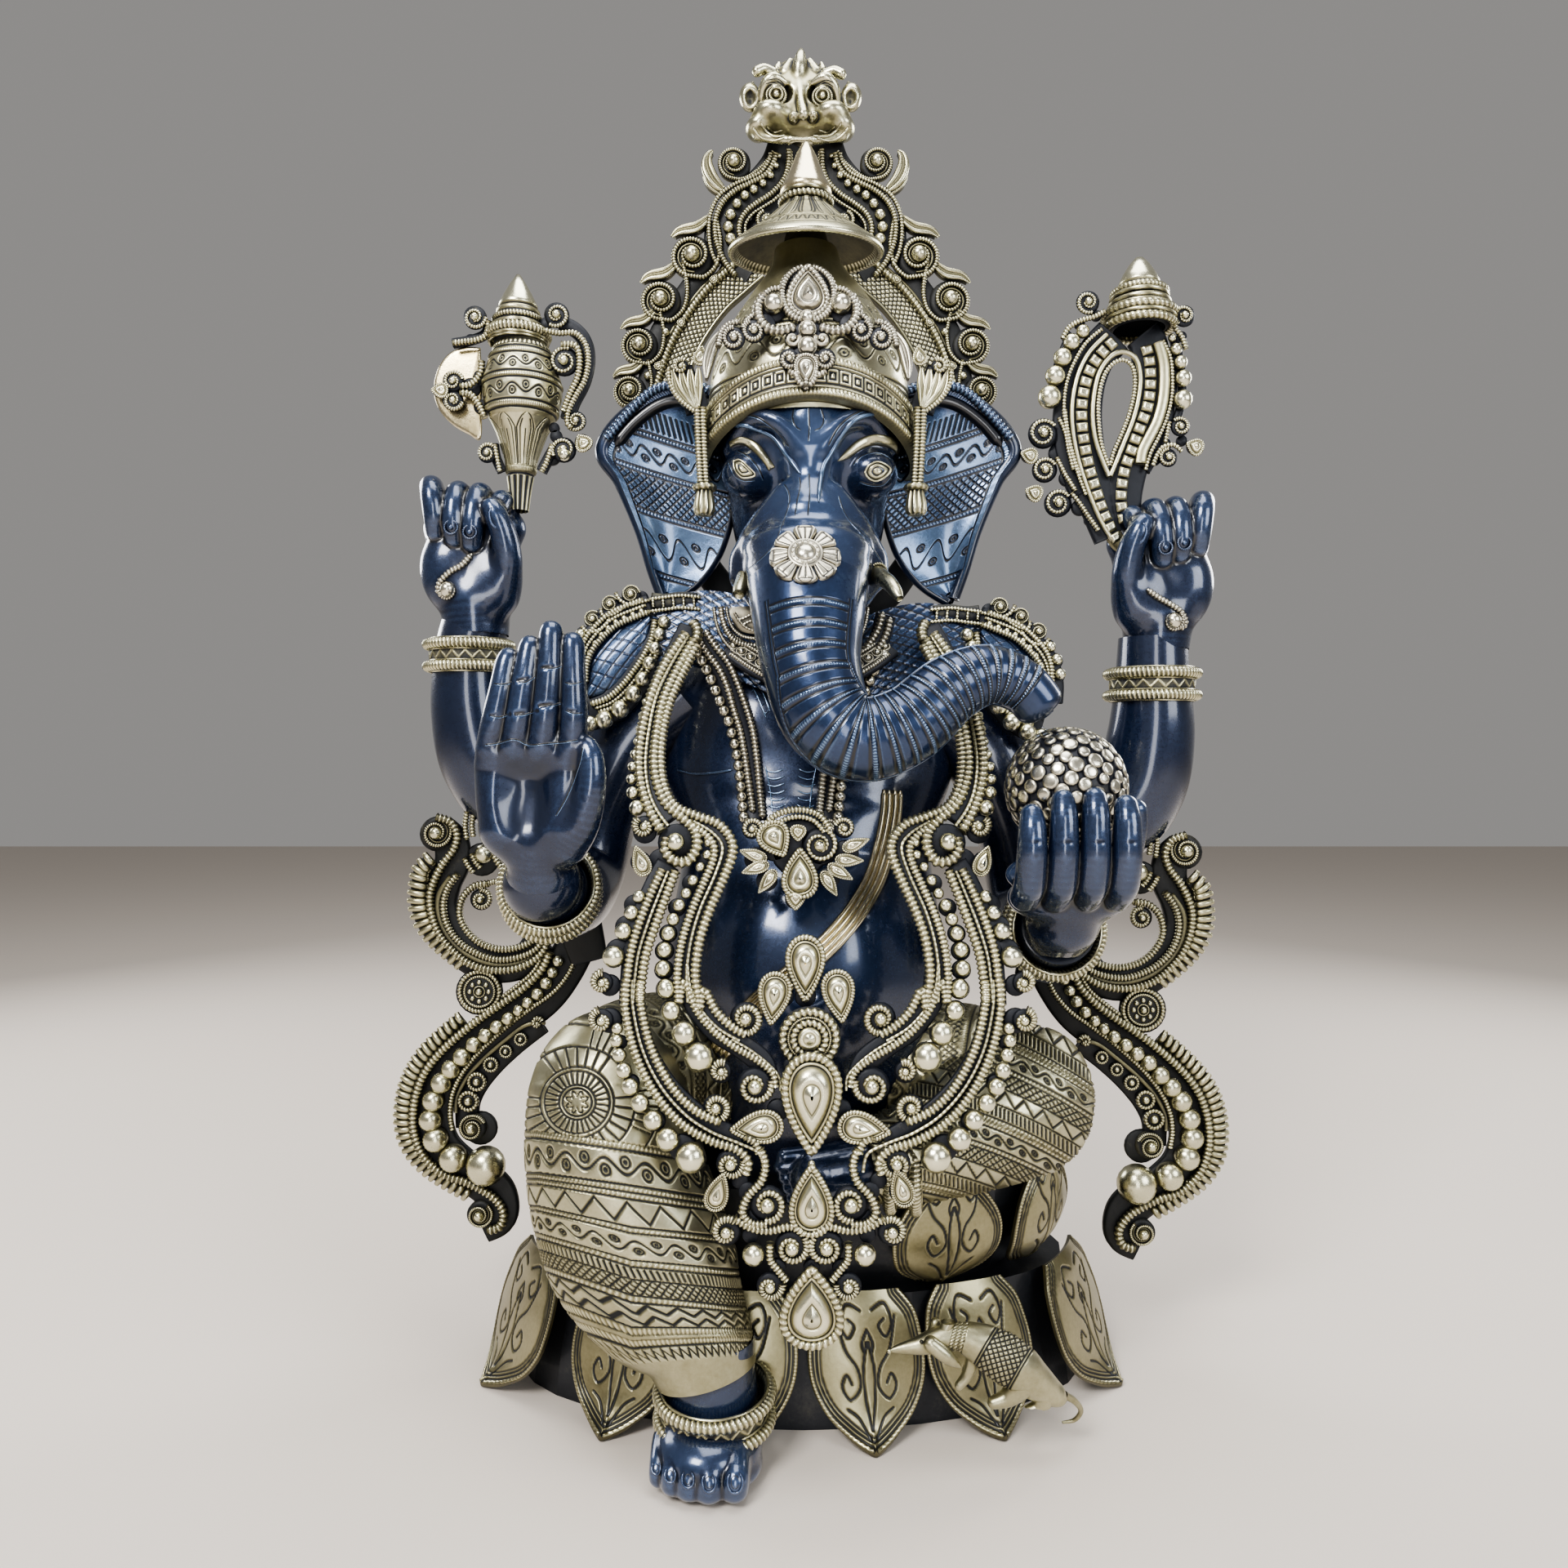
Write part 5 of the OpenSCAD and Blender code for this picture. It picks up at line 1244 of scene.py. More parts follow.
def build_head_lines(cs):
    m = M()
    E = lambda rows, w=0.55: engrave(m, cs, fq(rows), w)
    F = lambda rows, w=0.55: engrave(m, cs, fe(rows), w)
    # brow grooves and the ridges under them
    F([(110, 310), (200, 280), (320, 290), (420, 350), (500, 430), (560, 510)], 0.7)
    F([(835, 500), (900, 380), (980, 300), (1080, 250), (1190, 240), (1290, 290)], 0.7)
    ridge(m, cs, fe([(130, 372), (230, 352), (350, 390), (450, 440), (540, 560), (640, 700)]), 1.5, 0.75, 0.1, taper=9.0)
    ridge(m, cs, fe([(1300, 330), (1200, 280), (1110, 282), (1020, 320), (930, 420), (850, 560), (800, 650), (775, 800), (770, 900)]), 1.5, 0.75, 0.1, taper=9.0)
    # lid lines
    F([(190, 530), (260, 570), (330, 640), (380, 740)], 0.6)
    F([(130, 600), (150, 660), (180, 715), (240, 745), (320, 740)], 0.5)
    F([(1060, 750), (1130, 775), (1230, 770), (1290, 690), (1310, 630)], 0.6)
    F([(1010, 640), (1060, 580), (1140, 548), (1220, 552), (1300, 600)], 0.5)
    # nose lines
    F([(630, 720), (640, 780), (630, 830), (612, 910), (600, 1000)], 0.5)
    F([(700, 690), (705, 800), (700, 900), (690, 1000)], 0.5)
    # forehead mark lines: plain strokes
    E([(680, 235), (672, 300), (668, 350), (690, 395), (720, 412)], 0.5)
    E([(832, 235), (838, 300), (850, 350), (830, 400), (790, 412)], 0.5)
    E([(760, 215), (762, 300), (765, 400), (758, 485)], 0.5)
    # trunk sides
    E([(600, 700), (640, 760), (650, 820), (630, 900), (600, 980), (560, 1080), (470, 1170), (380, 1240)], 0.45)
    E([(935, 790), (960, 870), (1000, 940), (1070, 1020), (1150, 1120), (1215, 1230)], 0.45)
    return m


def UE(X, Y):
    return 870 + X / 5.8074, 460 + Y / 5.8074


def fe(rows):
    return [UE(*r) for r in rows]


def even(rows, n):
    """n even points along rows, smoothed."""
    c, _ = curve([(q[0], q[1], 0.0) for q in rows], 1.0)
    s = np.concatenate([[0], np.cumsum(np.linalg.norm(np.diff(c, axis=0), axis=1))])
    q = np.linspace(0, s[-1], n)
    return np.stack([np.interp(q, s, c[:, j]) for j in range(2)], 1)


def crescent(m, cs, outer, inner, bulge=1.8, W=0.6, n=56, k=10):
    """Raised band on the face between two edges."""
    A, B = even(outer, n), even(inner, n)
    rings, Ws = [], []
    last = None
    for i in range(n):
        ring = []
        for j in range(k + 1):
            f = j / k
            q = A[i] * (1 - f) + B[i] * f
            p, nn = cs.hit(q[0], q[1], 0.0)
            if p is None:
                p, nn = last
            last = (p, nn)
            ring.append((p, nn, bulge * math.sin(PI * min(max(f, 0.0), 1.0)) ** 0.6 * min(1.0, 6 * min(i, n - 1 - i) / n + 0.25)))
        R = [p + nn * (h + 0.1) for p, nn, h in ring] + [p - nn * 1.2 for p, nn, h in ring[::-1]]
        rings.append(np.array(R))
        Ws.append(np.array([W + 0.25 * math.sin(PI * j / k) - (0.35 if j in (0, k) else 0) for j in range(k + 1)] + [0.1] * (k + 1)))
    rings = [np.tile(rings[0].mean(0), (len(rings[0]), 1))] + rings + [np.tile(rings[-1].mean(0), (len(rings[0]), 1))]
    Ws = [Ws[0]] + Ws + [Ws[-1]]
    m.add(np.concatenate(rings), gridq(len(rings), len(rings[0]), False, True), None, np.concatenate(Ws))
    return m


def build_eyes(cs):
    m = M()
    # lids: gold crescents
    crescent(m, cs, fe([(130, 470), (200, 436), (270, 444), (340, 482), (400, 556), (460, 650)]),
             fe([(142, 512), (200, 492), (262, 510), (330, 566), (382, 628), (412, 676)]))
    crescent(m, cs, fe([(900, 610), (970, 522), (1050, 454), (1150, 418), (1240, 422), (1310, 450), (1352, 500)]),
             fe([(985, 590), (1052, 542), (1110, 512), (1170, 498), (1240, 504), (1302, 534), (1345, 585)]))
    # eyes: almond plates with a raised rim
    for rows in ([(165, 610), (200, 598), (232, 614), (272, 650), (320, 704), (296, 724), (232, 728), (195, 700), (170, 660)],
                 [(1095, 690), (1120, 642), (1180, 612), (1240, 630), (1282, 670), (1240, 722), (1180, 750), (1122, 732)]):
        pts = [cs.hit(*UE(*r), lift=0.2) for r in rows]
        A = np.array([p[0] for p in pts if p[0] is not None])
        c = A.mean(0)
        nrm = unit(np.mean([p[1] for p in pts if p[0] is not None], 0))
        loop, _ = curve(np.vstack([A, A[:1]]), 0.6)
        loop = loop[:, :3]
        rings, W = [], []
        for sc, lf, w in ((1.0, -1.2, .2), (1.02, 0.6, .5), (0.97, 1.1, .8), (0.9, 1.0, .7), (0.86, 0.4, .02), (0.81, 0.5, .1), (0.76, 1.1, .7), (0.6, 1.5, .8), (0.5, 1.5, .7), (0.46, 0.9, .02), (0.40, 1.0, .1), (0.34, 1.7, .7), (0.2, 2.0, .8), (0.02, 2.1, .8)):
            rings.append(c + (loop - c) * sc + nrm * lf)
            W.append(np.full(len(loop), w))
        n = len(loop)
        m.add(np.concatenate(rings), gridq(len(rings), n, False, False), None, np.concatenate(W))
        path_sweep(m, loop + nrm * 0.6, np.broadcast_to(nrm, loop.shape), 0.5, 6, 0.9, taper=0)
    return m


def trunk_skin():
    C, s = curve([(x, y, z, a, b) for x, y, z, a, b in TRUNK], 0.5)
    k0 = int(np.argmax(C[:, 2] < 497))
    C, s = C[k0:], s[k0:] - s[k0]
    t = unit(np.gradient(C[:, :3], axis=0))
    for _ in range(30):
        t[1:-1] = 0.25 * t[:-2] + 0.5 * t[1:-1] + 0.25 * t[2:]
    t = unit(t)
    f = np.broadcast_to(np.array([0.0, -1.0, 0.0]), t.shape)
    b = unit(f - t * (f * t).sum(1)[:, None])
    a = np.cross(t, b)            # towards +X on the hanging part
    n = 260
    ph = np.linspace(0, 2 * PI, n, endpoint=False)
    hw, hd = C[:, 3] + 0.35, C[:, 4] + 0.35
    L = s[-1]
    S, PH = np.meshgrid(s, ph, indexing="ij")
    # front = +b (ph = PI/2); side coordinate in mm
    rr = hw[:, None]
    side = (PH - PI / 2 + PI) % (2 * PI) - PI
    T = side * rr
    H = np.zeros_like(S)
    W = np.full_like(S, 0.5)
    # panel half width: part way round above, wide below the bend
    zz = C[:, 2][:, None]
    bend = np.clip((S - 62) / 36, 0, 1)
    pan = (0.86 + 0.51 * bend) * rr
    inp = (np.abs(T) < pan - 3.0)
    first = 25.0
    gs = np.interp(s, [0, 58, 92, 130, L], [12.3, 12.0, 9.4, 8.2, 7.0])
    turn = np.concatenate([[0], np.cumsum(np.diff(s) / ((gs[1:] + gs[:-1]) / 2))])
    x = ((turn - np.interp(first, s, turn)) % 1.0 * gs)[:, None] + 0 * S
    grp = ((S > first) & (S < L - 16))
    fit = (gs / 12.3)[:, None]
    for off, kind in ((0.8, "line"), (3.0, "rope"), (5.4, "line")):
        d = x - off * fit
        if kind == "line":
            v = line(d, 0.30, 0.45)
            H = np.where(inp & grp, H - 0.55 * v, H)
            # the thin lighter line 0.9 mm past each cut, on its side towards the tip, is a painted highlight on the
            # cut's lip
            W = np.where(inp & grp, W * (1 - v) + 0.02 * v + 0.12 * line(d - 0.9, 0.2, 0.3), W)
        else:
            c = np.cos(2 * PI * T / 1.7)
            v = line(d, 0.55, 0.35)
            H = np.where(inp & grp, H + v * (0.55 + 0.35 * c), H)
            W = np.where(inp & grp, W * (1 - v) + v * (0.75 + 0.25 * c), W)
    # long borders
    for e in (0.0, 2.2):
        v = line(np.abs(T) - (pan - e), 0.3, 0.5)
        g = (S > first - 3.0) & (S < L - 30)
        H = np.where(g, H - 0.6 * v, H)
        W = np.where(g, W * (1 - v) + 0.02 * v, W)
    v = line(np.abs(T) - (pan - 1.1), 0.35, 0.4) * ((S < L - 30) & (S > first - 3.0))
    H = H + 0.3 * v
    W = W * (1 - v) + 0.8 * v
    # tip: close and round off
    e = np.clip((L - S) / 7.0, 0, 1)
    rnd = np.sqrt(np.clip(1 - (1 - e) ** 2, 0.0, 1)) * 0.6 + 0.4
    A = (hw[:, None] * rnd + H) * np.cos(PH)
    B = (hd[:, None] * rnd + H) * np.sin(PH)
    V = C[:, None, :3] + a[:, None] * A[..., None] + b[:, None] * B[..., None]
    m = M()
    m.add(V, gridq(len(C), n, False, True)[:, ::-1], None, W.ravel())
    # tip cap
    ring = V[-1]
    c = C[-1, :3]
    rows, Wc = [ring], [np.full(n, 0.5)]
    for sc, lf, w in ((0.85, 1.0, .6), (0.6, 1.2, .5), (0.35, 0.2, .2), (0.1, -1.0, .0)):
        rows.append(c + (ring - c) * sc + t[-1] * lf)
        Wc.append(np.full(n, w))
    m.add(np.concatenate(rows), gridq(len(rows), n, False, True)[:, ::-1], None, np.concatenate(Wc))
    return m


def build_flower():
    m = M()
    # eight broad petals round a beaded eye, tipped to lie on the trunk
    c = np.array([1.0, -113.0, 510.4])
    th = math.radians(62)
    ax = np.array([0, -math.sin(th), math.cos(th)])
    x = np.array([1.0, 0, 0])
    z = np.cross(x, ax)
    z = z if z[2] > 0 else -z
    c = c - ax * 0.4
    for i in range(8):
        a = 2 * PI * i / 8 + PI / 2
        d = math.cos(a) * x + math.sin(a) * z
        e = -math.sin(a) * x + math.cos(a) * z
        us = np.linspace(0, 1, 22)
        vs = np.linspace(-1, 1, 25)
        Uu, Vv = np.meshgrid(us, vs, indexing="ij")
        wd = (2.6 + 4.4 * np.clip(Uu * 1.35, 0, 1) ** 0.8) * np.sqrt(np.clip(1 - np.clip((Uu - 0.72) / 0.28, 0, 1) ** 2, 0, 1))
        rd = 8.5 + 12.0 * Uu
        h = 2.6 - 0.5 * Vv ** 2 - 1.6 * np.clip((np.abs(Vv) - 0.82) / 0.18, 0, 1) - 1.4 * np.clip((Uu - 0.9) / 0.1, 0, 1)
        gr = line((np.abs(Vv) - 0.62) * wd, 0.14, 0.35) + line(Vv * wd, 0.12, 0.3) * (Uu < 0.8) + line((Uu - 0.82) * 12, 0.16, 0.3) * (np.abs(Vv) < 0.62)
        gr = np.clip(gr, 0, 1)
        h = h - 0.7 * gr
        Wp = 0.75 - 0.72 * gr
        drop = -(rd * math.cos(a)) ** 2 * 0.0085       # follows the round of the trunk
        Vp = c + d * rd[..., None] + e * (Vv * wd)[..., None] + ax * (h + drop)[..., None]
        m.add(Vp, gridq(22, 25), None, Wp.ravel())
        Vb = c + d * rd[..., None] + e * (Vv * wd)[..., None] + ax * (drop - 1.2)[..., None]
        m.add(Vb, gridq(22, 25)[:, ::-1], None, 0.1)
    lathe(m, [[11, -2, .1], [10.5, 1.6, .3], [9.6, 2.6, .8], [8.6, 2.2, .2], [8.0, 2.7, .7], [6.4, 3.0, .8], [5.9, 2.5, .1], [5.4, 3.2, .8], [4.6, 4.0, .9], [2.5, 4.8, 1], [0, 5.0, 1]], c, ax, 40)
    for i in range(14):
        a = 2 * PI * i / 14
        ball(m, c + (math.cos(a) * x + math.sin(a) * z) * 7.2 + ax * 3.0, 0.8, 7, .5, 1, face=ax)
    return m


def build_tusks():
    m = M()
    tube(m, [(43, -60, 512, 5.4), (47, -74, 505, 5.2), (51, -86, 499, 4.6), (54, -93, 493, 3.8), (56, -97, 488, 2.2)], n=16, W=0.8, step=1.0)
    tube(m, [(-33, -60, 512, 5.2), (-35, -70, 504, 5.0), (-37, -78, 497, 4.4), (-38, -82, 493, 3.4)], n=16, W=0.8, step=1.0)
    milled_ring(m, (45.5, -68, 508.5), 5.6, 1.0, (0.25, -0.86, -0.42), deep=.3, n=8)
    milled_ring(m, (-34, -66, 507.5), 5.4, 1.0, (-0.1, -0.8, -0.6), deep=.3, n=8)
    return m


EAR_OUT = [(-50, 627), (-68, 641), (-97, 636), (-129, 604), (-119, 580), (-106, 548), (-98, 522), (-91, 501), (-70, 512), (-52, 540), (-47, 575)]




def ear_mesh():
    """Viewer-left ear: broad leaf, rolled rim, engraved bands across it."""
    m = M()
    nb, na = 360, 230
    inner = crom(np.array([(-43, 0, 622), (-43, 0, 600), (-44, 0, 575), (-48, 0, 552), (-56, 0, 530), (-70, 0, 512), (-90, 0, 499)], float), 60)
    outer = crom(np.array([(-46, 0, 626), (-66, 0, 641), (-97, 0, 637), (-129, 0, 604), (-119, 0, 580), (-106, 0, 548), (-98, 0, 522), (-90, 0, 500)], float), 60)

    def res(A, n):
        s = np.concatenate([[0], np.cumsum(np.linalg.norm(np.diff(A, axis=0), axis=1))])
        q = np.linspace(0, s[-1], n)
        return np.stack([np.interp(q, s, A[:, j]) for j in (0, 2)], 1)
    I, O = res(inner, nb), res(outer, nb)
    t = np.linspace(0, 1, na)
    X = I[:, None, 0] * (1 - t) + O[:, None, 0] * t
    Z = I[:, None, 1] * (1 - t) + O[:, None, 1] * t
    # dish: leans forward at the outer edge
    u = np.broadcast_to(t, X.shape)
    Y = -9.5 + 5.5 * np.sin(PI * u) ** 1.0 - 2.0 * u ** 2
    # band coordinate: distance down from the rim line, tilted as the folds run
    w = (632 - Z) + (X + 60) * -0.30
    s_ = X + 0.25 * Z
    H, W = bands(w, s_, [(16, "plain", 1), (15, "comb", 3.4), (1.4, "line", 1), (2.4, "rope", 2.0), (1.4, "line", 1), (19, "wave", 17), (1.2, "line", 1), (2.4, "rope", 2.0), (1.2, "line", 1),
                         (22, "hatch", 5.0), (1.2, "line", 1), (2.4, "rope", 2.0), (1.2, "line", 1), (34, "wave", 20), (1.2, "line", 1), (2.4, "rope", 2.0), (1.2, "line", 1), (30, "wave", 14)])
    edge = np.minimum((1 - u) * 60, 60)
    rim = (edge < 4.5)
    H = np.where(rim, 0.75 + 0.25 * np.cos(2 * PI * np.linspace(0, 1, nb)[:, None] * 130), H)
    W = np.where(rim, 0.45 + 0.45 * H, W)
    bl = line(edge - 5.2, 0.35, 0.5)
    H = H * (1 - bl)
    W = W * (1 - bl)
    Yf = Y - 0.9 * H
    # rolled thick rim along the top outer corner
    bcoord = np.linspace(0, 1, nb)[:, None]
    F = np.stack([X, Yf, Z], -1)
    Bk = np.stack([X, Y + 6.0, Z], -1)
    m.add(F, gridq(nb, na)[:, ::-1], None, W.ravel())
    m.add(Bk[::3, ::3], gridq(*Bk[::3, ::3].shape[:2]), None, 0.35)
    # rim tube closes front to back
    eo = np.stack([O[:, 0], np.full(nb, -6.5), O[:, 1]], 1)
    rr = 3.6 + 3.0 * np.exp(-((bcoord[:, 0] - 0.42) / 0.16) ** 2)
    tube(m, np.hstack([eo[::6], rr[::6, None]]), n=14, W=0.32, step=1.2, flat=1.05)
    ei = np.stack([I[:, 0], np.full(nb, -6.0), I[:, 1]], 1)
    tube(m, np.hstack([ei[::8], np.full((len(ei[::8]), 1), 3.4)]), n=12, W=0.3, step=1.5)
    # heavy fold on top, notched
    rope(m, [(-52, -12, 634), (-66, -13, 641), (-84, -14, 641.5), (-98, -14, 637), (-114, -14, 622), (-127, -13, 607)], r=3.4, pitch=3.2, n=10, deep=0.2)
    tube(m, [(-50, -8, 628), (-70, -9, 633), (-90, -10, 631), (-108, -10, 619), (-122, -10, 603)], r=4.2, n=12, W=0.12, taper=5)
    return m

# ---------------------------------------------------------------- torso, arms and hands

BODY = [(0, 2, 142, 96, 62), (0, -2, 180, 98, 72), (2, -8, 235, 94, 84), (3, -8, 290, 88, 82), (4, -2, 345, 80, 66), (5, 4, 400, 86, 54),
        (5, 8, 440, 96, 46), (5, 10, 468, 78, 38), (5, 8, 492, 44, 32), (5, 6, 512, 34, 30)]
RRA = [(-72, 22, 446, 34, 32), (-112, 26, 424, 32, 30), (-160, 22, 388, 31, 30), (-192, 14, 374, 30, 30), (-212, 8, 396, 29, 29), (-220, 3, 430, 26, 26), (-220, 0, 466, 23, 23), (-216, -1, 488, 21.5, 21.5)]
RLA = [(82, 22, 442, 34, 32), (122, 26, 416, 32, 30), (176, 22, 374, 31, 30), (210, 14, 358, 30, 30), (228, 8, 380, 30, 30), (234, 3, 414, 28, 28), (234, 0, 450, 24, 24), (234, -1, 478, 22, 22)]
FRA = [(-80, 2, 440, 32), (-112, 0, 412, 31), (-136, -4, 366, 30), (-144, -14, 326, 29), (-146, -44, 312, 27), (-150, -72, 316, 24), (-153, -92, 324, 22)]
FLA = [(92, 2, 436, 32), (124, 0, 404, 31), (146, -4, 352, 30), (152, -14, 308, 29), (152, -40, 292, 27), (152, -64, 292, 24), (152, -80, 296, 22)]


def build_torso():
    """Upright body: soft chest, round belly, smooth back with a spine line."""
    rows = crom(np.array(BODY, float), 26)
    z = rows[:, 2]
    n = 240
    ph = np.linspace(0, 2 * PI, n, endpoint=False)
    e = 1.0
    c, s = np.cos(ph), np.sin(ph)
    X = rows[:, 0:1] + rows[:, 3:4] * np.sign(c) * np.abs(c) ** 0.94
    Y = rows[:, 1:2] + rows[:, 4:5] * np.sign(s) * np.abs(s) ** 0.94
    Z = np.repeat(z[:, None], n, 1)
    X = X + np.sign(c) * np.abs(c) ** 1.5 * 12.0 * np.exp(-((Z - 388) / 34) ** 2)
    front = np.clip(-s, 0, 1)[None]
    back = np.clip(s, 0, 1)[None]
    # chest folds, belly roundness, navel hollow, spine
    chest = 5.0 * np.exp(-((Z - 425) / 22) ** 2) * (np.exp(-((X - 5 - 40) / 26) ** 2) + np.exp(-((X - 5 + 40) / 26) ** 2))
    belly = 4.0 * np.exp(-((Z - 262) / 46) ** 2) * np.exp(-((X - 4) / 50) ** 2)
    fold = -2.2 * np.exp(-((Z - 372) / 7) ** 2) * np.exp(-((X - 4) / 60) ** 2) - 1.6 * np.exp(-((Z - 338) / 6) ** 2) * np.exp(-((X - 4) / 55) ** 2)
    navel = -6.0 * np.exp(-(((X - 3) / 7) ** 2 + ((Z - 262) / 6) ** 2))
    Y = Y - front * (chest + belly + fold + navel)
    spine = -3.0 * np.exp(-((X - 5) / 8) ** 2) * np.clip((Z - 190) / 60, 0, 1) * np.clip((490 - Z) / 40, 0, 1)
    blades = 3.0 * np.exp(-((Z - 420) / 26) ** 2) * (np.exp(-((X - 5 - 42) / 20) ** 2) + np.exp(-((X - 5 + 42) / 20) ** 2))
    Y = Y + back * (spine + blades)
    V = np.stack([X, Y, Z], -1)
    m = M()
    W = 0.5 + 0.12 * front * np.exp(-((Z - 300) / 80) ** 2)
    m.add(V, gridq(len(rows), n, False, True), None, W.ravel())
    for k, i in ((0, 0), (len(rows) - 1, len(rows) - 1)):
        pass
    # close the two ends
    for i, dz, rev in ((0, 0.0, True), (len(rows) - 1, 0.0, False)):
        ring = V[i]
        cc = ring.mean(0)
        rr = np.array([cc + (ring - cc) * q + np.array([0, 0, dz]) for q in (1.0, 0.6, 0.2, 0.01)])
        q = gridq(4, n, False, True)
        m.add(rr, q[:, ::-1] if rev else q, None, 0.3)
    return m


def limb_mesh(rows, step=1.6, n=72, wid=None, W=0.5, caps=True, shape=None):
    """Smooth fleshed limb through rows (x, y, z, half width[, half depth])."""
    C, s = curve([tuple(r) if len(r) == 5 else tuple(r) + (r[3],) for r in rows], step)
    t = unit(np.gradient(C[:, :3], axis=0))
    for _ in range(12):
        t[1:-1] = 0.25 * t[:-2] + 0.5 * t[1:-1] + 0.25 * t[2:]
    t = unit(t)
    f = np.tile([0.0, -1.0, 0.0], (len(C), 1))
    nearby = np.abs((f * t).sum(1)) > 0.93
    f[nearby] = [0.0, -0.3, 1.0]
    b = unit(f - t * (f * t).sum(1)[:, None])
    for _ in range(20):
        b[1:-1] = 0.25 * b[:-2] + 0.5 * b[1:-1] + 0.25 * b[2:]
    b = unit(b - t * (b * t).sum(1)[:, None])
    a = np.cross(t, b)
    ph = np.linspace(0, 2 * PI, n, endpoint=False)
    A = C[:, 3:4] * np.cos(ph)
    B = C[:, 4:5] * np.sin(ph)
    if shape is not None:
        k = shape(s[:, None] / s[-1], ph[None])
        A, B = A * k, B * k
    V = C[:, None, :3] + a[:, None] * A[..., None] + b[:, None] * B[..., None]
    m = M()
    m.add(V, gridq(len(C), n, False, True), None, W)
    for i, rev in ((0, True), (len(C) - 1, False)):
        ring = V[i]
        cc = ring.mean(0)
        rr = np.array([cc + (ring - cc) * q for q in (1.0, 0.5, 0.01)])
        q = gridq(3, n, False, True)
        m.add(rr, q[:, ::-1] if rev else q, None, 0.3)
    return m, C, s


def sheetpt(S, rows):
    """Sheet drawing (x, y, depth, r in mm) to frame rows."""
    out = []
    for x, y, d, r in rows:
        p = P(S.u0 + x / S.k, S.v0 + y / S.k, d)
        out.append((p[0], p[1], p[2], r))
    return out


SF = Sheet(480, 560, 2.8, lambda v: -116.0)
SG = Sheet(500, 320, 3.92, lambda v: -12.0)
SN = Sheet(1220, 300, 3.92, lambda v: -9.0)


def build_open_hand():
    v = Vol((-186, -142, 318), (-104, -72, 478), 0.85)
    F = lambda rows, k=2.0: v.chain(sheetpt(SF, rows), k)
    # four fingers
    for rows in ([(335, 990, -114, 7.6), (352, 900, -117, 7.4), (375, 800, -117, 7.0), (392, 715, -115, 6.6), (400, 690, -114, 6.2)],
                 [(420, 985, -115, 8.0), (436, 880, -118, 7.6), (455, 760, -118, 7.2), (470, 670, -116, 6.6), (474, 648, -115, 6.2)],
                 [(515, 985, -115, 8.2), (528, 870, -118, 7.8), (540, 730, -118, 7.4), (545, 620, -116, 6.8), (546, 598, -115, 6.4)],
                 [(620, 985, -114, 8.0), (624, 880, -117, 7.6), (622, 770, -117, 7.2), (620, 655, -115, 6.6), (618, 636, -114, 6.2)]):
        F(rows, 1.2)
    # palm: pads round a hollow middle
    v.cap(P(*(480 + 380 / 2.8, 560 + 1010 / 2.8), -109), P(480 + 600 / 2.8, 560 + 1010 / 2.8, -109), 11, 11, 5)
    v.cap(P(480 + 350 / 2.8, 560 + 1060 / 2.8, -108), P(480 + 380 / 2.8, 560 + 1270 / 2.8, -108), 11, 13, 7)
    v.cap(P(480 + 600 / 2.8, 560 + 1060 / 2.8, -108), P(480 + 590 / 2.8, 560 + 1270 / 2.8, -108), 11, 15, 7)
    v.ell(P(480 + 480 / 2.8, 560 + 1290 / 2.8, -106), (25, 12, 20), 9)
    v.ell(P(480 + 475 / 2.8, 560 + 1150 / 2.8, -102), (30, 10, 34), 8)
    v.ell(P(480 + 440 / 2.8, 560 + 1180 / 2.8, -124), (13, 8, 19), 7, cut=True)
    # thumb lies along the side
    F([(600, 1330, -108, 12), (650, 1250, -113, 10.5), (682, 1130, -117, 8.6), (684, 1040, -117, 7.4), (676, 995, -116, 5.6)], 5)
    # heel and wrist
    v.chain([(-152, -84, 322, 19), (-152, -96, 332, 18), (-151, -102, 342, 15)], 8)
    v.chain([(-151.5, -80, 320, 20.5), (-152, -92, 326, 20)], 5)
    # joint creases
    for x0, y0, x1, y1 in ((345, 775, 412, 772), (430, 765, 492, 752), (508, 720, 582, 716), (588, 772, 652, 770),
                           (335, 885, 402, 880), (425, 880, 497, 868), (505, 852, 582, 842), (592, 866, 656, 876)):
        a = P(480 + x0 / 2.8, 560 + y0 / 2.8, -125.2)
        b = P(480 + x1 / 2.8, 560 + y1 / 2.8, -125.2)
        v.cap(a, b, 1.0, 1.0, 1.0, cut=True)
    V, Q = v.mesh(1)
    m = M()
    N = vnormals(V, Q)
    curvy = ((neighbour_mean(V, Q) - V) * N).sum(1)
    m.add(V, Q, None, np.clip(0.5 - curvy * 6, 0.12, 0.95))
    return m


def hand_lines(cs):
    m = M()
    h = lambda rows: [(480 + x / 2.8, 560 + y / 2.8) for x, y in rows]
    for rows in ([(345, 775), (380, 778), (412, 770)], [(430, 766), (455, 772), (492, 750)], [(508, 720), (545, 724), (582, 714)], [(588, 770), (620, 778), (654, 768)],
                 [(335, 884), (370, 890), (402, 878)], [(425, 884), (460, 880), (497, 866)], [(505, 854), (545, 850), (584, 840)], [(592, 866), (625, 878), (656, 876)],
                 [(315, 985), (360, 980), (420, 965), (470, 985), (530, 980), (590, 975), (640, 968)],
                 [(655, 985), (640, 1060), (600, 1160), (560, 1230)]):
        engrave(m, cs, h(rows), 0.5)
    return m


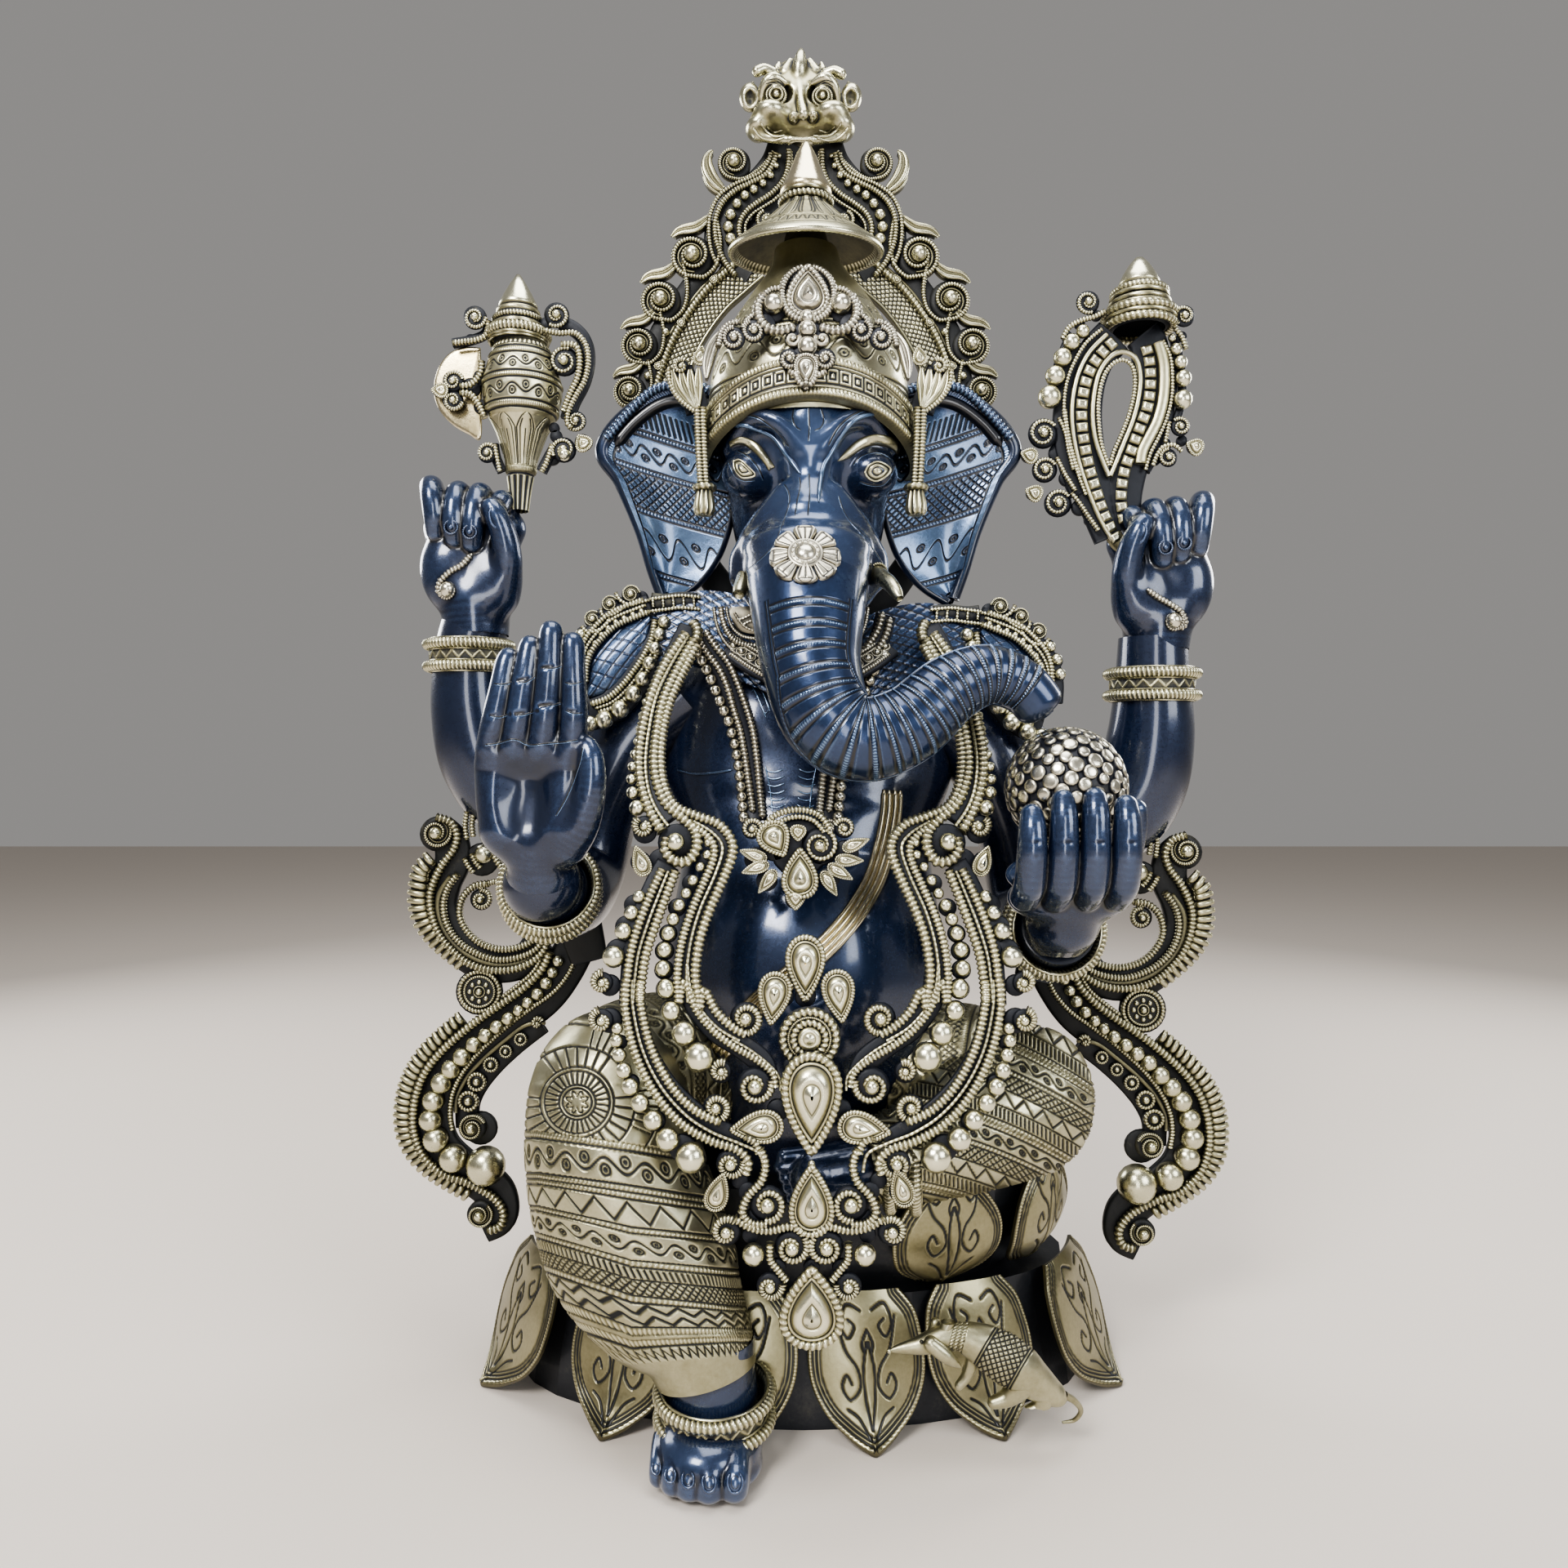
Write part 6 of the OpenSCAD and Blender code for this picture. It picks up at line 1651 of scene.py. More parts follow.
def build_fist(c, s):
    """Closed hand on its wrist at c; s = 1 for the viewer-left one."""
    x0, y0, z0 = c
    v = Vol((x0 - 50, y0 - 42, z0 - 8), (x0 + 50, y0 + 30, z0 + 104), 1.0)
    X = lambda q: x0 + s * q
    # cuff to knuckles
    v.chain([(X(0), y0, z0 - 4, 21), (X(-1), y0, z0 + 14, 23)], 6)
    v.ell((X(-3), y0 + 1, z0 + 40), (32, 20, 30), 10)
    v.ell((X(-2), y0 + 3, z0 + 64), (34, 17, 20), 8)
    v.ell((X(-18), y0 - 8, z0 + 34), (16, 13, 24), 8)
    v.ell((X(16), y0 - 8, z0 + 26), (15, 13, 22), 8)
    # three curled fingers, the outer one straight up
    v.chain([(X(-25), y0 + 2, z0 + 70, 8.2), (X(-27), y0 - 8, z0 + 88, 7.8), (X(-24), y0 - 18, z0 + 82, 7.4), (X(-22), y0 - 19, z0 + 68, 7.2), (X(-22), y0 - 15, z0 + 58, 6.6)], 1.6)
    v.chain([(X(-9), y0 + 4, z0 + 72, 8.2), (X(-9), y0 - 8, z0 + 85, 7.8), (X(-9), y0 - 18, z0 + 77, 7.4), (X(-9), y0 - 21, z0 + 62, 7.2), (X(-9), y0 - 18, z0 + 53, 6.4)], 1.6)
    v.chain([(X(6), y0 + 4, z0 + 72, 8.2), (X(5), y0 - 8, z0 + 84, 7.8), (X(4), y0 - 18, z0 + 75, 7.4), (X(3), y0 - 21, z0 + 60, 7.2), (X(2), y0 - 18, z0 + 50, 6.4)], 1.6)
    v.chain([(X(20), y0 + 4, z0 + 68, 8.0), (X(19), y0 - 6, z0 + 80, 7.6), (X(17), y0 - 14, z0 + 72, 7.0)], 2.0)
    # thumb across
    v.chain([(X(18), y0 - 6, z0 + 18, 11), (X(24), y0 - 14, z0 + 38, 9.6), (X(23), y0 - 19, z0 + 54, 8.6), (X(19), y0 - 22, z0 + 66, 7.6), (X(16), y0 - 22, z0 + 72, 6.4)], 4)
    V, Q = v.mesh(1)
    m = M()
    N = vnormals(V, Q)
    curvy = ((neighbour_mean(V, Q) - V) * N).sum(1)
    m.add(V, Q, None, np.clip(0.5 - curvy * 5, 0.15, 0.95))
    # finger-end rings and the thumb nail
    for q, zz in ((-9, 58), (3, 55)):
        cc = (X(q), y0 - 27.2, z0 + zz)
        milled_ring(m, cc, 4.2, 0.9, (0, -1, 0), deep=0.1, n=8)
        ball(m, cc, 1.8, 8, .5, .9)
    tube(m, [(X(21), y0 - 27, z0 + 57, 1.0), (X(17.5), y0 - 28.6, z0 + 60, 1.0), (X(16), y0 - 29, z0 + 66, 1.0), (X(18), y0 - 28.6, z0 + 71, 1.0)], n=6, W=0.8, taper=1)
    return m


def build_cup_hand():
    """Lower left hand: four fingers up in front of the round sweet, thumb behind its side."""
    v = Vol((104, -148, 280), (206, -66, 384), 0.95)
    v.chain([(152, -74, 293, 21), (152, -88, 302, 22)], 6)
    v.ell((152, -102, 316), (35, 17, 16), 8)
    v.ell((150, -112, 330), (36, 13, 14), 6)
    for i in range(4):
        x = 124 + i * 17.2
        v.chain([(x, -116, 318, 8.6), (x, -128, 326, 8.6), (x, -134, 342, 8.3), (x + 0.4, -133.5, 356 + (0, 6, 7, 4)[i], 7.6), (x + 0.6, -130.5, 364 + (0, 8, 9, 5)[i], 6.4)], 1.4)
    v.chain([(176, -92, 318, 10), (188, -88, 336, 9.2), (193, -90, 354, 7.8), (193.5, -93, 366, 6.4)], 4)
    for i in range(4):
        x = 124 + i * 17.2
        for z in (335, 350):
            v.cap((x - 8, -143, z), (x + 8, -143, z), 1.0, 1.0, 1.0, cut=True)
    V, Q = v.mesh(1)
    m = M()
    N = vnormals(V, Q)
    curvy = ((neighbour_mean(V, Q) - V) * N).sum(1)
    m.add(V, Q, None, np.clip(0.5 - curvy * 5, 0.15, 0.95))
    return m


def build_sweet():
    """Round sweet of many pressed pearls."""
    c, R = np.array([152.0, -96.0, 379.0]), 33.2
    m = M()
    ball(m, c, R - 0.3, 64, 0.12, 0.2)
    n = 205
    i = np.arange(n) + 0.5
    ph = np.arccos(1 - 2 * i / n)
    th = PI * (1 + 5 ** 0.5) * i
    D = np.stack([np.cos(th) * np.sin(ph), np.sin(th) * np.sin(ph), np.cos(ph)], 1)
    rs = np.random.RandomState(4)
    D = unit(D + rs.normal(0, 0.018, D.shape))
    for d in D:
        r = 4.15 + rs.uniform(-0.75, 0.6)
        x = unit(np.cross(d, [0.3, 0.2, 0.9]))
        lathe(m, [[r * 1.05, -1.2, .05], [r, 0.7, .2], [r * 0.9, 1.5, .65], [r * 0.6, 1.9, .85], [r * 0.25, 2.0, .9], [0.01, 2.0, .9]], c + d * R, d, 14)
    return m


def bangle_mesh(m, c, R, rot=(0, 0, 0), pair=True, zig=True):
    """Two milled rings with a zigzag band between them, about the arm."""
    rx, ry, rz = [math.radians(q) for q in rot]
    ax = np.array([0.0, 0.0, 1.0])
    Rx = np.array([[1, 0, 0], [0, math.cos(rx), -math.sin(rx)], [0, math.sin(rx), math.cos(rx)]])
    Rz = np.array([[math.cos(rz), -math.sin(rz), 0], [math.sin(rz), math.cos(rz), 0], [0, 0, 1]])
    ax = Rz @ Rx @ ax
    c = np.asarray(c, float)
    for h in (-7.2, 7.2):
        milled_ring(m, c + ax * h, R + 3.2, 3.7, ax, count=64, deep=0.28, n=14)
        for q in (-3.4, 3.4):
            milled_ring(m, c + ax * (h + q), R + 1.9, 0.9, ax, count=8, deep=0.0, n=6)
    prof = [[R + 0.6, -7, .2], [R + 1.6, -5, .25], [R + 1.8, 0, .3], [R + 1.6, 5, .25], [R + 0.6, 7, .2]]

    def mod(ph, r, h):
        z = np.abs((ph * 18 / (2 * PI)) % 1 - 0.5) * 4 - 1
        k = line(h - z * 2.6, 0.5, 0.6)
        return 0.7 * k, 0.5 * k
    pr = np.array([[np.interp(h, [-7, -5, 0, 5, 7], [R + 0.6, R + 1.6, R + 1.8, R + 1.6, R + 0.6]), h, 0.22] for h in np.linspace(-6.5, 6.5, 20)])
    lathe(m, pr, c, ax, 220, mod=mod)
    return m


def build_goad():
    m = M()
    S = SG
    ax = (P(500 + 520 / 3.92, 600, -4)[0])
    # body of revolution, rows (crop x half width, crop y)
    def z_of(y):
        return P(640, 320 + y / 3.92, -4)[2]
    s = 0.5407 / 3.92
    X0 = P(500 + 528 / 3.92, 400, -4)[0]
    prof = [(0, 62, .9), (10, 66, .95), (38, 110, .9), (66, 160, .85), (88, 205, .8), (92, 218, .8), (90, 228, .5), (80, 232, .1), (98, 240, .1), (104, 246, .6), (104, 262, .6), (98, 268, .1)]
    rows = [[w * s, z_of(y), c] for w, y, c in prof]
    lathe(m, rows[::-1], (X0, -4, 0), (0, 0, 1), 64)
    zc = lambda y: z_of(y)
    for y, w, r, milled in ((290, 110, 10, True), (318, 118, 5, False), (330, 128, 7, False), (358, 134, 17, True), (386, 140, 6, False), (398, 136, 5, False)):
        if milled:
            milled_ring(m, (X0, -4, zc(y)), w * s, r * s * 1.5, (0, 0, 1), count=46, deep=.3, n=10)
        else:
            milled_ring(m, (X0, -4, zc(y)), w * s, r * s * 1.3, (0, 0, 1), count=12, deep=0.0, n=10)
    lathe(m, [[96 * s, zc(412), .1], [112 * s, zc(400), .2], [112 * s, zc(275), .15], [96 * s, zc(262), .1]], (X0, -4, 0), (0, 0, 1), 48)
    # urn body with engraved scroll bands
    X1 = P(500 + 545 / 3.92, 480, -4)[0]
    U0 = [(118, 405), (130, 425), (140, 445), (150, 470), (166, 520), (182, 570), (188, 610), (186, 650), (176, 700), (170, 735), (150, 770), (120, 830), (95, 900), (76, 960), (70, 1000), (62, 1040), (52, 1100), (46, 1160), (42, 1200)]
    yy = np.linspace(405, 1200, 330)
    ww = np.interp(yy, [q[1] for q in U0], [q[0] for q in U0])
    k = np.ones(9) / 9
    ww = np.convolve(np.pad(ww, 4, mode="edge"), k, mode="valid")
    ph = np.linspace(0, 2 * PI, 300, endpoint=False)
    YY, PH = np.meshgrid(yy, ph, indexing="ij")
    RR = np.repeat(ww[:, None], 300, 1) * s
    arc = PH / (2 * PI) * 190.0
    H = np.zeros_like(RR)
    W = np.full_like(RR, 0.6)

    def band(y0, y1, kind, p):
        nonlocal H, W
        inb = (YY >= y0) & (YY < y1)
        t = (YY - (y0 + y1) / 2) * s
        h = (y1 - y0) / 2 * s
        if kind == "rope":
            v = np.sqrt(np.clip(1 - (t / h) ** 2, 0, 1)) * (0.45 + 0.55 * (0.5 + 0.5 * np.cos(2 * PI * arc / p)))
            H = np.where(inb, 0.9 * v, H); W = np.where(inb, 0.15 + 0.8 * v, W)
        elif kind == "line":
            v = 1 - line(t, h * 0.5, 0.35)
            H = np.where(inb, -0.6 * (1 - v), H); W = np.where(inb, 0.05 + 0.6 * v, W)
        elif kind == "wave":
            v = pat_wave(arc, t, h, p)
            H = np.where(inb, 0.2 - 0.7 * (1 - v), H); W = np.where(inb, 0.08 + 0.62 * v, W)
        elif kind == "dots":
            v = pat_dots(arc, t, h, p)
            H = np.where(inb, 0.9 * v - 0.2, H); W = np.where(inb, 0.1 + 0.85 * v, W)
    band(412, 446, "dots", 5.0)
    band(446, 462, "line", 1)
    band(462, 486, "rope", 1.9)
    band(486, 496, "line", 1)
    band(496, 580, "wave", 21.0)
    band(580, 592, "line", 1)
    band(592, 612, "rope", 1.9)
    band(612, 624, "line", 1)
    band(624, 708, "wave", 21.0)
    band(708, 720, "line", 1)
    band(720, 744, "rope", 1.9)
    band(744, 754, "line", 1)
    # leaf flutes round the neck: 8 pointed arches
    g = (YY >= 770) & (YY < 990)
    tt = (YY - 770) / 220
    sa = (PH * 8 / (2 * PI)) % 1 - 0.5
    edge = 0.46 * np.clip(tt / 0.28, 0, 1) ** 0.6
    d = (np.abs(sa) - edge)
    v1 = line(d * 26, 0.3, 0.5)
    v2 = line((np.abs(sa) - edge * 0.62) * 26, 0.25, 0.5) * (tt > 0.12)
    mid = line(sa * 26, 0.2, 0.5) * (tt > 0.3)
    v = np.clip(v1 + v2 + mid, 0, 1)
    H = np.where(g, -0.7 * v + 0.5 * np.cos(sa * 2 * PI) * 0.6, H)
    W = np.where(g, 0.7 - 0.66 * v, W)
    band(994, 1024, "rope", 1.7)
    band(1024, 1040, "line", 1)
    g = YY >= 1040
    fl = np.cos(PH * 12)
    H = np.where(g, 0.5 * fl, H)
    W = np.where(g, 0.35 + 0.4 * fl, W)
    cx = np.interp(YY, [405, 600, 1000, 1200], [0, 0.4, -0.6, -1.6])
    R2 = RR + H
    V = np.stack([X1 + cx + R2 * np.cos(PH), -4 + R2 * np.sin(PH), 381.0 - (320 + YY / 3.92 - 960) * 0.5407], -1)
    m.add(V, gridq(len(yy), 300, False, True)[:, ::-1], None, W.ravel())
    # right handle: strap with volutes
    S2_ = S
    S.strap(m, [(735, 300), (800, 330), (850, 390), (862, 480), (840, 580), (790, 680), (765, 760)], 34, dy=-4, t=3)
    S.rope(m, [(650, 330), (720, 345), (800, 345), (850, 400), (862, 480), (845, 570), (800, 650), (768, 720), (765, 780), (790, 800)], 13)
    S.rope(m, [(735, 400), (800, 405), (822, 460), (815, 550), (775, 640), (745, 720)], 16)
    S.vol(m, 712, 258, 66, -2.2, 1, turns=1.3)
    S.vol(m, 748, 480, 78, 1.2, 1, turns=1.35)
    S.vol(m, 805, 766, 54, -2.4, 1, turns=1.2)
    S.vol(m, 745, 905, 66, -2.6, -1, turns=1.2)
    S.rope(m, [(640, 1010), (665, 960), (680, 915), (690, 880)], 12)
    S.drop(m, 838, 870, 84, 84, -0.6)
    ball(m, S.p(748, 928, 3), S.mm(30), 12, .5, 1)
    S.plate(m, [(712, 258, 60), (748, 480, 70), (805, 766, 46), (745, 905, 60), (838, 870, 40), (690, 940, 40), (660, 300, 30), (700, 800, 26), (710, 840, 30)], dy=-4)
    S.strap(m, [(640, 1010), (672, 950), (700, 900)], 26, dy=-4, t=2)
    # left volutes
    S.vol(m, 320, 270, 62, 0.0, -1, turns=1.3)
    S.rope(m, [(385, 290), (375, 350), (330, 376), (270, 385), (215, 392)], 13)
    S.vol(m, 215, 575, 56, 0.2, 1, turns=1.2)
    S.rope(m, [(352, 480), (345, 540), (300, 590), (250, 600)], 16)
    S.vol(m, 215, 668, 54, -0.2, -1, turns=1.2)
    S.rope(m, [(366, 750), (340, 690), (300, 640), (250, 632)], 16)
    S.drop(m, 150, 620, 70, 80, -1.5)
    S.vol(m, 378, 920, 52, 0.8, 1, turns=1.2)
    S.rope(m, [(415, 880), (425, 940), (440, 1010)], 10)
    S.plate(m, [(320, 270, 56), (215, 575, 50), (215, 668, 50), (150, 620, 34), (378, 920, 44), (300, 610, 50), (350, 560, 40), (350, 700, 36), (300, 376, 26)], dy=-4)
    S.strap(m, [(390, 290), (370, 350), (300, 380), (215, 395)], 22, dy=-4, t=2)
    S.strap(m, [(410, 880), (420, 940), (450, 1010)], 24, dy=-4, t=2)
    return m


def build_goad_shield():
    """Plain curved blade behind the left scrolls."""
    m = M()
    out = [(345, 415), (270, 412), (200, 440), (150, 500), (125, 580), (128, 660), (160, 730), (220, 790), (290, 830), (345, 850), (350, 700), (352, 560), (345, 415)]
    A = np.array([SG.p(x, y, -5) for x, y in out])
    loop, _ = curve(A, 1.2)
    loop = loop[:-1]
    c = np.array([SG.p(290, 630, -5)])[0]
    n = len(loop)
    rings, W = [], []
    for sc, lf, w in ((0.02, 1.4, .6), (0.5, 1.3, .62), (0.9, 0.9, .6), (0.97, 0.7, .85), (1.0, 0.2, .9), (1.0, -1.2, .7), (0.9, -1.6, .5), (0.02, -1.8, .5)):
        rings.append(c + (loop - c) * sc + np.array([0, -1, 0]) * lf)
        W.append(np.full(n, w))
    m.add(np.concatenate(rings), gridq(len(rings), n, False, True), None, np.concatenate(W))
    return m


# ---------------------------------------------------------------- noose


def square_row(m, S, rows, w, gap=1.25, dy=2.0, h=1.7):
    """Row of cushion-shaped square studs along a sheet path."""
    C, s = curve(S.path(rows, dy), 0.4)
    hw = S.mm(w)
    p = hw
    d = unit(np.gradient(C[:, :3], axis=0))
    while p < s[-1]:
        i = min(len(C) - 1, int(np.searchsorted(s, p)))
        t = d[i]
        b = np.array([0, -1.0, 0])
        a = unit(np.cross(t, b))
        u = np.linspace(-1, 1, 7)
        A, B = np.meshgrid(u, u, indexing="ij")
        q = np.maximum(np.abs(A), np.abs(B))
        hh = h * (1 - np.clip((q - 0.5) / 0.5, 0, 1) ** 3)
        V = C[i, :3] + a * (A * hw)[..., None] + t * (B * hw * 0.82)[..., None] + b * hh[..., None]
        m.add(V, gridq(7, 7), None, (0.25 + 0.65 * np.clip(1.2 - q, 0, 1) ** 0.5).ravel())
        p += 2 * hw * 0.82 * gap
    return m


def build_noose():
    m = M()
    S = SN
    X0 = P(1220 + 685 / 3.92, 360, -4)[0]
    s = 0.5407 / 3.92
    zc = lambda y: 381.0 - (300 + y / 3.92 - 960) * 0.5407
    prof = [(0, 62, .95), (22, 66, .95), (50, 100, .9), (78, 145, .85), (96, 185, .8), (96, 196, .6), (88, 204, .15), (100, 212, .15)]
    rows = [[w * s, zc(y), c] for w, y, c in prof]
    lathe(m, rows[::-1], (X0, -4, 0), (0, 0, 1), 56)
    for y, w, r in ((236, 122, 13), (258, 128, 9), (292, 136, 10), (318, 150, 7), (342, 162, 15), (368, 164, 8), (396, 158, 15)):
        milled_ring(m, (X0, -4, zc(y)), w * s, r * s * 1.35, (0, 0, 1), count=40 if r > 12 else 10, deep=.16 if r > 12 else 0.0, n=10)
    lathe(m, [[120 * s, zc(410), .1], [146 * s, zc(395), .15], [140 * s, zc(330), .12], [112 * s, zc(220), .1], [96 * s, zc(205), .1]], (X0, -4, 0), (0, 0, 1), 48)
    # plate
    for rows, w in (([(560, 1400), (500, 1260), (450, 1120), (420, 960), (410, 800), (430, 650), (480, 530), (560, 440)], 95),
                    ([(600, 1330), (610, 1180), (650, 1020), (710, 880), (745, 740), (745, 600), (730, 480), (700, 430)], 90),
                    ([(400, 1200), (350, 1060), (320, 900), (330, 740), (350, 600), (400, 480)], 50),
                    ([(700, 1080), (770, 940), (810, 800), (825, 650), (810, 500)], 40)):
        S.strap(m, rows, w, dy=-3.5, t=2.2, W=0.1)
    # inner eye: rope, then plain round bar
    S.rope(m, [(540, 1060), (505, 960), (490, 850), (490, 740), (515, 630), (560, 570), (610, 552), (650, 580), (665, 640), (660, 720), (635, 820), (600, 910), (565, 990), (545, 1060)], 10)
    tube(m, S.path([(540, 1110), (482, 960), (462, 840), (468, 720), (495, 610), (550, 535), (610, 512), (668, 545), (690, 630), (682, 730), (655, 840), (615, 940), (575, 1040), (545, 1110)], 1.5), r=S.mm(13), n=8, W=0.7, step=1.0)
    square_row(m, S, [(575, 455), (515, 510), (462, 580), (430, 660), (412, 760), (412, 860), (425, 960), (445, 1060), (475, 1160), (510, 1270), (545, 1350), (580, 1420)], 27)
    square_row(m, S, [(715, 475), (733, 540), (740, 620), (738, 700), (725, 780), (700, 850), (670, 930), (645, 1000), (620, 1070), (606, 1140), (600, 1220), (610, 1300), (618, 1340)], 27)
    tube(m, S.path([(530, 430), (450, 510), (400, 600), (372, 700), (362, 800), (368, 900), (388, 1010), (420, 1120), (460, 1230), (510, 1340), (560, 1420)], 1.5), r=S.mm(12), n=8, W=0.7, step=1.0)
    S.rope(m, [(505, 405), (430, 470), (375, 560), (340, 650), (325, 750), (330, 850), (352, 960), (385, 1080), (430, 1200)], 9)
    S.rope(m, [(330, 790), (345, 900), (370, 1010), (405, 1110)], 8)
    # right plain blade and rope
    S.strap(m, [(775, 470), (800, 560), (805, 660), (795, 760), (770, 850), (735, 920), (700, 990), (690, 1050)], 26, dy=1.0, t=2.0, W=0.6)
    S.rope(m, [(800, 460), (835, 540), (845, 640), (840, 740), (815, 840), (780, 920), (740, 1000), (715, 1080)], 9)
    # upper side curls
    S.vol(m, 440, 275, 62, -1.2, -1, turns=1.3)
    S.rope(m, [(520, 320), (470, 345), (410, 362), (350, 395), (318, 450)], 12)
    S.vol(m, 902, 340, 58, -2.2, -1, turns=1.25)
    S.rope(m, [(850, 330), (860, 400), (890, 440), (910, 500)], 12)
    S.plate(m, [(440, 275, 54), (902, 340, 50), (400, 380, 26), (340, 440, 26), (890, 440, 24), (480, 340, 26)], dy=-3.5)
    S.beads(m, [(415, 415, 27), (362, 466, 33), (318, 540, 37), (282, 628, 40), (255, 730, 46), (843, 445, 16), (862, 500, 24), (884, 563, 27), (896, 640, 33), (894, 742, 38)], n=14)
    S.plate(m, [(415, 415, 27), (362, 466, 31), (318, 540, 33), (282, 628, 36), (255, 730, 40), (862, 500, 22), (884, 563, 25), (896, 640, 29), (894, 742, 34)], dy=-3.0)
    S.strap(m, [(350, 440), (300, 560), (270, 680), (262, 760)], 20, dy=-4)
    S.strap(m, [(850, 450), (880, 560), (890, 660), (886, 760), (860, 850)], 20, dy=-4)
    # lower left volutes
    for x, y, r, a in ((225, 905, 78, 0.6), (232, 1080, 66, 0.5), (296, 1240, 72, 0.6)):
        S.vol(m, x, y, r, a, 1, turns=1.4)
    S.rope(m, [(300, 830), (330, 900), (345, 980), (370, 1080)], 10)
    S.rope(m, [(290, 1020), (330, 1100), (380, 1180)], 11)
    S.rope(m, [(360, 1190), (400, 1240), (440, 1300), (490, 1370)], 11)
    S.drop(m, 155, 1010, 74, 84, -1.3)
    S.drop(m, 178, 1190, 80, 84, -1.2)
    S.plate(m, [(225, 905, 72), (232, 1080, 60), (296, 1240, 66), (155, 1010, 36), (178, 1190, 36), (300, 1000, 50), (340, 1120, 40), (400, 1260, 40), (450, 1320, 30)], dy=-3.5)
    # lower right
    S.vol(m, 884, 872, 50, 2.4, -1, turns=1.2)
    S.rope(m, [(830, 850), (820, 900), (810, 950)], 10)
    S.vol(m, 826, 1020, 50, 1.6, 1, turns=1.15)
    S.rope(m, [(890, 990), (850, 960), (800, 970), (770, 1010), (750, 1060)], 11)
    S.drop(m, 950, 968, 80, 84, -1.2)
    S.plate(m, [(884, 872, 44), (826, 1020, 40), (950, 968, 36), (800, 960, 40), (890, 940, 26), (760, 1030, 30)], dy=-3.5)
    # both stems run down into the hand
    tube(m, [tuple(S.p(560, 1390, -3)) + (5.5,), tuple(S.p(600, 1440, -3)) + (5.5,), (220, -6, 540, 5.5), (221, -6, 520, 5.5)], n=12, W=0.4)
    return m

# ---------------------------------------------------------------- halo, mask and crown

SH = Sheet(800, 30, 4.3556, lambda v: 38.0, fat=1.4)
SJ = Sheet(720, 160, 2.9037, lambda v: 38.0, fat=1.4)
HCX = 3.9


def hatch_band():
    """Crosshatched arch plate with rope edges (viewer-left half, from the crown roof down behind the shoulders)."""
    m = M()
    edge = np.array([(-38, 40, 752), (-52.8, 40, 739), (-65.7, 40, 727), (-79.5, 40, 709), (-89.4, 40, 691.5), (-96.3, 40, 673.8), (-101.2, 40, 656), (-103.5, 40, 634), (-102, 40, 610), (-97, 40, 585), (-88, 40, 562), (-72, 40, 538)], float)
    C, s = curve(edge, 0.7)
    t = unit(np.gradient(C, axis=0))
    inn = np.stack([t[:, 2] * -1, np.zeros(len(t)), t[:, 0]], 1)      # towards the middle
    inn = np.where((inn[:, :1] < 0), -inn, inn)
    wv = np.linspace(0, 1, 60)
    wd = 20.0
    V = C[:, None] + inn[:, None] * (wv[None, :, None] * wd)
    S, Tt = np.meshgrid(s, wv * wd, indexing="ij")
    h = pat_hatch(S, Tt, 4.4)
    bord = line(Tt - 18.6, 0.5, 0.5)
    H = np.where(Tt > 17.6, 0.8 * bord, h)
    W = np.where(Tt > 17.6, 0.2 + 0.6 * bord, 0.1 + 0.72 * h)
    V = V + np.array([0, -1.0, 0]) * (H * 0.9)[..., None]
    m.add(V, gridq(len(C), 60)[:, ::-1], None, W.ravel())
    Vb = C[::4, None] + inn[::4, None] * (wv[None, ::6, None] * wd) + np.array([0, 5.0, 0])
    m.add(Vb, gridq(*Vb.shape[:2]), None, 0.4)
    # edge closings
    for j, rev in ((0, False), (-1, True)):
        e = np.stack([V[:, j], V[:, j] + np.array([0, 5.5, 0])], 1)
        q = gridq(len(C), 2)
        m.add(e, q[:, ::-1] if rev else q, None, 0.3)
    rope(m, C + np.array([0, -1.2, 0]), r=3.0, pitch=2.9, n=10, deep=0.2)
    tube(m, np.vstack([C[::6] - inn[::6] * 3.6 + np.array([0, 0.2, 0])]), r=1.3, n=8, W=0.6)
    return m


def big_volute(m, S, x, y, r, a0, hand, tail=None, dy=1.5):
    """Double-rope spiral with a large ball, on a dished back."""
    c = S.p(x, y, dy)
    R = S.mm(r)
    lathe(m, [[0, -6.5, .4], [R * .86, -6.5, .4], [R * .95, -5.5, .4], [R * .95, -1.6, .2], [R * .7, -1.2, .1], [0, -1.2, .08]], c, (0, -1, 0), 28)
    th = np.linspace(0, 2 * PI * 1.5, 60)
    t = th / th[-1]
    rho = R * (0.93 - 0.62 * t)
    tr = R * 0.125 * (1 - 0.25 * t)
    ang = a0 + hand * th
    C = np.stack([c[0] + rho * np.cos(ang), c[1] - 0.8 * t * R * 0.2, c[2] + rho * np.sin(ang), tr], 1)
    pts = C[::4]
    if tail is not None:
        tl = [list(S.p(q[0], q[1], dy)) + [tr[0] * 0.95] for q in tail]
        pts = np.vstack([tl, pts])
    rope(m, pts, pitch=R * 0.13, n=8, deep=0.3, twist=0.25)
    # thin inner companion line
    C2 = C.copy()
    f = (rho - tr * 1.75) / rho
    C2[:, 0] = c[0] + (C[:, 0] - c[0]) * f
    C2[:, 2] = c[2] + (C[:, 2] - c[2]) * f
    C2[:, 3] = tr * 0.42
    C2[:, 1] += 0.5
    tube(m, C2[:44:3], n=6, W=0.55, step=1.0)
    ball(m, c + np.array([0, -R * 0.16, 0]), R * 0.36, 18, 0.45, 1.0)
    return m


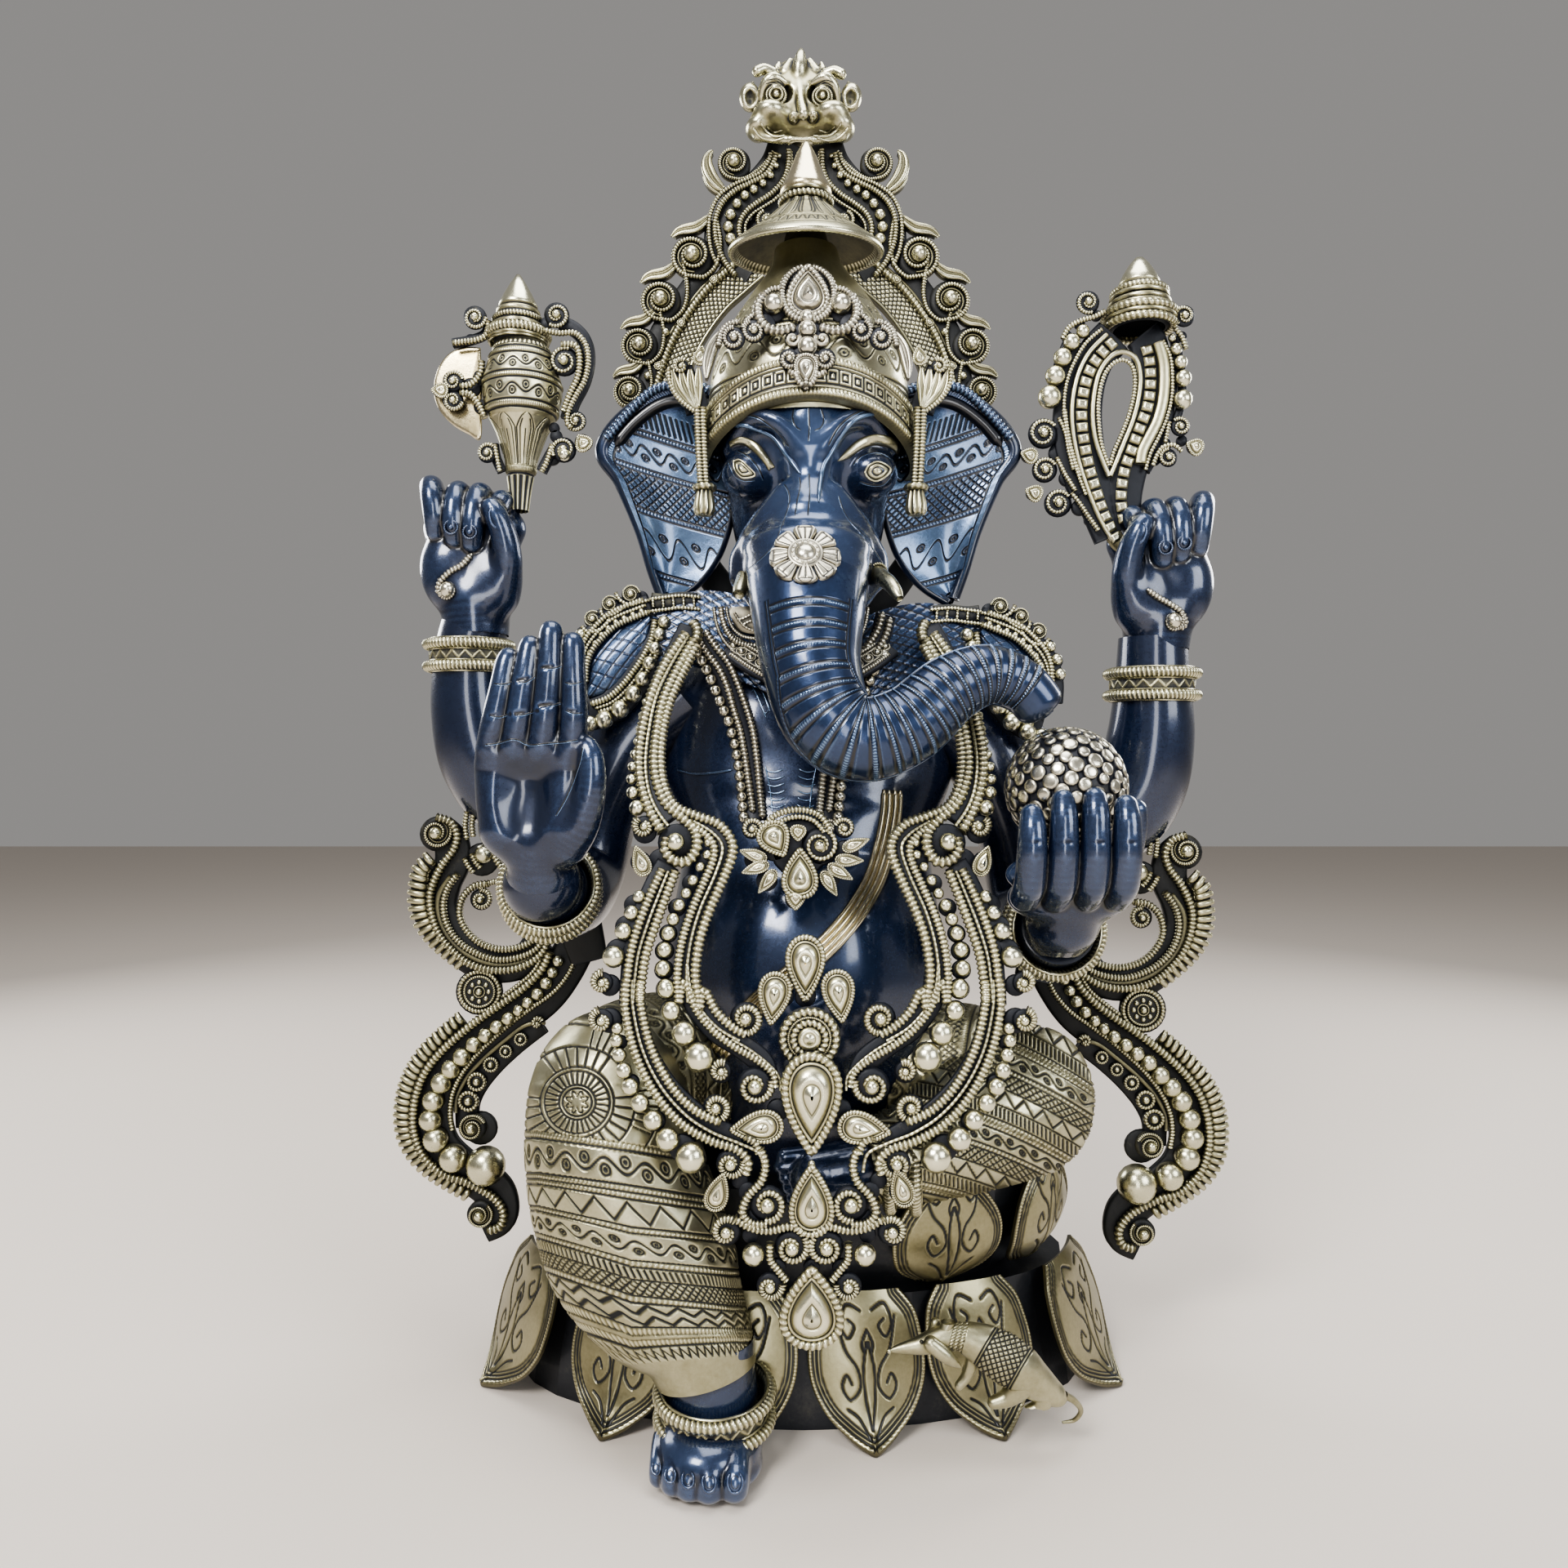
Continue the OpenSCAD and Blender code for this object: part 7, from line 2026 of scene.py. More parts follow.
def flame(m, S, rows, r0=9, dy=1.0):
    """Leaf stroke: two tapering ridges from a root to a tip."""
    A = S.path([(q[0], q[1]) for q in rows], dy)
    C, s = curve(A, 1.0)
    t = s / s[-1]
    r = S.mm(r0) * np.clip(np.sin(PI * (0.12 + 0.86 * t)) ** 0.7, 0.06, 1)
    d = unit(np.gradient(C[:, :3], axis=0))
    sd = unit(np.cross(d, [0, -1.0, 0]))
    for k, q, w in ((-0.75, 0.62, .8), (0.75, 0.62, .7), (0.0, 0.5, .4)):
        tube(m, np.hstack([C[:, :3] + sd * (r * k)[:, None], (r * q)[:, None]])[::3], n=8, W=w, step=1.0)
    sw = np.hstack([C[:, :3] + np.array([0, 3.2, 0]), (r * 1.3)[:, None]])
    strap(m, sw[::4], t=2.6, W=0.3, step=1.6)
    return m


def build_halo_half():
    m = hatch_band()
    S = SJ
    T = SH
    # backing for the upper double S and the volute row
    T.strap(m, [(705, 640), (660, 760), (560, 880), (460, 960), (410, 1060), (410, 1170), (460, 1260), (540, 1320)], 92, dy=-4, t=2.8, W=0.1)
    S.strap(m, [(455, 330), (440, 440), (380, 540), (310, 640), (250, 740), (225, 850), (205, 960), (205, 1060)], 38, dy=-4, t=2.6, W=0.1)
    T.rope(m, [(652, 690), (640, 740), (600, 800), (520, 845), (440, 885), (372, 945), (334, 1030), (330, 1120), (350, 1200), (390, 1280), (440, 1340)], 13)
    T.rope(m, [(628, 690), (612, 735), (570, 790), (500, 825), (430, 855), (350, 915), (305, 1010), (296, 1110), (310, 1210), (345, 1290)], 10)
    T.rope(m, [(722, 670), (718, 760), (690, 835), (630, 900), (556, 950), (498, 995), (464, 1050), (458, 1110), (480, 1155), (530, 1180)], 12)
    T.rope(m, [(735, 680), (736, 780), (705, 870), (650, 930), (590, 970), (530, 1010), (494, 1060), (492, 1110), (520, 1150)], 7, dy=1.0)
    T.beads(m, [(672, 700, 11), (655, 752, 14), (625, 803, 17), (585, 847, 18), (536, 880, 20), (488, 912, 21), (446, 956, 22), (412, 1015, 25), (400, 1081, 25), (412, 1144, 26), (450, 1200, 24)], dy=1.6, n=14)
    T.vol(m, 604, 1046, 62, 1.9, 1, turns=1.3)
    T.plate(m, [(604, 1046, 60), (560, 1100, 60)], dy=-4)
    # top volute with its leaf
    big_volute(m, T, 430, 735, 92, -PI / 2, -1, tail=[(640, 680), (600, 735), (540, 790), (480, 822)])
    flame(m, T, [(372, 880), (320, 830), (288, 760), (292, 700), (318, 672)], 26)
    flame(m, T, [(360, 900), (300, 850), (262, 790)], 14, dy=0)
    # volute row down the outer edge
    for i, (x, y, r) in enumerate(((370, 445, 80), (258, 602, 76), (182, 762, 70), (148, 925, 62), (150, 1080, 56))):
        tl = [(x + r * 1.05, y - r * 1.75), (x + r * 1.25, y - r * 0.6), (x + r * 1.1, y + r * 0.35), (x + r * 0.6, y + r * 0.9)]
        big_volute(m, S, x, y, r, -PI / 2 + 0.15, -1, tail=tl)
        flame(m, S, [(x + r * 0.75, y - r * 1.72), (x + r * 0.2, y - r * 1.28), (x - r * 0.55, y - r * 1.12), (x - r * 0.95, y - r * 0.8)], 15)
        S.drop(m, x + r * 0.98, y + r * 1.02, 26, 34, 0.6)
    S.beads(m, [(276, 716, 12), (212, 872, 12), (196, 1030, 12)])
    return m


def build_halo_stalk():
    """Spine that carries the arch and bolts to the back of the figure."""
    m = M()
    strap(m, [(-30, 45, 775), (-50, 45, 740)], hw=8, t=3, W=0.04)
    C = np.array([(-70, 44.5, 540, 10), (-52, 44.5, 516, 11), (-26, 44.5, 498, 12), (5, 44.5, 490, 14), (36, 44.5, 498, 12), (62, 44.5, 516, 11), (80, 44.5, 540, 10)], float)
    strap(m, C, t=3.2, W=0.04)
    strap(m, [(5, 44.5, 508, 14), (5, 44.5, 480, 14), (5, 44.5, 468, 10)], t=3.4, W=0.04)
    strap(m, [(-34, 44.5, 760, 9), (-18, 44.5, 790, 10), (-12, 44.5, 820, 12)], t=3.0, W=0.04)
    strap(m, [(42, 44.5, 760, 9), (26, 44.5, 790, 10), (20, 44.5, 820, 12)], t=3.0, W=0.04)
    return m


def build_mask():
    """Guardian face at the top of the arch."""
    p = lambda x, y, d: P(800 + x / 4.3556, 30 + y / 4.3556, d)
    mm = lambda r, d=20: r / 4.3556 * (734 + d) / 1350
    v = Vol((-52, 8, 800), (56, 62, 894), 0.8)
    E = lambda x, y, d, rx, ry, rz, k=3, cut=False: v.ell(p(x, y, d), (mm(rx), ry, mm(rz)), k, cut)
    E(785, 420, 38, 235, 16, 150, 6)
    E(780, 540, 38, 250, 17, 95, 8)
    E(775, 300, 40, 150, 12, 110, 8)
    # cheeks, chin roll
    E(625, 480, 26, 95, 12, 62, 5)
    E(950, 485, 26, 95, 12, 62, 5)
    E(560, 560, 30, 70, 12, 52, 5)
    E(1010, 560, 30, 66, 12, 52, 5)
    v.cap(p(560, 600, 27), p(720, 618, 24), mm(24), mm(22), 4)
    v.cap(p(850, 618, 24), p(1010, 600, 27), mm(22), mm(24), 4)
    v.cap(p(740, 612, 22), p(840, 612, 22), mm(15), mm(15), 3)
    # mouth
    E(800, 548, 18, 88, 9, 34, 2, True)
    v.cap(p(745, 545, 18), p(870, 560, 18), mm(24), mm(22), 2, cut=True)
    # nose
    v.chain([tuple(p(775, 300, 27)) + (mm(15),), tuple(p(785, 400, 21)) + (mm(22),), tuple(p(800, 480, 17)) + (mm(30),)], 2)
    E(748, 497, 19, 26, 5, 24, 1.5)
    E(852, 492, 19, 26, 5, 24, 1.5)
    # eye sockets and brows
    E(655, 368, 24, 82, 8, 62, 3, True)
    E(905, 372, 24, 80, 8, 62, 3, True)
    E(655, 372, 27, 52, 9, 46, 1)
    E(902, 380, 27, 52, 9, 46, 1)
    v.chain([tuple(p(575, 410, 26)) + (mm(16),), tuple(p(590, 330, 22)) + (mm(26),), tuple(p(640, 285, 20)) + (mm(30),), tuple(p(705, 310, 22)) + (mm(16),)], 2)
    v.chain([tuple(p(850, 310, 22)) + (mm(16),), tuple(p(915, 285, 20)) + (mm(30),), tuple(p(965, 330, 22)) + (mm(26),), tuple(p(985, 410, 26)) + (mm(16),)], 2)
    # horns curling out
    v.chain([tuple(p(640, 262, 28)) + (mm(30),), tuple(p(590, 238, 26)) + (mm(28),), tuple(p(552, 252, 24)) + (mm(27),)], 2)
    v.chain([tuple(p(920, 268, 28)) + (mm(30),), tuple(p(965, 250, 26)) + (mm(28),), tuple(p(1004, 266, 24)) + (mm(27),)], 2)
    # ears: upright leaves, dished
    for x, s in ((515, -1), (1055, 1)):
        E(x, 390, 28, 58, 7, 74, 2)
        v.cap(p(x - s * 5, 350, 28), p(x - s * 15, 312, 28), mm(30), mm(10), 2)
        E(x - s * 2, 388, 21, 34, 5, 50, 1.5, True)
    # crest
    v.chain([tuple(p(778, 300, 28)) + (mm(30),), tuple(p(780, 230, 27)) + (mm(38),), tuple(p(785, 175, 28)) + (mm(30),), tuple(p(788, 140, 30)) + (mm(14),)], 2)
    v.cap(p(700, 250, 30), p(730, 190, 30), mm(24), mm(12), 2)
    v.cap(p(870, 250, 30), p(835, 190, 30), mm(24), mm(12), 2)
    v.cap(p(660, 235, 32), p(670, 205, 32), mm(20), mm(9), 2)
    v.cap(p(905, 240, 32), p(895, 205, 32), mm(20), mm(9), 2)
    V, Q = v.mesh(1)
    N = vnormals(V, Q)
    curvy = ((neighbour_mean(V, Q) - V) * N).sum(1)
    m = M()
    m.add(V, Q, None, np.clip(0.62 - curvy * 9, 0.03, 1.0))
    for x, y in ((655, 372), (902, 380)):
        c = p(x, y, 18.2)
        milled_ring(m, c + np.array([0, 1.2, 0]), mm(50), 1.0, (0, -1, 0), deep=0.15, n=8)
        milled_ring(m, c, mm(34), 0.9, (0, -1, 0), deep=0.0, n=8)
        ball(m, c + np.array([0, 0.4, 0]), mm(19), 12, .5, 1)
    cs = Caster(m)
    q = lambda rows: [(800 + a / 4.3556, 30 + b / 4.3556) for a, b in rows]
    for rows in ([(720, 590), (650, 600), (600, 570), (570, 520)], [(700, 604), (640, 620), (570, 600), (530, 545)], [(690, 560), (640, 575), (600, 540)],
                 [(850, 595), (920, 600), (975, 570), (1005, 520)], [(870, 606), (940, 620), (1000, 598), (1042, 545)], [(880, 560), (930, 575), (975, 540)]):
        ridge(m, cs, q(rows), 0.8, 0.9, 0.2)
    for i in range(9):
        x = 560 + i * 16
        engrave(m, cs, q([(x, 600), (x + 4, 622), (x + 14, 640)]), 0.35, False)
        x = 1010 - i * 16
        engrave(m, cs, q([(x, 600), (x - 4, 622), (x - 14, 640)]), 0.35, False)
    for rows in ([(600, 300), (660, 290), (700, 320)], [(590, 320), (640, 310), (690, 335)], [(880, 320), (920, 295), (970, 315)], [(870, 335), (920, 312), (965, 335)],
                 [(780, 200), (778, 280)], [(765, 150), (755, 220)], [(805, 150), (815, 220)]):
        engrave(m, cs, q(rows), 0.4)
    return m


# crown ---------------------------------------------------------------------------------

DOME = [(5, -16, 606, 65.5, 60.5), (5, -18, 640, 63.5, 58.5), (5, -18, 668, 54.5, 49.5), (5, -20, 692, 39.5, 36.5), (4, -24, 710, 24.5, 24.5), (3, -26, 722, 20.5, 20.5)]


def build_dome():
    rows, s = curve([tuple(r) for r in DOME], 0.7)
    n = 420
    ph = np.linspace(0, 2 * PI, n, endpoint=False)
    H = np.zeros((len(rows), n))
    W = np.full_like(H, 0.5)
    S, PH = np.meshgrid(rows[:, 2] - 606, ph, indexing="ij")
    arc = PH / (2 * PI) * 320.0
    spec = [(20, "plain", 1), (1.2, "line", 1), (2.6, "rope", 2.2), (1.2, "line", 1), (26, "wave", 22.8), (1.2, "line", 1), (2.4, "rope", 2.2), (1.2, "line", 1), (22, "wave", 16), (1.2, "line", 1), (2.4, "rope", 2.2), (50, "plain", 1)]
    H, W = bands(S, arc, spec)
    A = rows[:, 3:4] + (H - 1) * 0.9
    B = rows[:, 4:5] + (H - 1) * 0.9
    V = np.stack([rows[:, 0:1] + A * np.cos(PH), rows[:, 1:2] + B * np.sin(PH), np.repeat(rows[:, 2:3], n, 1)], -1)
    m = M()
    m.add(V, gridq(len(rows), n, False, True), None, W.ravel())
    return m


def tilt_pts(V, c, deg):
    a = math.radians(deg)
    V = V - c
    Y = V[..., 1] * math.cos(a) - V[..., 2] * math.sin(a)
    Z = V[..., 1] * math.sin(a) + V[..., 2] * math.cos(a)
    out = V.copy()
    out[..., 1], out[..., 2] = Y, Z
    return out + c


def build_band():
    """Headband: rope, row of framed studs, rope. Arched down at the sides."""
    m = M()
    n = 640
    ph = np.linspace(0, 2 * PI, n, endpoint=False)
    hh = np.linspace(-13.5, 13.5, 70)
    HH, PH = np.meshgrid(hh, ph, indexing="ij")
    a, b = 70.0, 65.0
    arc = PH / (2 * PI) * 424.0
    prof = np.interp(hh, [-13.5, -13, -12, 12, 13, 13.5], [-5, -1, 0, 0, -1, -5])
    G = np.zeros_like(HH)
    W = np.full_like(HH, 0.4)

    def band(c, w, kind, p):
        nonlocal G, W
        t = HH - c
        inb = np.abs(t) <= w / 2
        h = w / 2
        if kind == "rope":
            v = np.sqrt(np.clip(1 - (t / h) ** 2, 0, 1)) * (0.5 + 0.5 * (0.5 + 0.5 * np.cos(2 * PI * (arc + 0.15 * t) / p)))
            G = np.where(inb, 2.2 * v, G); W = np.where(inb, 0.1 + 0.88 * v, W)
        elif kind == "line":
            v = line(t, h * 0.4, 0.4)
            G = np.where(inb, 0.9 * v, G); W = np.where(inb, 0.08 + 0.75 * v, W)
        elif kind == "stud":
            x = ((arc / p) % 1 - 0.5) * p
            q = np.maximum(np.abs(x) / (p * 0.42), np.abs(t) / (h * 0.82))
            fr = line((q - 0.86) * 3.0, 0.3, 0.35)
            st = np.clip((0.42 - q) / 0.15, 0, 1)
            v = np.clip(fr + st, 0, 1)
            G = np.where(inb, 1.3 * v, G); W = np.where(inb, 0.06 + 0.85 * v, W)
    band(-10.2, 5.4, "rope", 2.3)
    band(-6.6, 1.6, "line", 1)
    band(0.2, 10.4, "stud", 7.6)
    band(6.6, 1.6, "line", 1)
    band(10.2, 5.4, "rope", 2.3)
    rr = prof[:, None] + G
    # the ring arches up in front and drops to the sides
    arch = 9.0 * np.clip(-np.sin(PH), 0, 1) ** 2.0 - 7.0 * np.abs(np.cos(PH)) ** 3
    X = 5 + (a + rr) * np.cos(PH)
    Y = -18 + (b + rr) * np.sin(PH)
    Z = 603 + HH + arch
    V = np.stack([X, Y, Z], -1)
    V = tilt_pts(V, np.array([5.0, -18.0, 604.0]), -10)
    m.add(V, gridq(70, n, False, True), None, W.ravel())
    return m




def crest_depth(v):
    return float(np.interp(v, [300, 360, 400, 440, 480], [-58, -66, -75, -82, -88]))


def build_crest():
    m = M()
    S = Sheet(720, 160, 2.9037, crest_depth)
    # jewel
    S.plate(m, [(782, 575, 88), (782, 650, 60), (782, 740, 60), (770, 830, 60)], dy=-3)
    S.drop(m, 782, 572, 150, 190, 0.0)
    rope(m, S.path([(782 + 92 * math.sin(a), 582 - 96 * math.cos(a) * (1.0 if math.cos(a) < 0 else 1.02)) for a in np.linspace(0.2, 2 * PI - 0.2, 24)], 1.0), r=S.mm(15), pitch=S.mm(13), n=8, deep=.34, twist=.25)
    for s, f in ((1, lambda x: x), (-1, lambda x: 1560 - x)):
        q = lambda rows: [(f(r[0]), r[1]) for r in rows]
        ball(m, S.p(f(660), 616, 3), S.mm(36), 16, .5, 1)
        S.rope(m, q([(625, 590), (604, 630), (610, 672), (640, 704), (690, 712), (735, 700)]), 17)
        S.rope(m, q([(690, 560), (650, 566), (622, 590)]), 11)
        S.vol(m, f(590), 712, 46, 2.0 if s == 1 else PI - 2.0, s, turns=1.2)
        S.vol(m, f(518), 738, 46, 1.6 if s == 1 else PI - 1.6, s, turns=1.2)
        S.rope(m, q([(600, 650), (570, 670), (548, 706)]), 10)
        S.rope(m, q([(540, 680), (500, 690), (474, 720), (462, 770)]), 11)
        flame(m, S, q([(470, 720), (440, 770), (424, 830), (420, 880)]), 15)
        S.vol(m, f(728), 742, 30, 0.5 if s == 1 else PI - 0.5, -s, turns=1.1, milled=False)
        S.vol(m, f(716), 812, 40, 0.4 if s == 1 else PI - 0.4, -s, turns=1.3)
        S.rope(m, q([(716, 856), (740, 868), (752, 850), (748, 820)]), 10)
        S.plate(m, [(f(660), 640, 44), (f(590), 712, 40), (f(518), 738, 40), (f(728), 742, 28), (f(716), 812, 36), (f(630), 690, 36)], dy=-3)
    for y, r in ((664, 24), (706, 28), (766, 30)):
        ball(m, S.p(780, y, 3.5), S.mm(r), 16, .5, 1, squash=(1, .8, 1))
        milled_ring(m, S.p(780, y, 3.0), S.mm(r) * 1.0, 0.7, (0, -1, 0), deep=.2, n=6)
    S.drop(m, 775, 860, 84, 130, PI)
    for x in (742, 775, 808):
        S.rope(m, [(775 + (x - 775) * 0.6, 800), (x, 840), (x, 880), (775 + (x - 775) * 0.3, 908)], 9)
    return m


def build_side_leaves():
    """Fan leaves over the ears with their hanging tassels (viewer-left; mirrored)."""
    m = M()
    S = Sheet(720, 160, 2.9037, lambda v: -44.0)
    S.strap(m, [(330, 850), (350, 900), (378, 960), (392, 1000)], 44, dy=-3, t=2, W=.1)
    for rows, r in (([(300, 850), (318, 920), (352, 965), (384, 990)], 15), ([(330, 840), (340, 900), (362, 950), (386, 985)], 14), ([(362, 838), (366, 890), (374, 940), (388, 980)], 14), ([(392, 836), (392, 890), (390, 940), (390, 980)], 12)):
        flame(m, S, rows[::-1], r)
    S.rope(m, [(286, 850), (292, 900), (320, 950), (360, 985), (388, 1004)], 8)
    S.vol(m, 330, 838, 30, 1.0, 1, turns=1.1)
    S.drop(m, 400, 800, 50, 70, 0.2)
    # tassel
    m2 = M()
    St = Sheet(720, 160, 2.9037, lambda v: -52.0)
    for dx in (-10, 10):
        St.rope(m2, [(398 + dx, 985), (400 + dx, 1060), (404 + dx, 1150), (410 + dx, 1250)], 12)
    St.strap(m2, [(398, 990), (404, 1120), (412, 1260)], 20, dy=-3, t=1.5)
    for i in range(5):
        St.rope(m2, [(384 + i * 1.5, 1010 + i * 46), (420 + i * 1.5, 1010 + i * 46)], 7, dy=1)
    c = St.p(414, 1270, 0)
    milled_ring(m2, c, St.mm(32), St.mm(13), (0, 0, 1), deep=.2, n=10)
    a = St.mm(1)

    def mod(ph, r, h):
        k = np.cos(ph * 10)
        return 0.5 * k, 0.3 * k
    pr = [(10 * a, -100 * a, .4), (28 * a, -96 * a, .7), (36 * a, -80 * a, .6), (34 * a, -50 * a, .55), (27 * a, -20 * a, .5), (24 * a, -4 * a, .5)]
    lathe(m2, curve(np.array(pr), 0.6)[0], c, (0, 0, 1), 60, mod=mod)
    lathe(m2, [[0.01, -100 * a, .3], [11 * a, -100 * a, .4]], c, (0, 0, 1), 30)
    m.merge(m2)
    return m


def build_umbrella():
    m = M()
    c = np.array([3.0, -26.0, 722.0])
    pr = [(14.5, 29.6, .6), (15.5, 27.5, .7), (18, 25.5, .6), (22, 22, .6), (30, 15.5, .62), (38, 10, .65), (45, 5.2, .7), (49, 1.8, .8), (50, 0, .95), (49.2, -1.8, .9), (46.5, -1.8, .6), (45.5, 0.5, .35), (42, 3.5, .3), (34, 8.5, .28), (24, 14, .24), (14, 17, .2), (0.01, 18, .2)]
    P_, s = curve(np.array([(r, h, 0, w) for r, h, w in pr], float)[:, [0, 1, 2, 3]], 0.5)
    rr, hh, ww = P_[:, 0], P_[:, 1], P_[:, 3]
    n = 420
    ph = np.linspace(0, 2 * PI, n, endpoint=False)
    R = np.repeat(rr[:, None], n, 1)
    Hh = np.repeat(hh[:, None], n, 1)
    W = np.repeat(ww[:, None], n, 1)
    PH = np.broadcast_to(ph[None], R.shape)
    top = (s[:, None] < 46) & (R < 47.5)
    # petals round the cone roof, a hem of fine leaves, beads at the edge
    k = 14
    sa = (PH * k / (2 * PI)) % 1 - 0.5
    tt = np.clip((R - 16) / 17, 0, 1)
    edge = 0.44 * np.sqrt(np.clip(1 - np.clip((tt - 0.55) / 0.45, 0, 1) ** 2, 0, 1))
    v = line((np.abs(sa) - edge) * R * 2 * PI / k, 0.3, 0.4) + line((np.abs(sa) - edge * 0.6) * R * 2 * PI / k, 0.2, 0.35) * (tt < 0.85)
    v = np.where(R < 33.5, v, 0)
    k2 = 44
    sb = (PH * k2 / (2 * PI)) % 1 - 0.5
    t2 = np.clip((R - 35) / 8, 0, 1)
    v2 = line((np.abs(sb) - 0.44 * np.sqrt(np.clip(t2, 0, 1))) * R * 2 * PI / k2, 0.25, 0.35)
    v2 = np.where((R > 35) & (R < 43), v2, 0)
    ring = line(R - 34.2, 0.25, 0.4) + line(R - 44.2, 0.25, 0.4)
    g = np.clip(v + v2 + ring, 0, 1) * top
    under = (s[:, None] > 50)
    bd = 0.5 + 0.5 * np.cos(PH * 90)
    ub = under & (R > 43.5) & (R < 48)
    Hh = Hh - 0.7 * g
    W = W * (1 - g) + 0.04 * g
    W = np.where(ub, 0.25 + 0.6 * bd, W)
    V = np.stack([c[0] + R * np.cos(PH), c[1] + R * np.sin(PH), c[2] + Hh], -1)
    V = tilt_pts(V, c, 9.0 * 1.0)
    m.add(V, gridq(len(rr), n, False, True)[:, ::-1], None, W.ravel())
    m2 = M()
    milled_ring(m2, c + np.array([0, 0, 31.0]), 15.4, 2.6, (0, 0, 1), count=34, deep=.3, n=10)
    milled_ring(m2, c + np.array([0, 0, 35.4]), 14.6, 1.5, (0, 0, 1), count=10, deep=0, n=8)
    V, Q, T, W = m2.cat()
    m.add(tilt_pts(V, c, 4.0), Q, T, W)
    # neck under the roof joins the dome
    lathe(m, [(22, 700 - 722, .3), (20, -14, .3), (15, 4, .25), (12, 16, .25)], c + np.array([0, 1.5, 0]), (0, 0, 1), 40)
    return m


def build_finial():
    m = M()
    pr = [(15.5, 756, .6), (16.6, 759, .75), (16.0, 762, .9), (13.5, 767, .95), (9.6, 776, .95), (5.8, 785, .95), (3.0, 790, .95), (1.2, 792.4, .95), (0.01, 793, .95)]
    C, _ = curve(np.array([(r, h, 0, w) for r, h, w in pr]), 0.8)
    lathe(m, np.stack([C[:, 0], C[:, 1], C[:, 3]], 1), (3, -27.5, 0), (0, 0, 1), 72)
    return m

# ---------------------------------------------------------------- side scrolls

SL = Sheet(470, 980, 2.9037, lambda v: -2.0)


def fin(m, S, rows, n, w0, w1, dy=0.0, side=1):
    """Ruffled fringe: a row of rounded ribs standing out from a curved edge."""
    A = S.path([(q[0], q[1]) for q in rows], dy)
    C, s = curve(A, 0.5)
    t = unit(np.gradient(C[:, :3], axis=0))
    out = unit(np.cross(t, [0, -1.0, 0])) * side
    at = np.linspace(0, s[-1], n)
    for i, a in enumerate(at):
        j = int(np.argmin(np.abs(s - a)))
        f = math.sin(PI * (i + 0.7) / (n + 0.4)) ** 0.5
        L = (w0 + (w1 - w0) * f)
        p = C[j, :3]
        o = out[j] + t[j] * 0.12
        r = s[-1] / n * 0.46
        pts = [p - o * L * 0.15, p + o * L * 0.35 + np.array([0, -1.6, 0]), p + o * L * 0.8 + np.array([0, -1.0, 0]), p + o * L + np.array([0, 0.6, 0])]
        rows_ = [list(q) + [r * k] for q, k in zip(pts, (0.8, 1.0, 1.0, 0.55))]
        tube(m, rows_, n=8, W=0.7, step=0.9)
        ball(m, p + o * L * 0.98 + np.array([0, 0.4, 0]), r * 0.85, 8, .6, .95)
    back = np.hstack([C[:, :3] + out * (w1 * 0.42) + np.array([0, 2.6, 0]), np.full((len(C), 1), w1 * 0.5)])
    strap(m, back[::5], t=2.0, W=0.06)


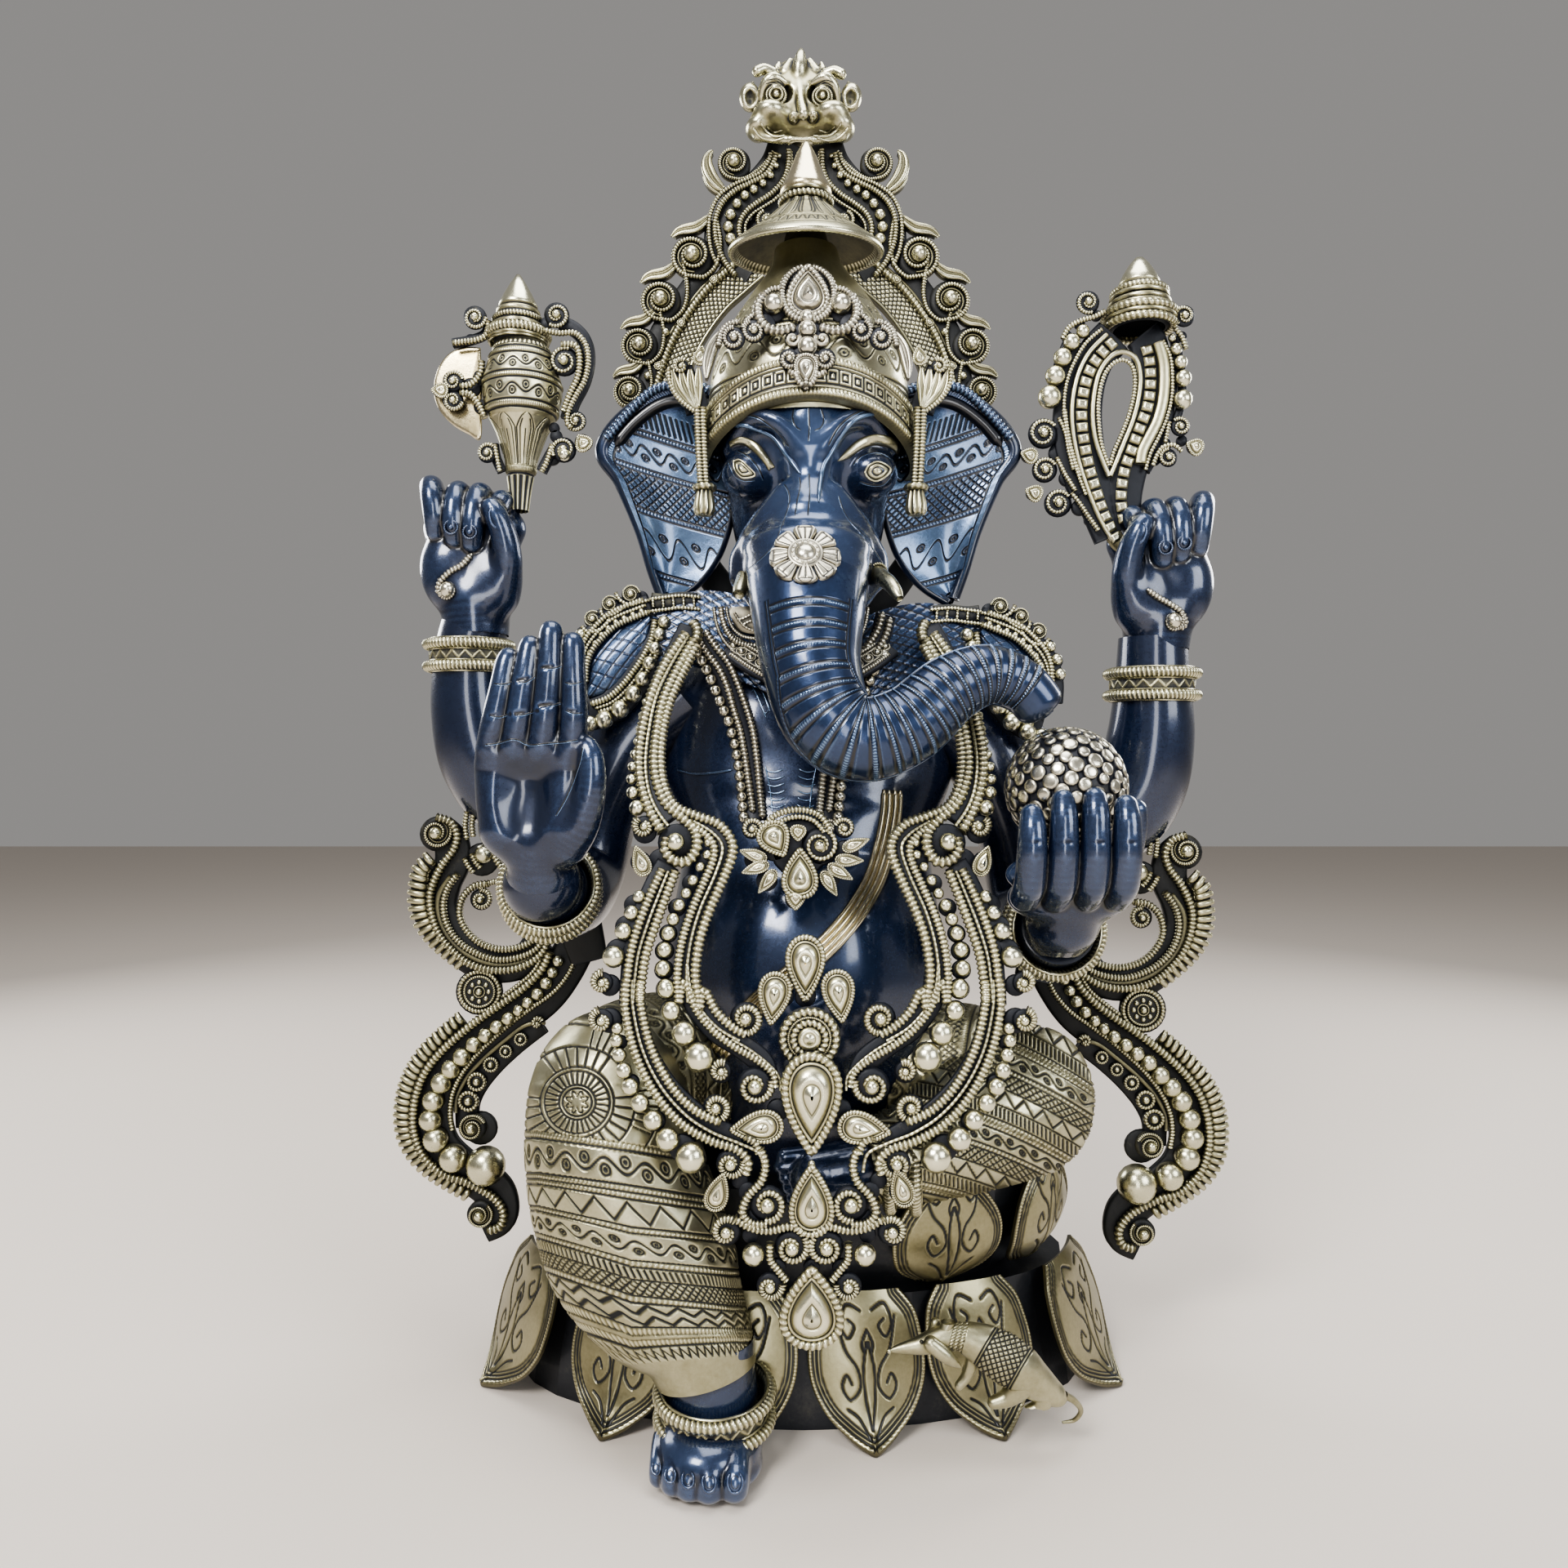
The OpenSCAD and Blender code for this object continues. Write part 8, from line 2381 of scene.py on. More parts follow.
def build_side_scroll():
    m = M()
    S = SL
    # dark backing
    S.strap(m, [(560, 500), (520, 555), (440, 585), (350, 575), (275, 525), (225, 455), (200, 370), (215, 290), (245, 220), (240, 150), (200, 110)], 62, dy=-5, t=3.0)
    S.strap(m, [(690, 500), (640, 600), (575, 690), (480, 765), (380, 830), (290, 905), (220, 985), (180, 1070), (175, 1150), (205, 1235), (275, 1305), (350, 1350), (400, 1400), (405, 1470), (350, 1500)], 72, dy=-5, t=3.0)
    S.strap(m, [(560, 790), (470, 860), (390, 935), (330, 1010), (300, 1080), (300, 1160)], 42, dy=-5, t=2.6)
    S.plate(m, [(340, 680, 84), (345, 1165, 60), (360, 1300, 62), (190, 120, 62), (350, 210, 60)], dy=-4)
    # upper curl: three cords round the opening
    S.rope(m, [(188, 60), (238, 78), (260, 125), (248, 175), (212, 225), (182, 280), (165, 340), (172, 410), (200, 480), (246, 535), (300, 578), (370, 602), (450, 602), (520, 578), (568, 535), (588, 480)], 14)
    S.rope(m, [(262, 262), (226, 315), (212, 375), (224, 440), (262, 498), (322, 540), (400, 566), (480, 558), (540, 530), (574, 484)], 12)
    S.rope(m, [(372, 296), (320, 306), (280, 348), (270, 410), (300, 470), (352, 512), (420, 530), (490, 520), (540, 490), (560, 450)], 12)
    S.strap(m, [(240, 270), (196, 340), (198, 420), (240, 500), (310, 556), (400, 584), (490, 574), (550, 530)], 10, dy=0.4, t=1.2, W=0.45)
    S.vol(m, 345, 352, 44, 1.6, -1, turns=1.2, tail=[(420, 290), (392, 290), (360, 302)])
    big_volute(m, S, 188, 116, 62, PI / 2, -1)
    # cord ends by the arm
    for rows in ([(296, 40), (290, 90), (296, 140)], [(322, 34), (314, 84), (318, 130)], [(286, 206), (300, 232), (318, 256)], [(312, 190), (326, 218), (344, 240)]):
        S.rope(m, rows, 10)
    ball(m, S.p(356, 190, 2), S.mm(34), 18, .5, 1)
    S.rope(m, [(385, 178), (402, 214), (428, 248), (466, 276)], 12)
    fin(m, S, [(150, 195), (112, 240), (100, 300), (98, 370), (118, 440), (160, 500), (210, 548), (262, 590)], 17, S.mm(30), S.mm(58), side=-1)
    # disc
    c = S.p(340, 680, 2)
    milled_ring(m, c, S.mm(70), S.mm(9), (0, -1, 0), deep=.3)
    rosette(m, c + np.array([0, 0.4, 0]), S.mm(58), (0, -1, 0), petals=8)
    # long S band
    S.rope(m, [(590, 540), (562, 600), (505, 660), (435, 712), (350, 770), (270, 832), (190, 908), (140, 980), (112, 1060), (104, 1140), (116, 1212), (152, 1280), (214, 1330), (290, 1356), (352, 1386), (402, 1424), (426, 1470), (412, 1515), (370, 1530)], 15)
    S.rope(m, [(560, 560), (530, 610), (480, 655), (420, 700)], 8)
    S.rope(m, [(690, 540), (655, 620), (600, 685), (530, 735), (462, 785), (395, 842), (330, 905), (278, 972), (246, 1040), (236, 1110), (244, 1172)], 9)
    S.strap(m, [(575, 790), (505, 800), (430, 855), (360, 915), (300, 980), (262, 1050), (256, 1110)], 7, dy=0.2, t=1.0, W=0.4)
    S.beads(m, [(620, 572, 17), (600, 612, 17), (577, 650, 19), (546, 688, 19), (512, 720, 18), (480, 748, 18), (443, 776, 21), (402, 805, 22), (362, 836, 23), (320, 868, 25), (278, 912, 28), (238, 956, 29), (204, 1005, 32), (176, 1068, 33), (166, 1136, 35), (184, 1206, 38), (246, 1272, 42), (362, 1300, 58)], dy=2.4, n=18)
    for x, y, r in ((486, 850, 24), (433, 893, 24), (380, 940, 28), (330, 1001, 35), (300, 1070, 38)):
        c = S.p(x, y, 2)
        milled_ring(m, c, S.mm(r) * 0.8, S.mm(r) * 0.22, (0, -1, 0), deep=.3)
        ball(m, c, S.mm(r) * 0.42, 12, .5, 1)
        lathe(m, [[0, -2.6, .1], [S.mm(r), -2.6, .1], [S.mm(r), -.3, .12], [0, 0.2, .06]], c, (0, -1, 0), 20)
    S.vol(m, 546, 792, 22, 0.5, 1, turns=1.0)
    big_volute(m, S, 312, 1166, 52, 0.4, 1)
    big_volute(m, S, 340, 1476, 50, 0.9, -1)
    fin(m, S, [(262, 762), (200, 815), (135, 880), (90, 945), (62, 1010), (48, 1080), (48, 1160), (66, 1225), (108, 1290), (165, 1340), (225, 1378), (285, 1412)], 32, S.mm(28), S.mm(52), side=-1)
    # dark web that joins the scroll to the elbow
    w_ = [list(P(722, 1176, -3)) + [12.0], list(P(712, 1140, -6)) + [14.0], list(P(702, 1104, -12)) + [15.0], list(P(694, 1070, -22)) + [14.0]]
    strap(m, np.array(w_, float), t=3.0, W=0.05)
    return m


# ---------------------------------------------------------------- legs

LEG_R = [(-112, -76, 246.5, 3, 3), (-112, -76, 245, 14, 13), (-112, -76.5, 240, 26, 24), (-112, -77, 231, 36, 34), (-112, -78, 219, 44, 41), (-112, -79.5, 205, 48.5, 45), (-112, -84, 188, 50.5, 46), (-110, -91, 166, 51.5, 45.5), (-104, -96, 140, 53, 43), (-93, -101, 114, 53.5, 39.5), (-76, -106, 88, 46, 35), (-61.5, -110, 68, 34, 30), (-56, -112, 55, 29.5, 27.5), (-54.5, -112.5, 50, 28.5, 27)]


def cam_uv(V):
    q = 1350.0 / (734.0 + V[..., 1])
    return 960 + (V[..., 0] + 11.0) * q, 960 - (V[..., 2] - 381.0) * q


def grid_normals(V):
    a = np.gradient(V, axis=0)
    b = np.roll(V, -1, 1) - np.roll(V, 1, 1)
    n = np.cross(b, a)
    n = unit(n)
    c = V.mean(1, keepdims=True)
    if ((V - c) * n).sum() < 0:
        n = -n
    return n


def loft_grid(rows, step, n, shape=None):
    m, C, s = limb_mesh(rows, step, n, caps=False, shape=shape)
    return m.V[0].reshape(len(C), n, 3), C, s


def engraved_loft(rows, spec_fn, depth, step=0.62, n=520, shape=None, caps=True):
    V, C, s = loft_grid(rows, step, n, shape)
    N = grid_normals(V)
    ph = np.linspace(0, 2 * PI, n, endpoint=False)
    T = ph[None, :] * np.maximum(C[:, 3:4], 20.0) * 0 + ph[None, :] * 46.0
    H, W = spec_fn(V, s, T)
    V = V - N * ((1 - H) * depth)[..., None]
    m = M()
    m.add(V, gridq(len(C), n, False, True), None, W.ravel())
    if caps:
        for i, rev in ((0, True), (len(C) - 1, False)):
            ring = V[i]
            cc = ring.mean(0)
            rr = np.array([cc + (ring - cc) * q for q in (1.0, 0.5, 0.01)])
            q = gridq(3, n, False, True)
            m.add(rr, q[:, ::-1] if rev else q, None, 0.15)
    return m


def piled(Y, X, lines):
    """Band coordinate: lines = [(value, (y at x0, x1, x2))] across the drawing."""
    xs = np.array([130.0, 400.0, 680.0])
    vals = np.array([q[0] for q in lines], float)
    B = np.stack([np.interp(X, xs, q[1]) for q in lines], -1)
    out = np.zeros_like(Y)
    n = len(lines)
    k = np.clip((Y[..., None] > B).sum(-1) - 1, 0, n - 2)
    b0 = np.take_along_axis(B, k[..., None], -1)[..., 0]
    b1 = np.take_along_axis(B, k[..., None] + 1, -1)[..., 0]
    v0, v1 = vals[k], vals[k + 1]
    return v0 + (Y - b0) / (b1 - b0) * (v1 - v0)


LEG_SPEC = [(2.6, "rope", 2.3), (1.0, "line", 1), (12.4, "wave", 20), (1.0, "line", 1), (2.4, "rope", 2.2), (0.8, "line", 1), (2.4, "rope", 2.2), (1.0, "line", 1), (12.0, "zig", 15), (1.0, "line", 1), (2.8, "rope", 2.3),
            (1.0, "line", 1), (15.5, "wave", 17), (1.0, "line", 1), (2.8, "rope", 2.3), (1.0, "line", 1), (5.5, "comb", 2.6), (1.0, "line", 1), (7.5, "hatch", 3.8), (1.0, "line", 1), (2.8, "rope", 2.3), (1.0, "line", 1), (5.5, "zig", 13), (5.5, "zig", 13), (1.0, "line", 1), (2.6, "rope", 2.3), (1.4, "plain", 1), (2.6, "rope", 2.3), (1.0, "line", 1), (6.0, "zig", 5), (60, "plain", 1)]


def right_leg_fields(V, s, T):
    u, v = cam_uv(V)
    X, Y = (u - 600) * 2.3059, (v - 1200) * 2.3059
    tot = np.cumsum([0] + [q[0] for q in LEG_SPEC])
    rows = [(0 - 60.0, (150, 190, 230)), (0.0, (425, 462, 505)), (tot[4], (548, 585, 625)), (tot[10], (640, 702, 728)), (tot[14], (715, 795, 818)), (tot[20], (800, 895, 922)), (tot[25], (880, 985, 985)), (tot[28], (950, 1040, 1022)), (tot[30], (1000, 1085, 1060)), (tot[30] + 30, (1150, 1240, 1220))]
    w = piled(Y, X, rows)
    back = V[..., 1] > -60
    wz = (246 - V[..., 2]) * 0.9 - 45
    w = np.where(back & (w < 0), w, w)
    H, W = bands(np.clip(w, 0, tot[-1] - 0.01), T, LEG_SPEC)
    # knee cap: feathered leaf round an eye
    cap = w < 0
    dx, dy = (X - 245) / 4.9, (Y - 345) / 4.9
    r = np.hypot(dx, dy * 1.05)
    a = np.arctan2(dy, dx)
    g = line(r - 8.5, 0.3, 0.45) + line(r - 10.6, 0.3, 0.45) + line(r - 19, 0.3, 0.45) + line(r - 21.5, 0.3, 0.45) + line(r - 34, 0.3, 0.45)
    k = 30
    x = ((a / (2 * PI) * k) % 1 - 0.5) * 2 * PI * r / k
    g = g + line(x, 0.25, 0.4) * ((r > 10.6) & (r < 19)) + line(x * 0.8, 0.22, 0.4) * ((r > 21.5) & (r < 34) & (np.sin(a * 3) > -0.4))
    pet = np.abs(np.sin(a * 4))
    g = g + line(r - 3.2 - 3.6 * pet, 0.3, 0.4)
    k2 = 54
    x2 = ((a / (2 * PI) * k2) % 1 - 0.5) * 2 * PI * r / k2
    g = g + line(x2, 0.2, 0.4) * ((r > 34) & (r < 47) & (np.sin(a * 5 + 1) > 0.1)) + line(r - 48, 0.3, 0.4)
    g = np.clip(g, 0, 1)
    H = np.where(cap, 1 - g, H)
    W = np.where(cap, 0.68 * (1 - g) + 0.05 * g, W)
    return H, W


LEG_L = [(177, -46, 190, 2), (176, -46, 190, 10), (172, -47, 190, 22), (164, -49, 190, 33), (152, -53, 190, 41), (136, -60, 189, 45), (118, -70, 185, 43.5), (100, -80, 180, 40), (82, -89, 174, 35), (66, -95, 169, 30), (50, -98, 166, 26), (38, -99, 164, 24)]


def left_leg_fields(V, s, T):
    u, v = cam_uv(V)
    X, Y = (u - 960) * 2.6133, (v - 1180) * 2.6133
    w = (Y - 250 - 0.42 * (X - 700) - 0.00045 * (X - 700) ** 2) / 5.6
    spec = [(2.4, "rope", 2.2), (0.9, "line", 1), (10, "wave", 14), (0.9, "line", 1), (2.4, "rope", 2.2), (0.9, "line", 1), (8.5, "hatch", 4.2), (0.9, "line", 1), (9.5, "zig", 11), (0.9, "line", 1), (7.5, "comb", 2.4), (0.9, "line", 1), (2.4, "rope", 2.2), (0.8, "plain", 1)]
    return bands(w, X / 5.6, spec, 0.0)


def build_leg_right():
    m = engraved_loft(LEG_R, right_leg_fields, 1.0, 0.6, 560, shape=lambda s, p: 1 + 0.0 * s * p)
    th = [(-40, -10, 196, 44), (-60, -26, 198, 47), (-84, -46, 202, 49), (-104, -66, 202, 48), (-114, -76, 200, 44)]

    def f(V, s, T):
        sp = [(2.4, "rope", 2.2), (0.9, "line", 1), (12, "wave", 18), (0.9, "line", 1), (2.4, "rope", 2.2), (10, "zig", 12), (0.9, "line", 1), (8, "hatch", 4)]
        return bands(np.broadcast_to(s[:, None], T.shape), T, sp)
    m.merge(engraved_loft(th, f, 0.9, 0.9, 300))
    return m


def build_leg_left():
    m = engraved_loft(LEG_L, left_leg_fields, 1.0, 0.62, 500)
    th = [(40, -8, 188, 42), (62, -20, 192, 46), (86, -34, 194, 48), (110, -44, 195, 47), (134, -50, 193, 43)]

    def f(V, s, T):
        sp = [(2.4, "rope", 2.2), (0.9, "line", 1), (12, "wave", 18), (0.9, "line", 1), (2.4, "rope", 2.2), (10, "zig", 12), (0.9, "line", 1), (8, "hatch", 4)]
        return bands(np.broadcast_to(s[:, None], T.shape), T, sp)
    m.merge(engraved_loft(th, f, 0.9, 0.9, 300))
    return m


def build_foot_right():
    v = Vol((-92, -166, -2), (-14, -78, 70), 0.75)
    v.cap((-53, -111, 64), (-52, -112, 34), 25.5, 25, 4)
    v.cap((-52, -110, 34), (-52, -106, 20), 25, 20, 6)
    v.ell((-53, -122, 17), (30, 34, 17), 8)
    toes = [(-36.6, 7.4, -151, 15), (-50.2, 6.6, -152, 14.5), (-61.4, 6.0, -150, 14), (-71.0, 5.4, -147, 13.5), (-79.0, 4.6, -142, 12.5)]
    for x, r, y, h in toes:
        v.chain([(x * 0.9 - 5.3, -118, 24, r * 1.05), (x, y + 14, 20, r), (x, y, 14.5, r * 0.98), (x, y - 1, 9.5, r * 0.95)], 1.6)
    v.ell((-53, -128, 8), (30, 28, 9.5), 6)
    V, Q = v.mesh(1)
    V[:, 2] = np.maximum(V[:, 2], 0.3)
    N = vnormals(V, Q)
    cv = ((neighbour_mean(V, Q) - V) * N).sum(1)
    m = M()
    m.add(V, Q, None, np.clip(0.6 - cv * 7, 0.05, 1.0))
    cs = Caster(m)
    for x, r, y, h in toes:
        c = np.array([x, y - r, 16.5])
        q = 1350.0 / (734.0 + c[1])
        uu, vv = 960 + (x + 11) * q, 960 - (c[2] - 381) * q
        k = r * q
        ring = [(uu + k * 0.52 * math.cos(a), vv + k * 0.8 * math.sin(a)) for a in np.linspace(-0.3 * PI, 1.3 * PI, 18)]
        ridge(m, cs, ring, 0.75, 0.75, 0.25)
        ring2 = [(uu + k * 0.28 * math.cos(a), vv + k * 0.5 * math.sin(a)) for a in np.linspace(0, 2 * PI, 14)]
        engrave(m, cs, ring2, 0.35, False)
    return m


def build_foot_left():
    v = Vol((-24, -128, 134), (92, -74, 192), 1.0)
    v.chain([(78, -92, 165, 19), (52, -97, 163, 18), (26, -101, 160, 17), (6, -103, 158, 15)], 5)
    for i in range(5):
        v.cap((4, -104 - (i % 2) * 1.0, 170 - i * 6.2), (-13 + abs(i - 1) * 2.0, -106, 169 - i * 6.0), 5.0, 4.4 - 0.15 * i, 1.5)
    V, Q = v.mesh(1)
    m = M()
    m.add(V, Q, None, 0.6)
    return m


# ---------------------------------------------------------------- lotus

RXB, RYB = 184.0, 84.0


def spiral2(cx, cy, r, a0, hand, turns=1.2, n=26):
    th = np.linspace(0, 2 * PI * turns, n)
    rr = r * (1 - 0.8 * th / th[-1])
    return np.stack([cx + rr * np.cos(a0 + hand * th), cy + rr * np.sin(a0 + hand * th)], 1)


def near(A, B, pl):
    """Distance of each grid point (A, B) to a drawn line."""
    pl = np.asarray(pl, float)
    if len(pl) < 40:
        pl = curve(np.hstack([pl, np.zeros((len(pl), 1))]), 0.8)[0][:, :2]
    d = np.full(A.shape, 1e9)
    for i in range(len(pl) - 1):
        p, q = pl[i], pl[i + 1]
        e = q - p
        L = (e @ e) + 1e-9
        t = np.clip(((A - p[0]) * e[0] + (B - p[1]) * e[1]) / L, 0, 1)
        dd = np.hypot(A - p[0] - t * e[0], B - p[1] - t * e[1])
        d = np.minimum(d, dd)
    return d


def motif(w):
    """Paired scrolls and a chevron, in petal widths; y runs 0 at the root to 1 at the tip."""
    out = []
    for s in (-1, 1):
        out.append(np.array([(s * .10, .10), (s * .34, .06), (s * .46, .18), (s * .34, .27), (s * .22, .20), (s * .32, .155)]))
        out.append(np.array([(s * .52, .14), (s * .40, .34), (s * .20, .46), (s * .16, .58), (s * .34, .66), (s * .48, .58), (s * .40, .50), (s * .31, .56)]))
        out.append(np.array([(s * .02, .30), (s * .10, .48), (s * .08, .66), (s * .01, .86)]))
        out.append(np.array([(s * .40, .72), (s * .22, .78), (s * .05, .92)]))
        out.append(np.array([(0, .22), (s * .09, .30), (s * .06, .36), (0, .30)]))
    return out


def petal_surface(m, place, prof, wide, bulge, nq=90, ns=120, edge=2.4, depth=0.9, tipfirst=False, motifs=True, th=2.6):
    C, s = curve(np.array([(q[0], 0.0, q[1], q[2]) for q in prof]), 0.4)
    t = np.linspace(0, 1, ns)
    k = np.interp(t * s[-1], s, np.arange(len(C)))
    f = lambda col: np.interp(k, np.arange(len(C)), C[:, col])
    off, z, hw = f(0), f(2), f(3) * wide
    L = s[-1]
    # slope normal of the profile (pushes relief outwards)
    do, dz = np.gradient(off), np.gradient(z)
    ln = np.hypot(do, dz)
    no, nz = -dz / ln * (1 if z[0] < z[-1] else 1), do / ln
    sg = np.where(no < 0, -1, 1)
    no, nz = no * sg, nz * sg
    q = np.linspace(-1, 1, nq)
    q = np.sign(q) * (1 - (1 - np.abs(q)) ** 1.0)
    Q, T = np.meshgrid(q, t, indexing="xy")
    A = Q * hw[:, None]
    hmax = hw.max()
    yy = T if not tipfirst else 1 - T
    # distance to the outline
    ol = np.concatenate([np.stack([hw, t * L], 1)])
    de = np.minimum(near(np.abs(A), T * L, ol[::3]), 1e3)
    rp = de < edge
    Hh = np.ones_like(A)
    W = np.full_like(A, 0.62)
    ss = T * L
    vr = np.sqrt(np.clip(1 - ((de - edge * 0.5) / (edge * 0.5)) ** 2, 0, 1)) * (0.5 + 0.5 * (0.5 + 0.5 * np.cos(2 * PI * ss / 1.9)))
    Hh = np.where(rp, 0.2 + 1.1 * vr, Hh)
    W = np.where(rp, 0.12 + 0.85 * vr, W)
    g = line(de - edge - 0.5, 0.3, 0.4) + line(de - edge - 2.6, 0.35, 0.45) + 0.8 * line(de - edge - 4.6, 0.3, 0.4)
    if motifs:
        for pl in motif(0):
            pl = np.stack([pl[:, 0] * hmax * 0.95, (pl[:, 1] * 0.98 + 0.02) * L], 1)
            g = g + line(near(A, yy * L, pl), 0.42, 0.5)
    g = np.clip(g, 0, 1)
    Hh = Hh - g * (~rp)
    W = np.where(rp, W, W * (1 - g) + 0.03 * g)
    ridge_ = np.exp(-(A / 1.6) ** 2) * np.clip((yy - 0.6) / 0.3, 0, 1) * 1.2
    ex = bulge * (1 - Q ** 2) * np.clip(hw / hmax, 0.15, 1)[:, None] + (Hh - 1) * depth + ridge_
    V = place(off[:, None] + no[:, None] * ex, A, z[:, None] + nz[:, None] * ex)
    face = gridq(ns, nq)
    m.add(V, face, None, W.ravel())
    Vb = place(off[:, None] + no[:, None] * (bulge * (1 - Q ** 2) * np.clip(hw / hmax, 0.15, 1)[:, None] - th), A * 0.985, z[:, None] - nz[:, None] * th)
    m.add(Vb[::4, ::6], gridq(*Vb[::4, ::6].shape[:2])[:, ::-1], None, 0.25)
    for j in (0, -1):
        e = np.stack([V[:, j], Vb[:, j]], 1)
        m.add(e, gridq(ns, 2), None, 0.4)
    for j in (0, -1):
        e = np.stack([V[j, :], Vb[j, :]], 1)
        m.add(e, gridq(nq, 2), None, 0.4)
    return m


def lower_petal(a, scale=1.0):
    m = M()
    sa, ca = math.sin(math.radians(a)), math.cos(math.radians(a))
    nn = unit(np.array([sa / RXB, -ca / RYB, 0.0]))
    tt = np.array([-nn[1], nn[0], 0.0])

    def place(off, A, z):
        w = 6.0 * z / 76.0
        c = np.stack([(RXB - 2 * w) * sa + nn[0] * off + 0 * A, -(RYB - w) * ca + nn[1] * off + 0 * A, z + 0 * A], -1)
        return c + tt * A[..., None]
    prof = [(1.5, 80, 22), (4, 70, 30), (6, 58, 33.5), (8.5, 44, 35), (11, 30, 33), (15, 17, 26), (21, 8.5, 15.5), (26.5, 4.6, 7), (30, 3.0, 1.2)]
    return petal_surface(m, place, prof, scale, 5.5)


def upper_petal(a, scale=1.0):
    m = M()
    sa, ca = math.sin(math.radians(a)), math.cos(math.radians(a))
    rx, ry = 152.0, 76.0
    nn = unit(np.array([sa / rx, -ca / ry, 0.0]))
    tt = np.array([-nn[1], nn[0], 0.0])

    def place(off, A, z):
        c = np.stack([rx * sa + nn[0] * off + 0 * A, -ry * ca + nn[1] * off + 0 * A, z + 0 * A], -1)
        return c + tt * A[..., None]
    prof = [(0, 82, 17), (6, 90, 29), (12, 101, 35), (15, 114, 36), (16, 126, 32), (17, 138, 23), (18, 148, 12), (20.5, 156, 1.4)]
    m2 = petal_surface(M(), place, prof, scale, 7.0, tipfirst=True)
    m.merge(m2)
    return m


# ---------------------------------------------------------------- mouse

SM = Sheet(960, 1180, 2.6133, lambda v: -122.0)


def build_mouse():
    S = SM
    mm = lambda r: r / 5.79
    R = [(334, 1240, 2, -129), (350, 1236, 9, -128.5), (380, 1230, 17, -128), (430, 1222, 28, -127), (480, 1208, 39, -126), (520, 1198, 43, -125), (556, 1192, 44, -124), (600, 1204, 56, -123), (650, 1228, 70, -122), (700, 1258, 79, -121), (750, 1292, 76, -120), (800, 1332, 62, -119), (850, 1368, 46, -118), (885, 1386, 32, -118), (902, 1390, 14, -118), (907, 1391, 2, -118)]
    rows = []
    for x, y, r, d in R:
        p = P(960 + x / 2.6133, 1180 + y / 2.6133, d)
        rows.append((p[0], p[1], p[2], mm(r), mm(r) * 0.92))

    def f(V, s, T):
        u, v = cam_uv(V)
        X, Y = (u - 960) * 2.6133, (v - 1180) * 2.6133
        H = np.ones(X.shape)
        W = np.full(X.shape, 0.66)
        # collar
        c = X + 0.25 * (Y - 1200)
        for q0 in (540, 556, 572):
            t = (c - q0) / 5.8
            v_ = pat_rope(Y / 5.8, t, 1.2, 2.0)
            H = np.where(np.abs(t) < 1.2, v_, H)
            W = np.where(np.abs(t) < 1.2, 0.15 + 0.8 * v_, W)
        # saddle cloth
        a, b = (X * 0.86 + Y * 0.5) / 5.8, (-X * 0.5 + Y * 0.86) / 5.8
        lo, hi = (650 * 0.86 + 1228 * 0.5) / 5.8, (752 * 0.86 + 1292 * 0.5) / 5.8
        g = line(a - lo, 0.3, 0.35) + line(a - hi, 0.3, 0.35) + line(a - lo + 1.6, 0.25, 0.35) + line(a - hi - 1.6, 0.25, 0.35)
        hh = 1 - pat_hatch(a, b, 3.8)
        g = g + hh * ((a > lo) & (a < hi))
        g = np.clip(g, 0, 1)
        H = H - g * 0.9
        W = W * (1 - g) + 0.04 * g
        return np.clip(H, 0, 1), W
    m = engraved_loft(rows, f, 0.7, 0.35, 200)
    p = lambda x, y, d: tuple(P(960 + x / 2.6133, 1180 + y / 2.6133, d))
    v = Vol((40, -142, 34), (160, -96, 84), 0.7)
    # ears, paw, haunches
    v.chain([p(512, 1182, -126) + (3.6,), p(524, 1152, -125) + (3.8,), p(536, 1118, -124) + (3.4,)], 1.2)
    v.chain([p(476, 1178, -120) + (3.2,), p(484, 1150, -119) + (3.0,)], 1.2)
    v.chain([p(470, 1216, -132) + (4.2,), p(520, 1256, -133) + (4.0,), p(562, 1288, -132) + (1.2,)], 1.5)
    v.chain([p(610, 1240, -118) + (4.2,), p(590, 1310, -117) + (3.4,), p(560, 1350, -118) + (2.6,)], 1.5)
    v.chain([p(760, 1340, -122) + (8.0,), p(720, 1385, -122) + (5.2,), p(670, 1405, -123) + (3.4,)], 2)
    v.chain([p(830, 1370, -119) + (7.0,), p(820, 1415, -119) + (4.6,), p(780, 1430, -120) + (3.0,)], 2)
    V, Q = v.mesh(1)
    m.add(V, Q, None, 0.66)
    tube(m, [p(898, 1380, -118) + (2.2,), p(930, 1400, -114) + (1.9,), p(950, 1430, -108) + (1.5,), p(930, 1460, -104) + (1.2,), p(890, 1468, -104) + (0.7,)], n=10, W=0.6)
    ball(m, p(440, 1210, -131), 1.1, 10, .05, .2)
    ball(m, p(336, 1240, -129), 1.3, 10, .4, 1)
    return m

# ---------------------------------------------------------------- collar, garland, guards, sash


def D7(rows, du=0.0, dv=0.0):
    return [(640 + a / 4.1263 + du, 680 + b / 4.1263 + dv) for a, b in rows]


def D8(rows, du=0.0, dv=0.0):
    return [(1020 + a / 3.2667 + du, 700 + b / 3.2667 + dv) for a, b in rows]


def flip_u(rows, c=968.5):
    return [(2 * c - a, b) for a, b in rows]


def ahead(cs, uv, lift, d, lim=-44.0):
    """Runs on the chest brought forward, so that they face the front."""
    for A, N in cs.line(uv, lift):
        A = np.array(A, float)
        A[:, 1] = np.minimum(A[:, 1] - d, lim - d)
        yield A, unit(np.array(N, float) * 0.3 + np.array([0, -0.7, 0]))


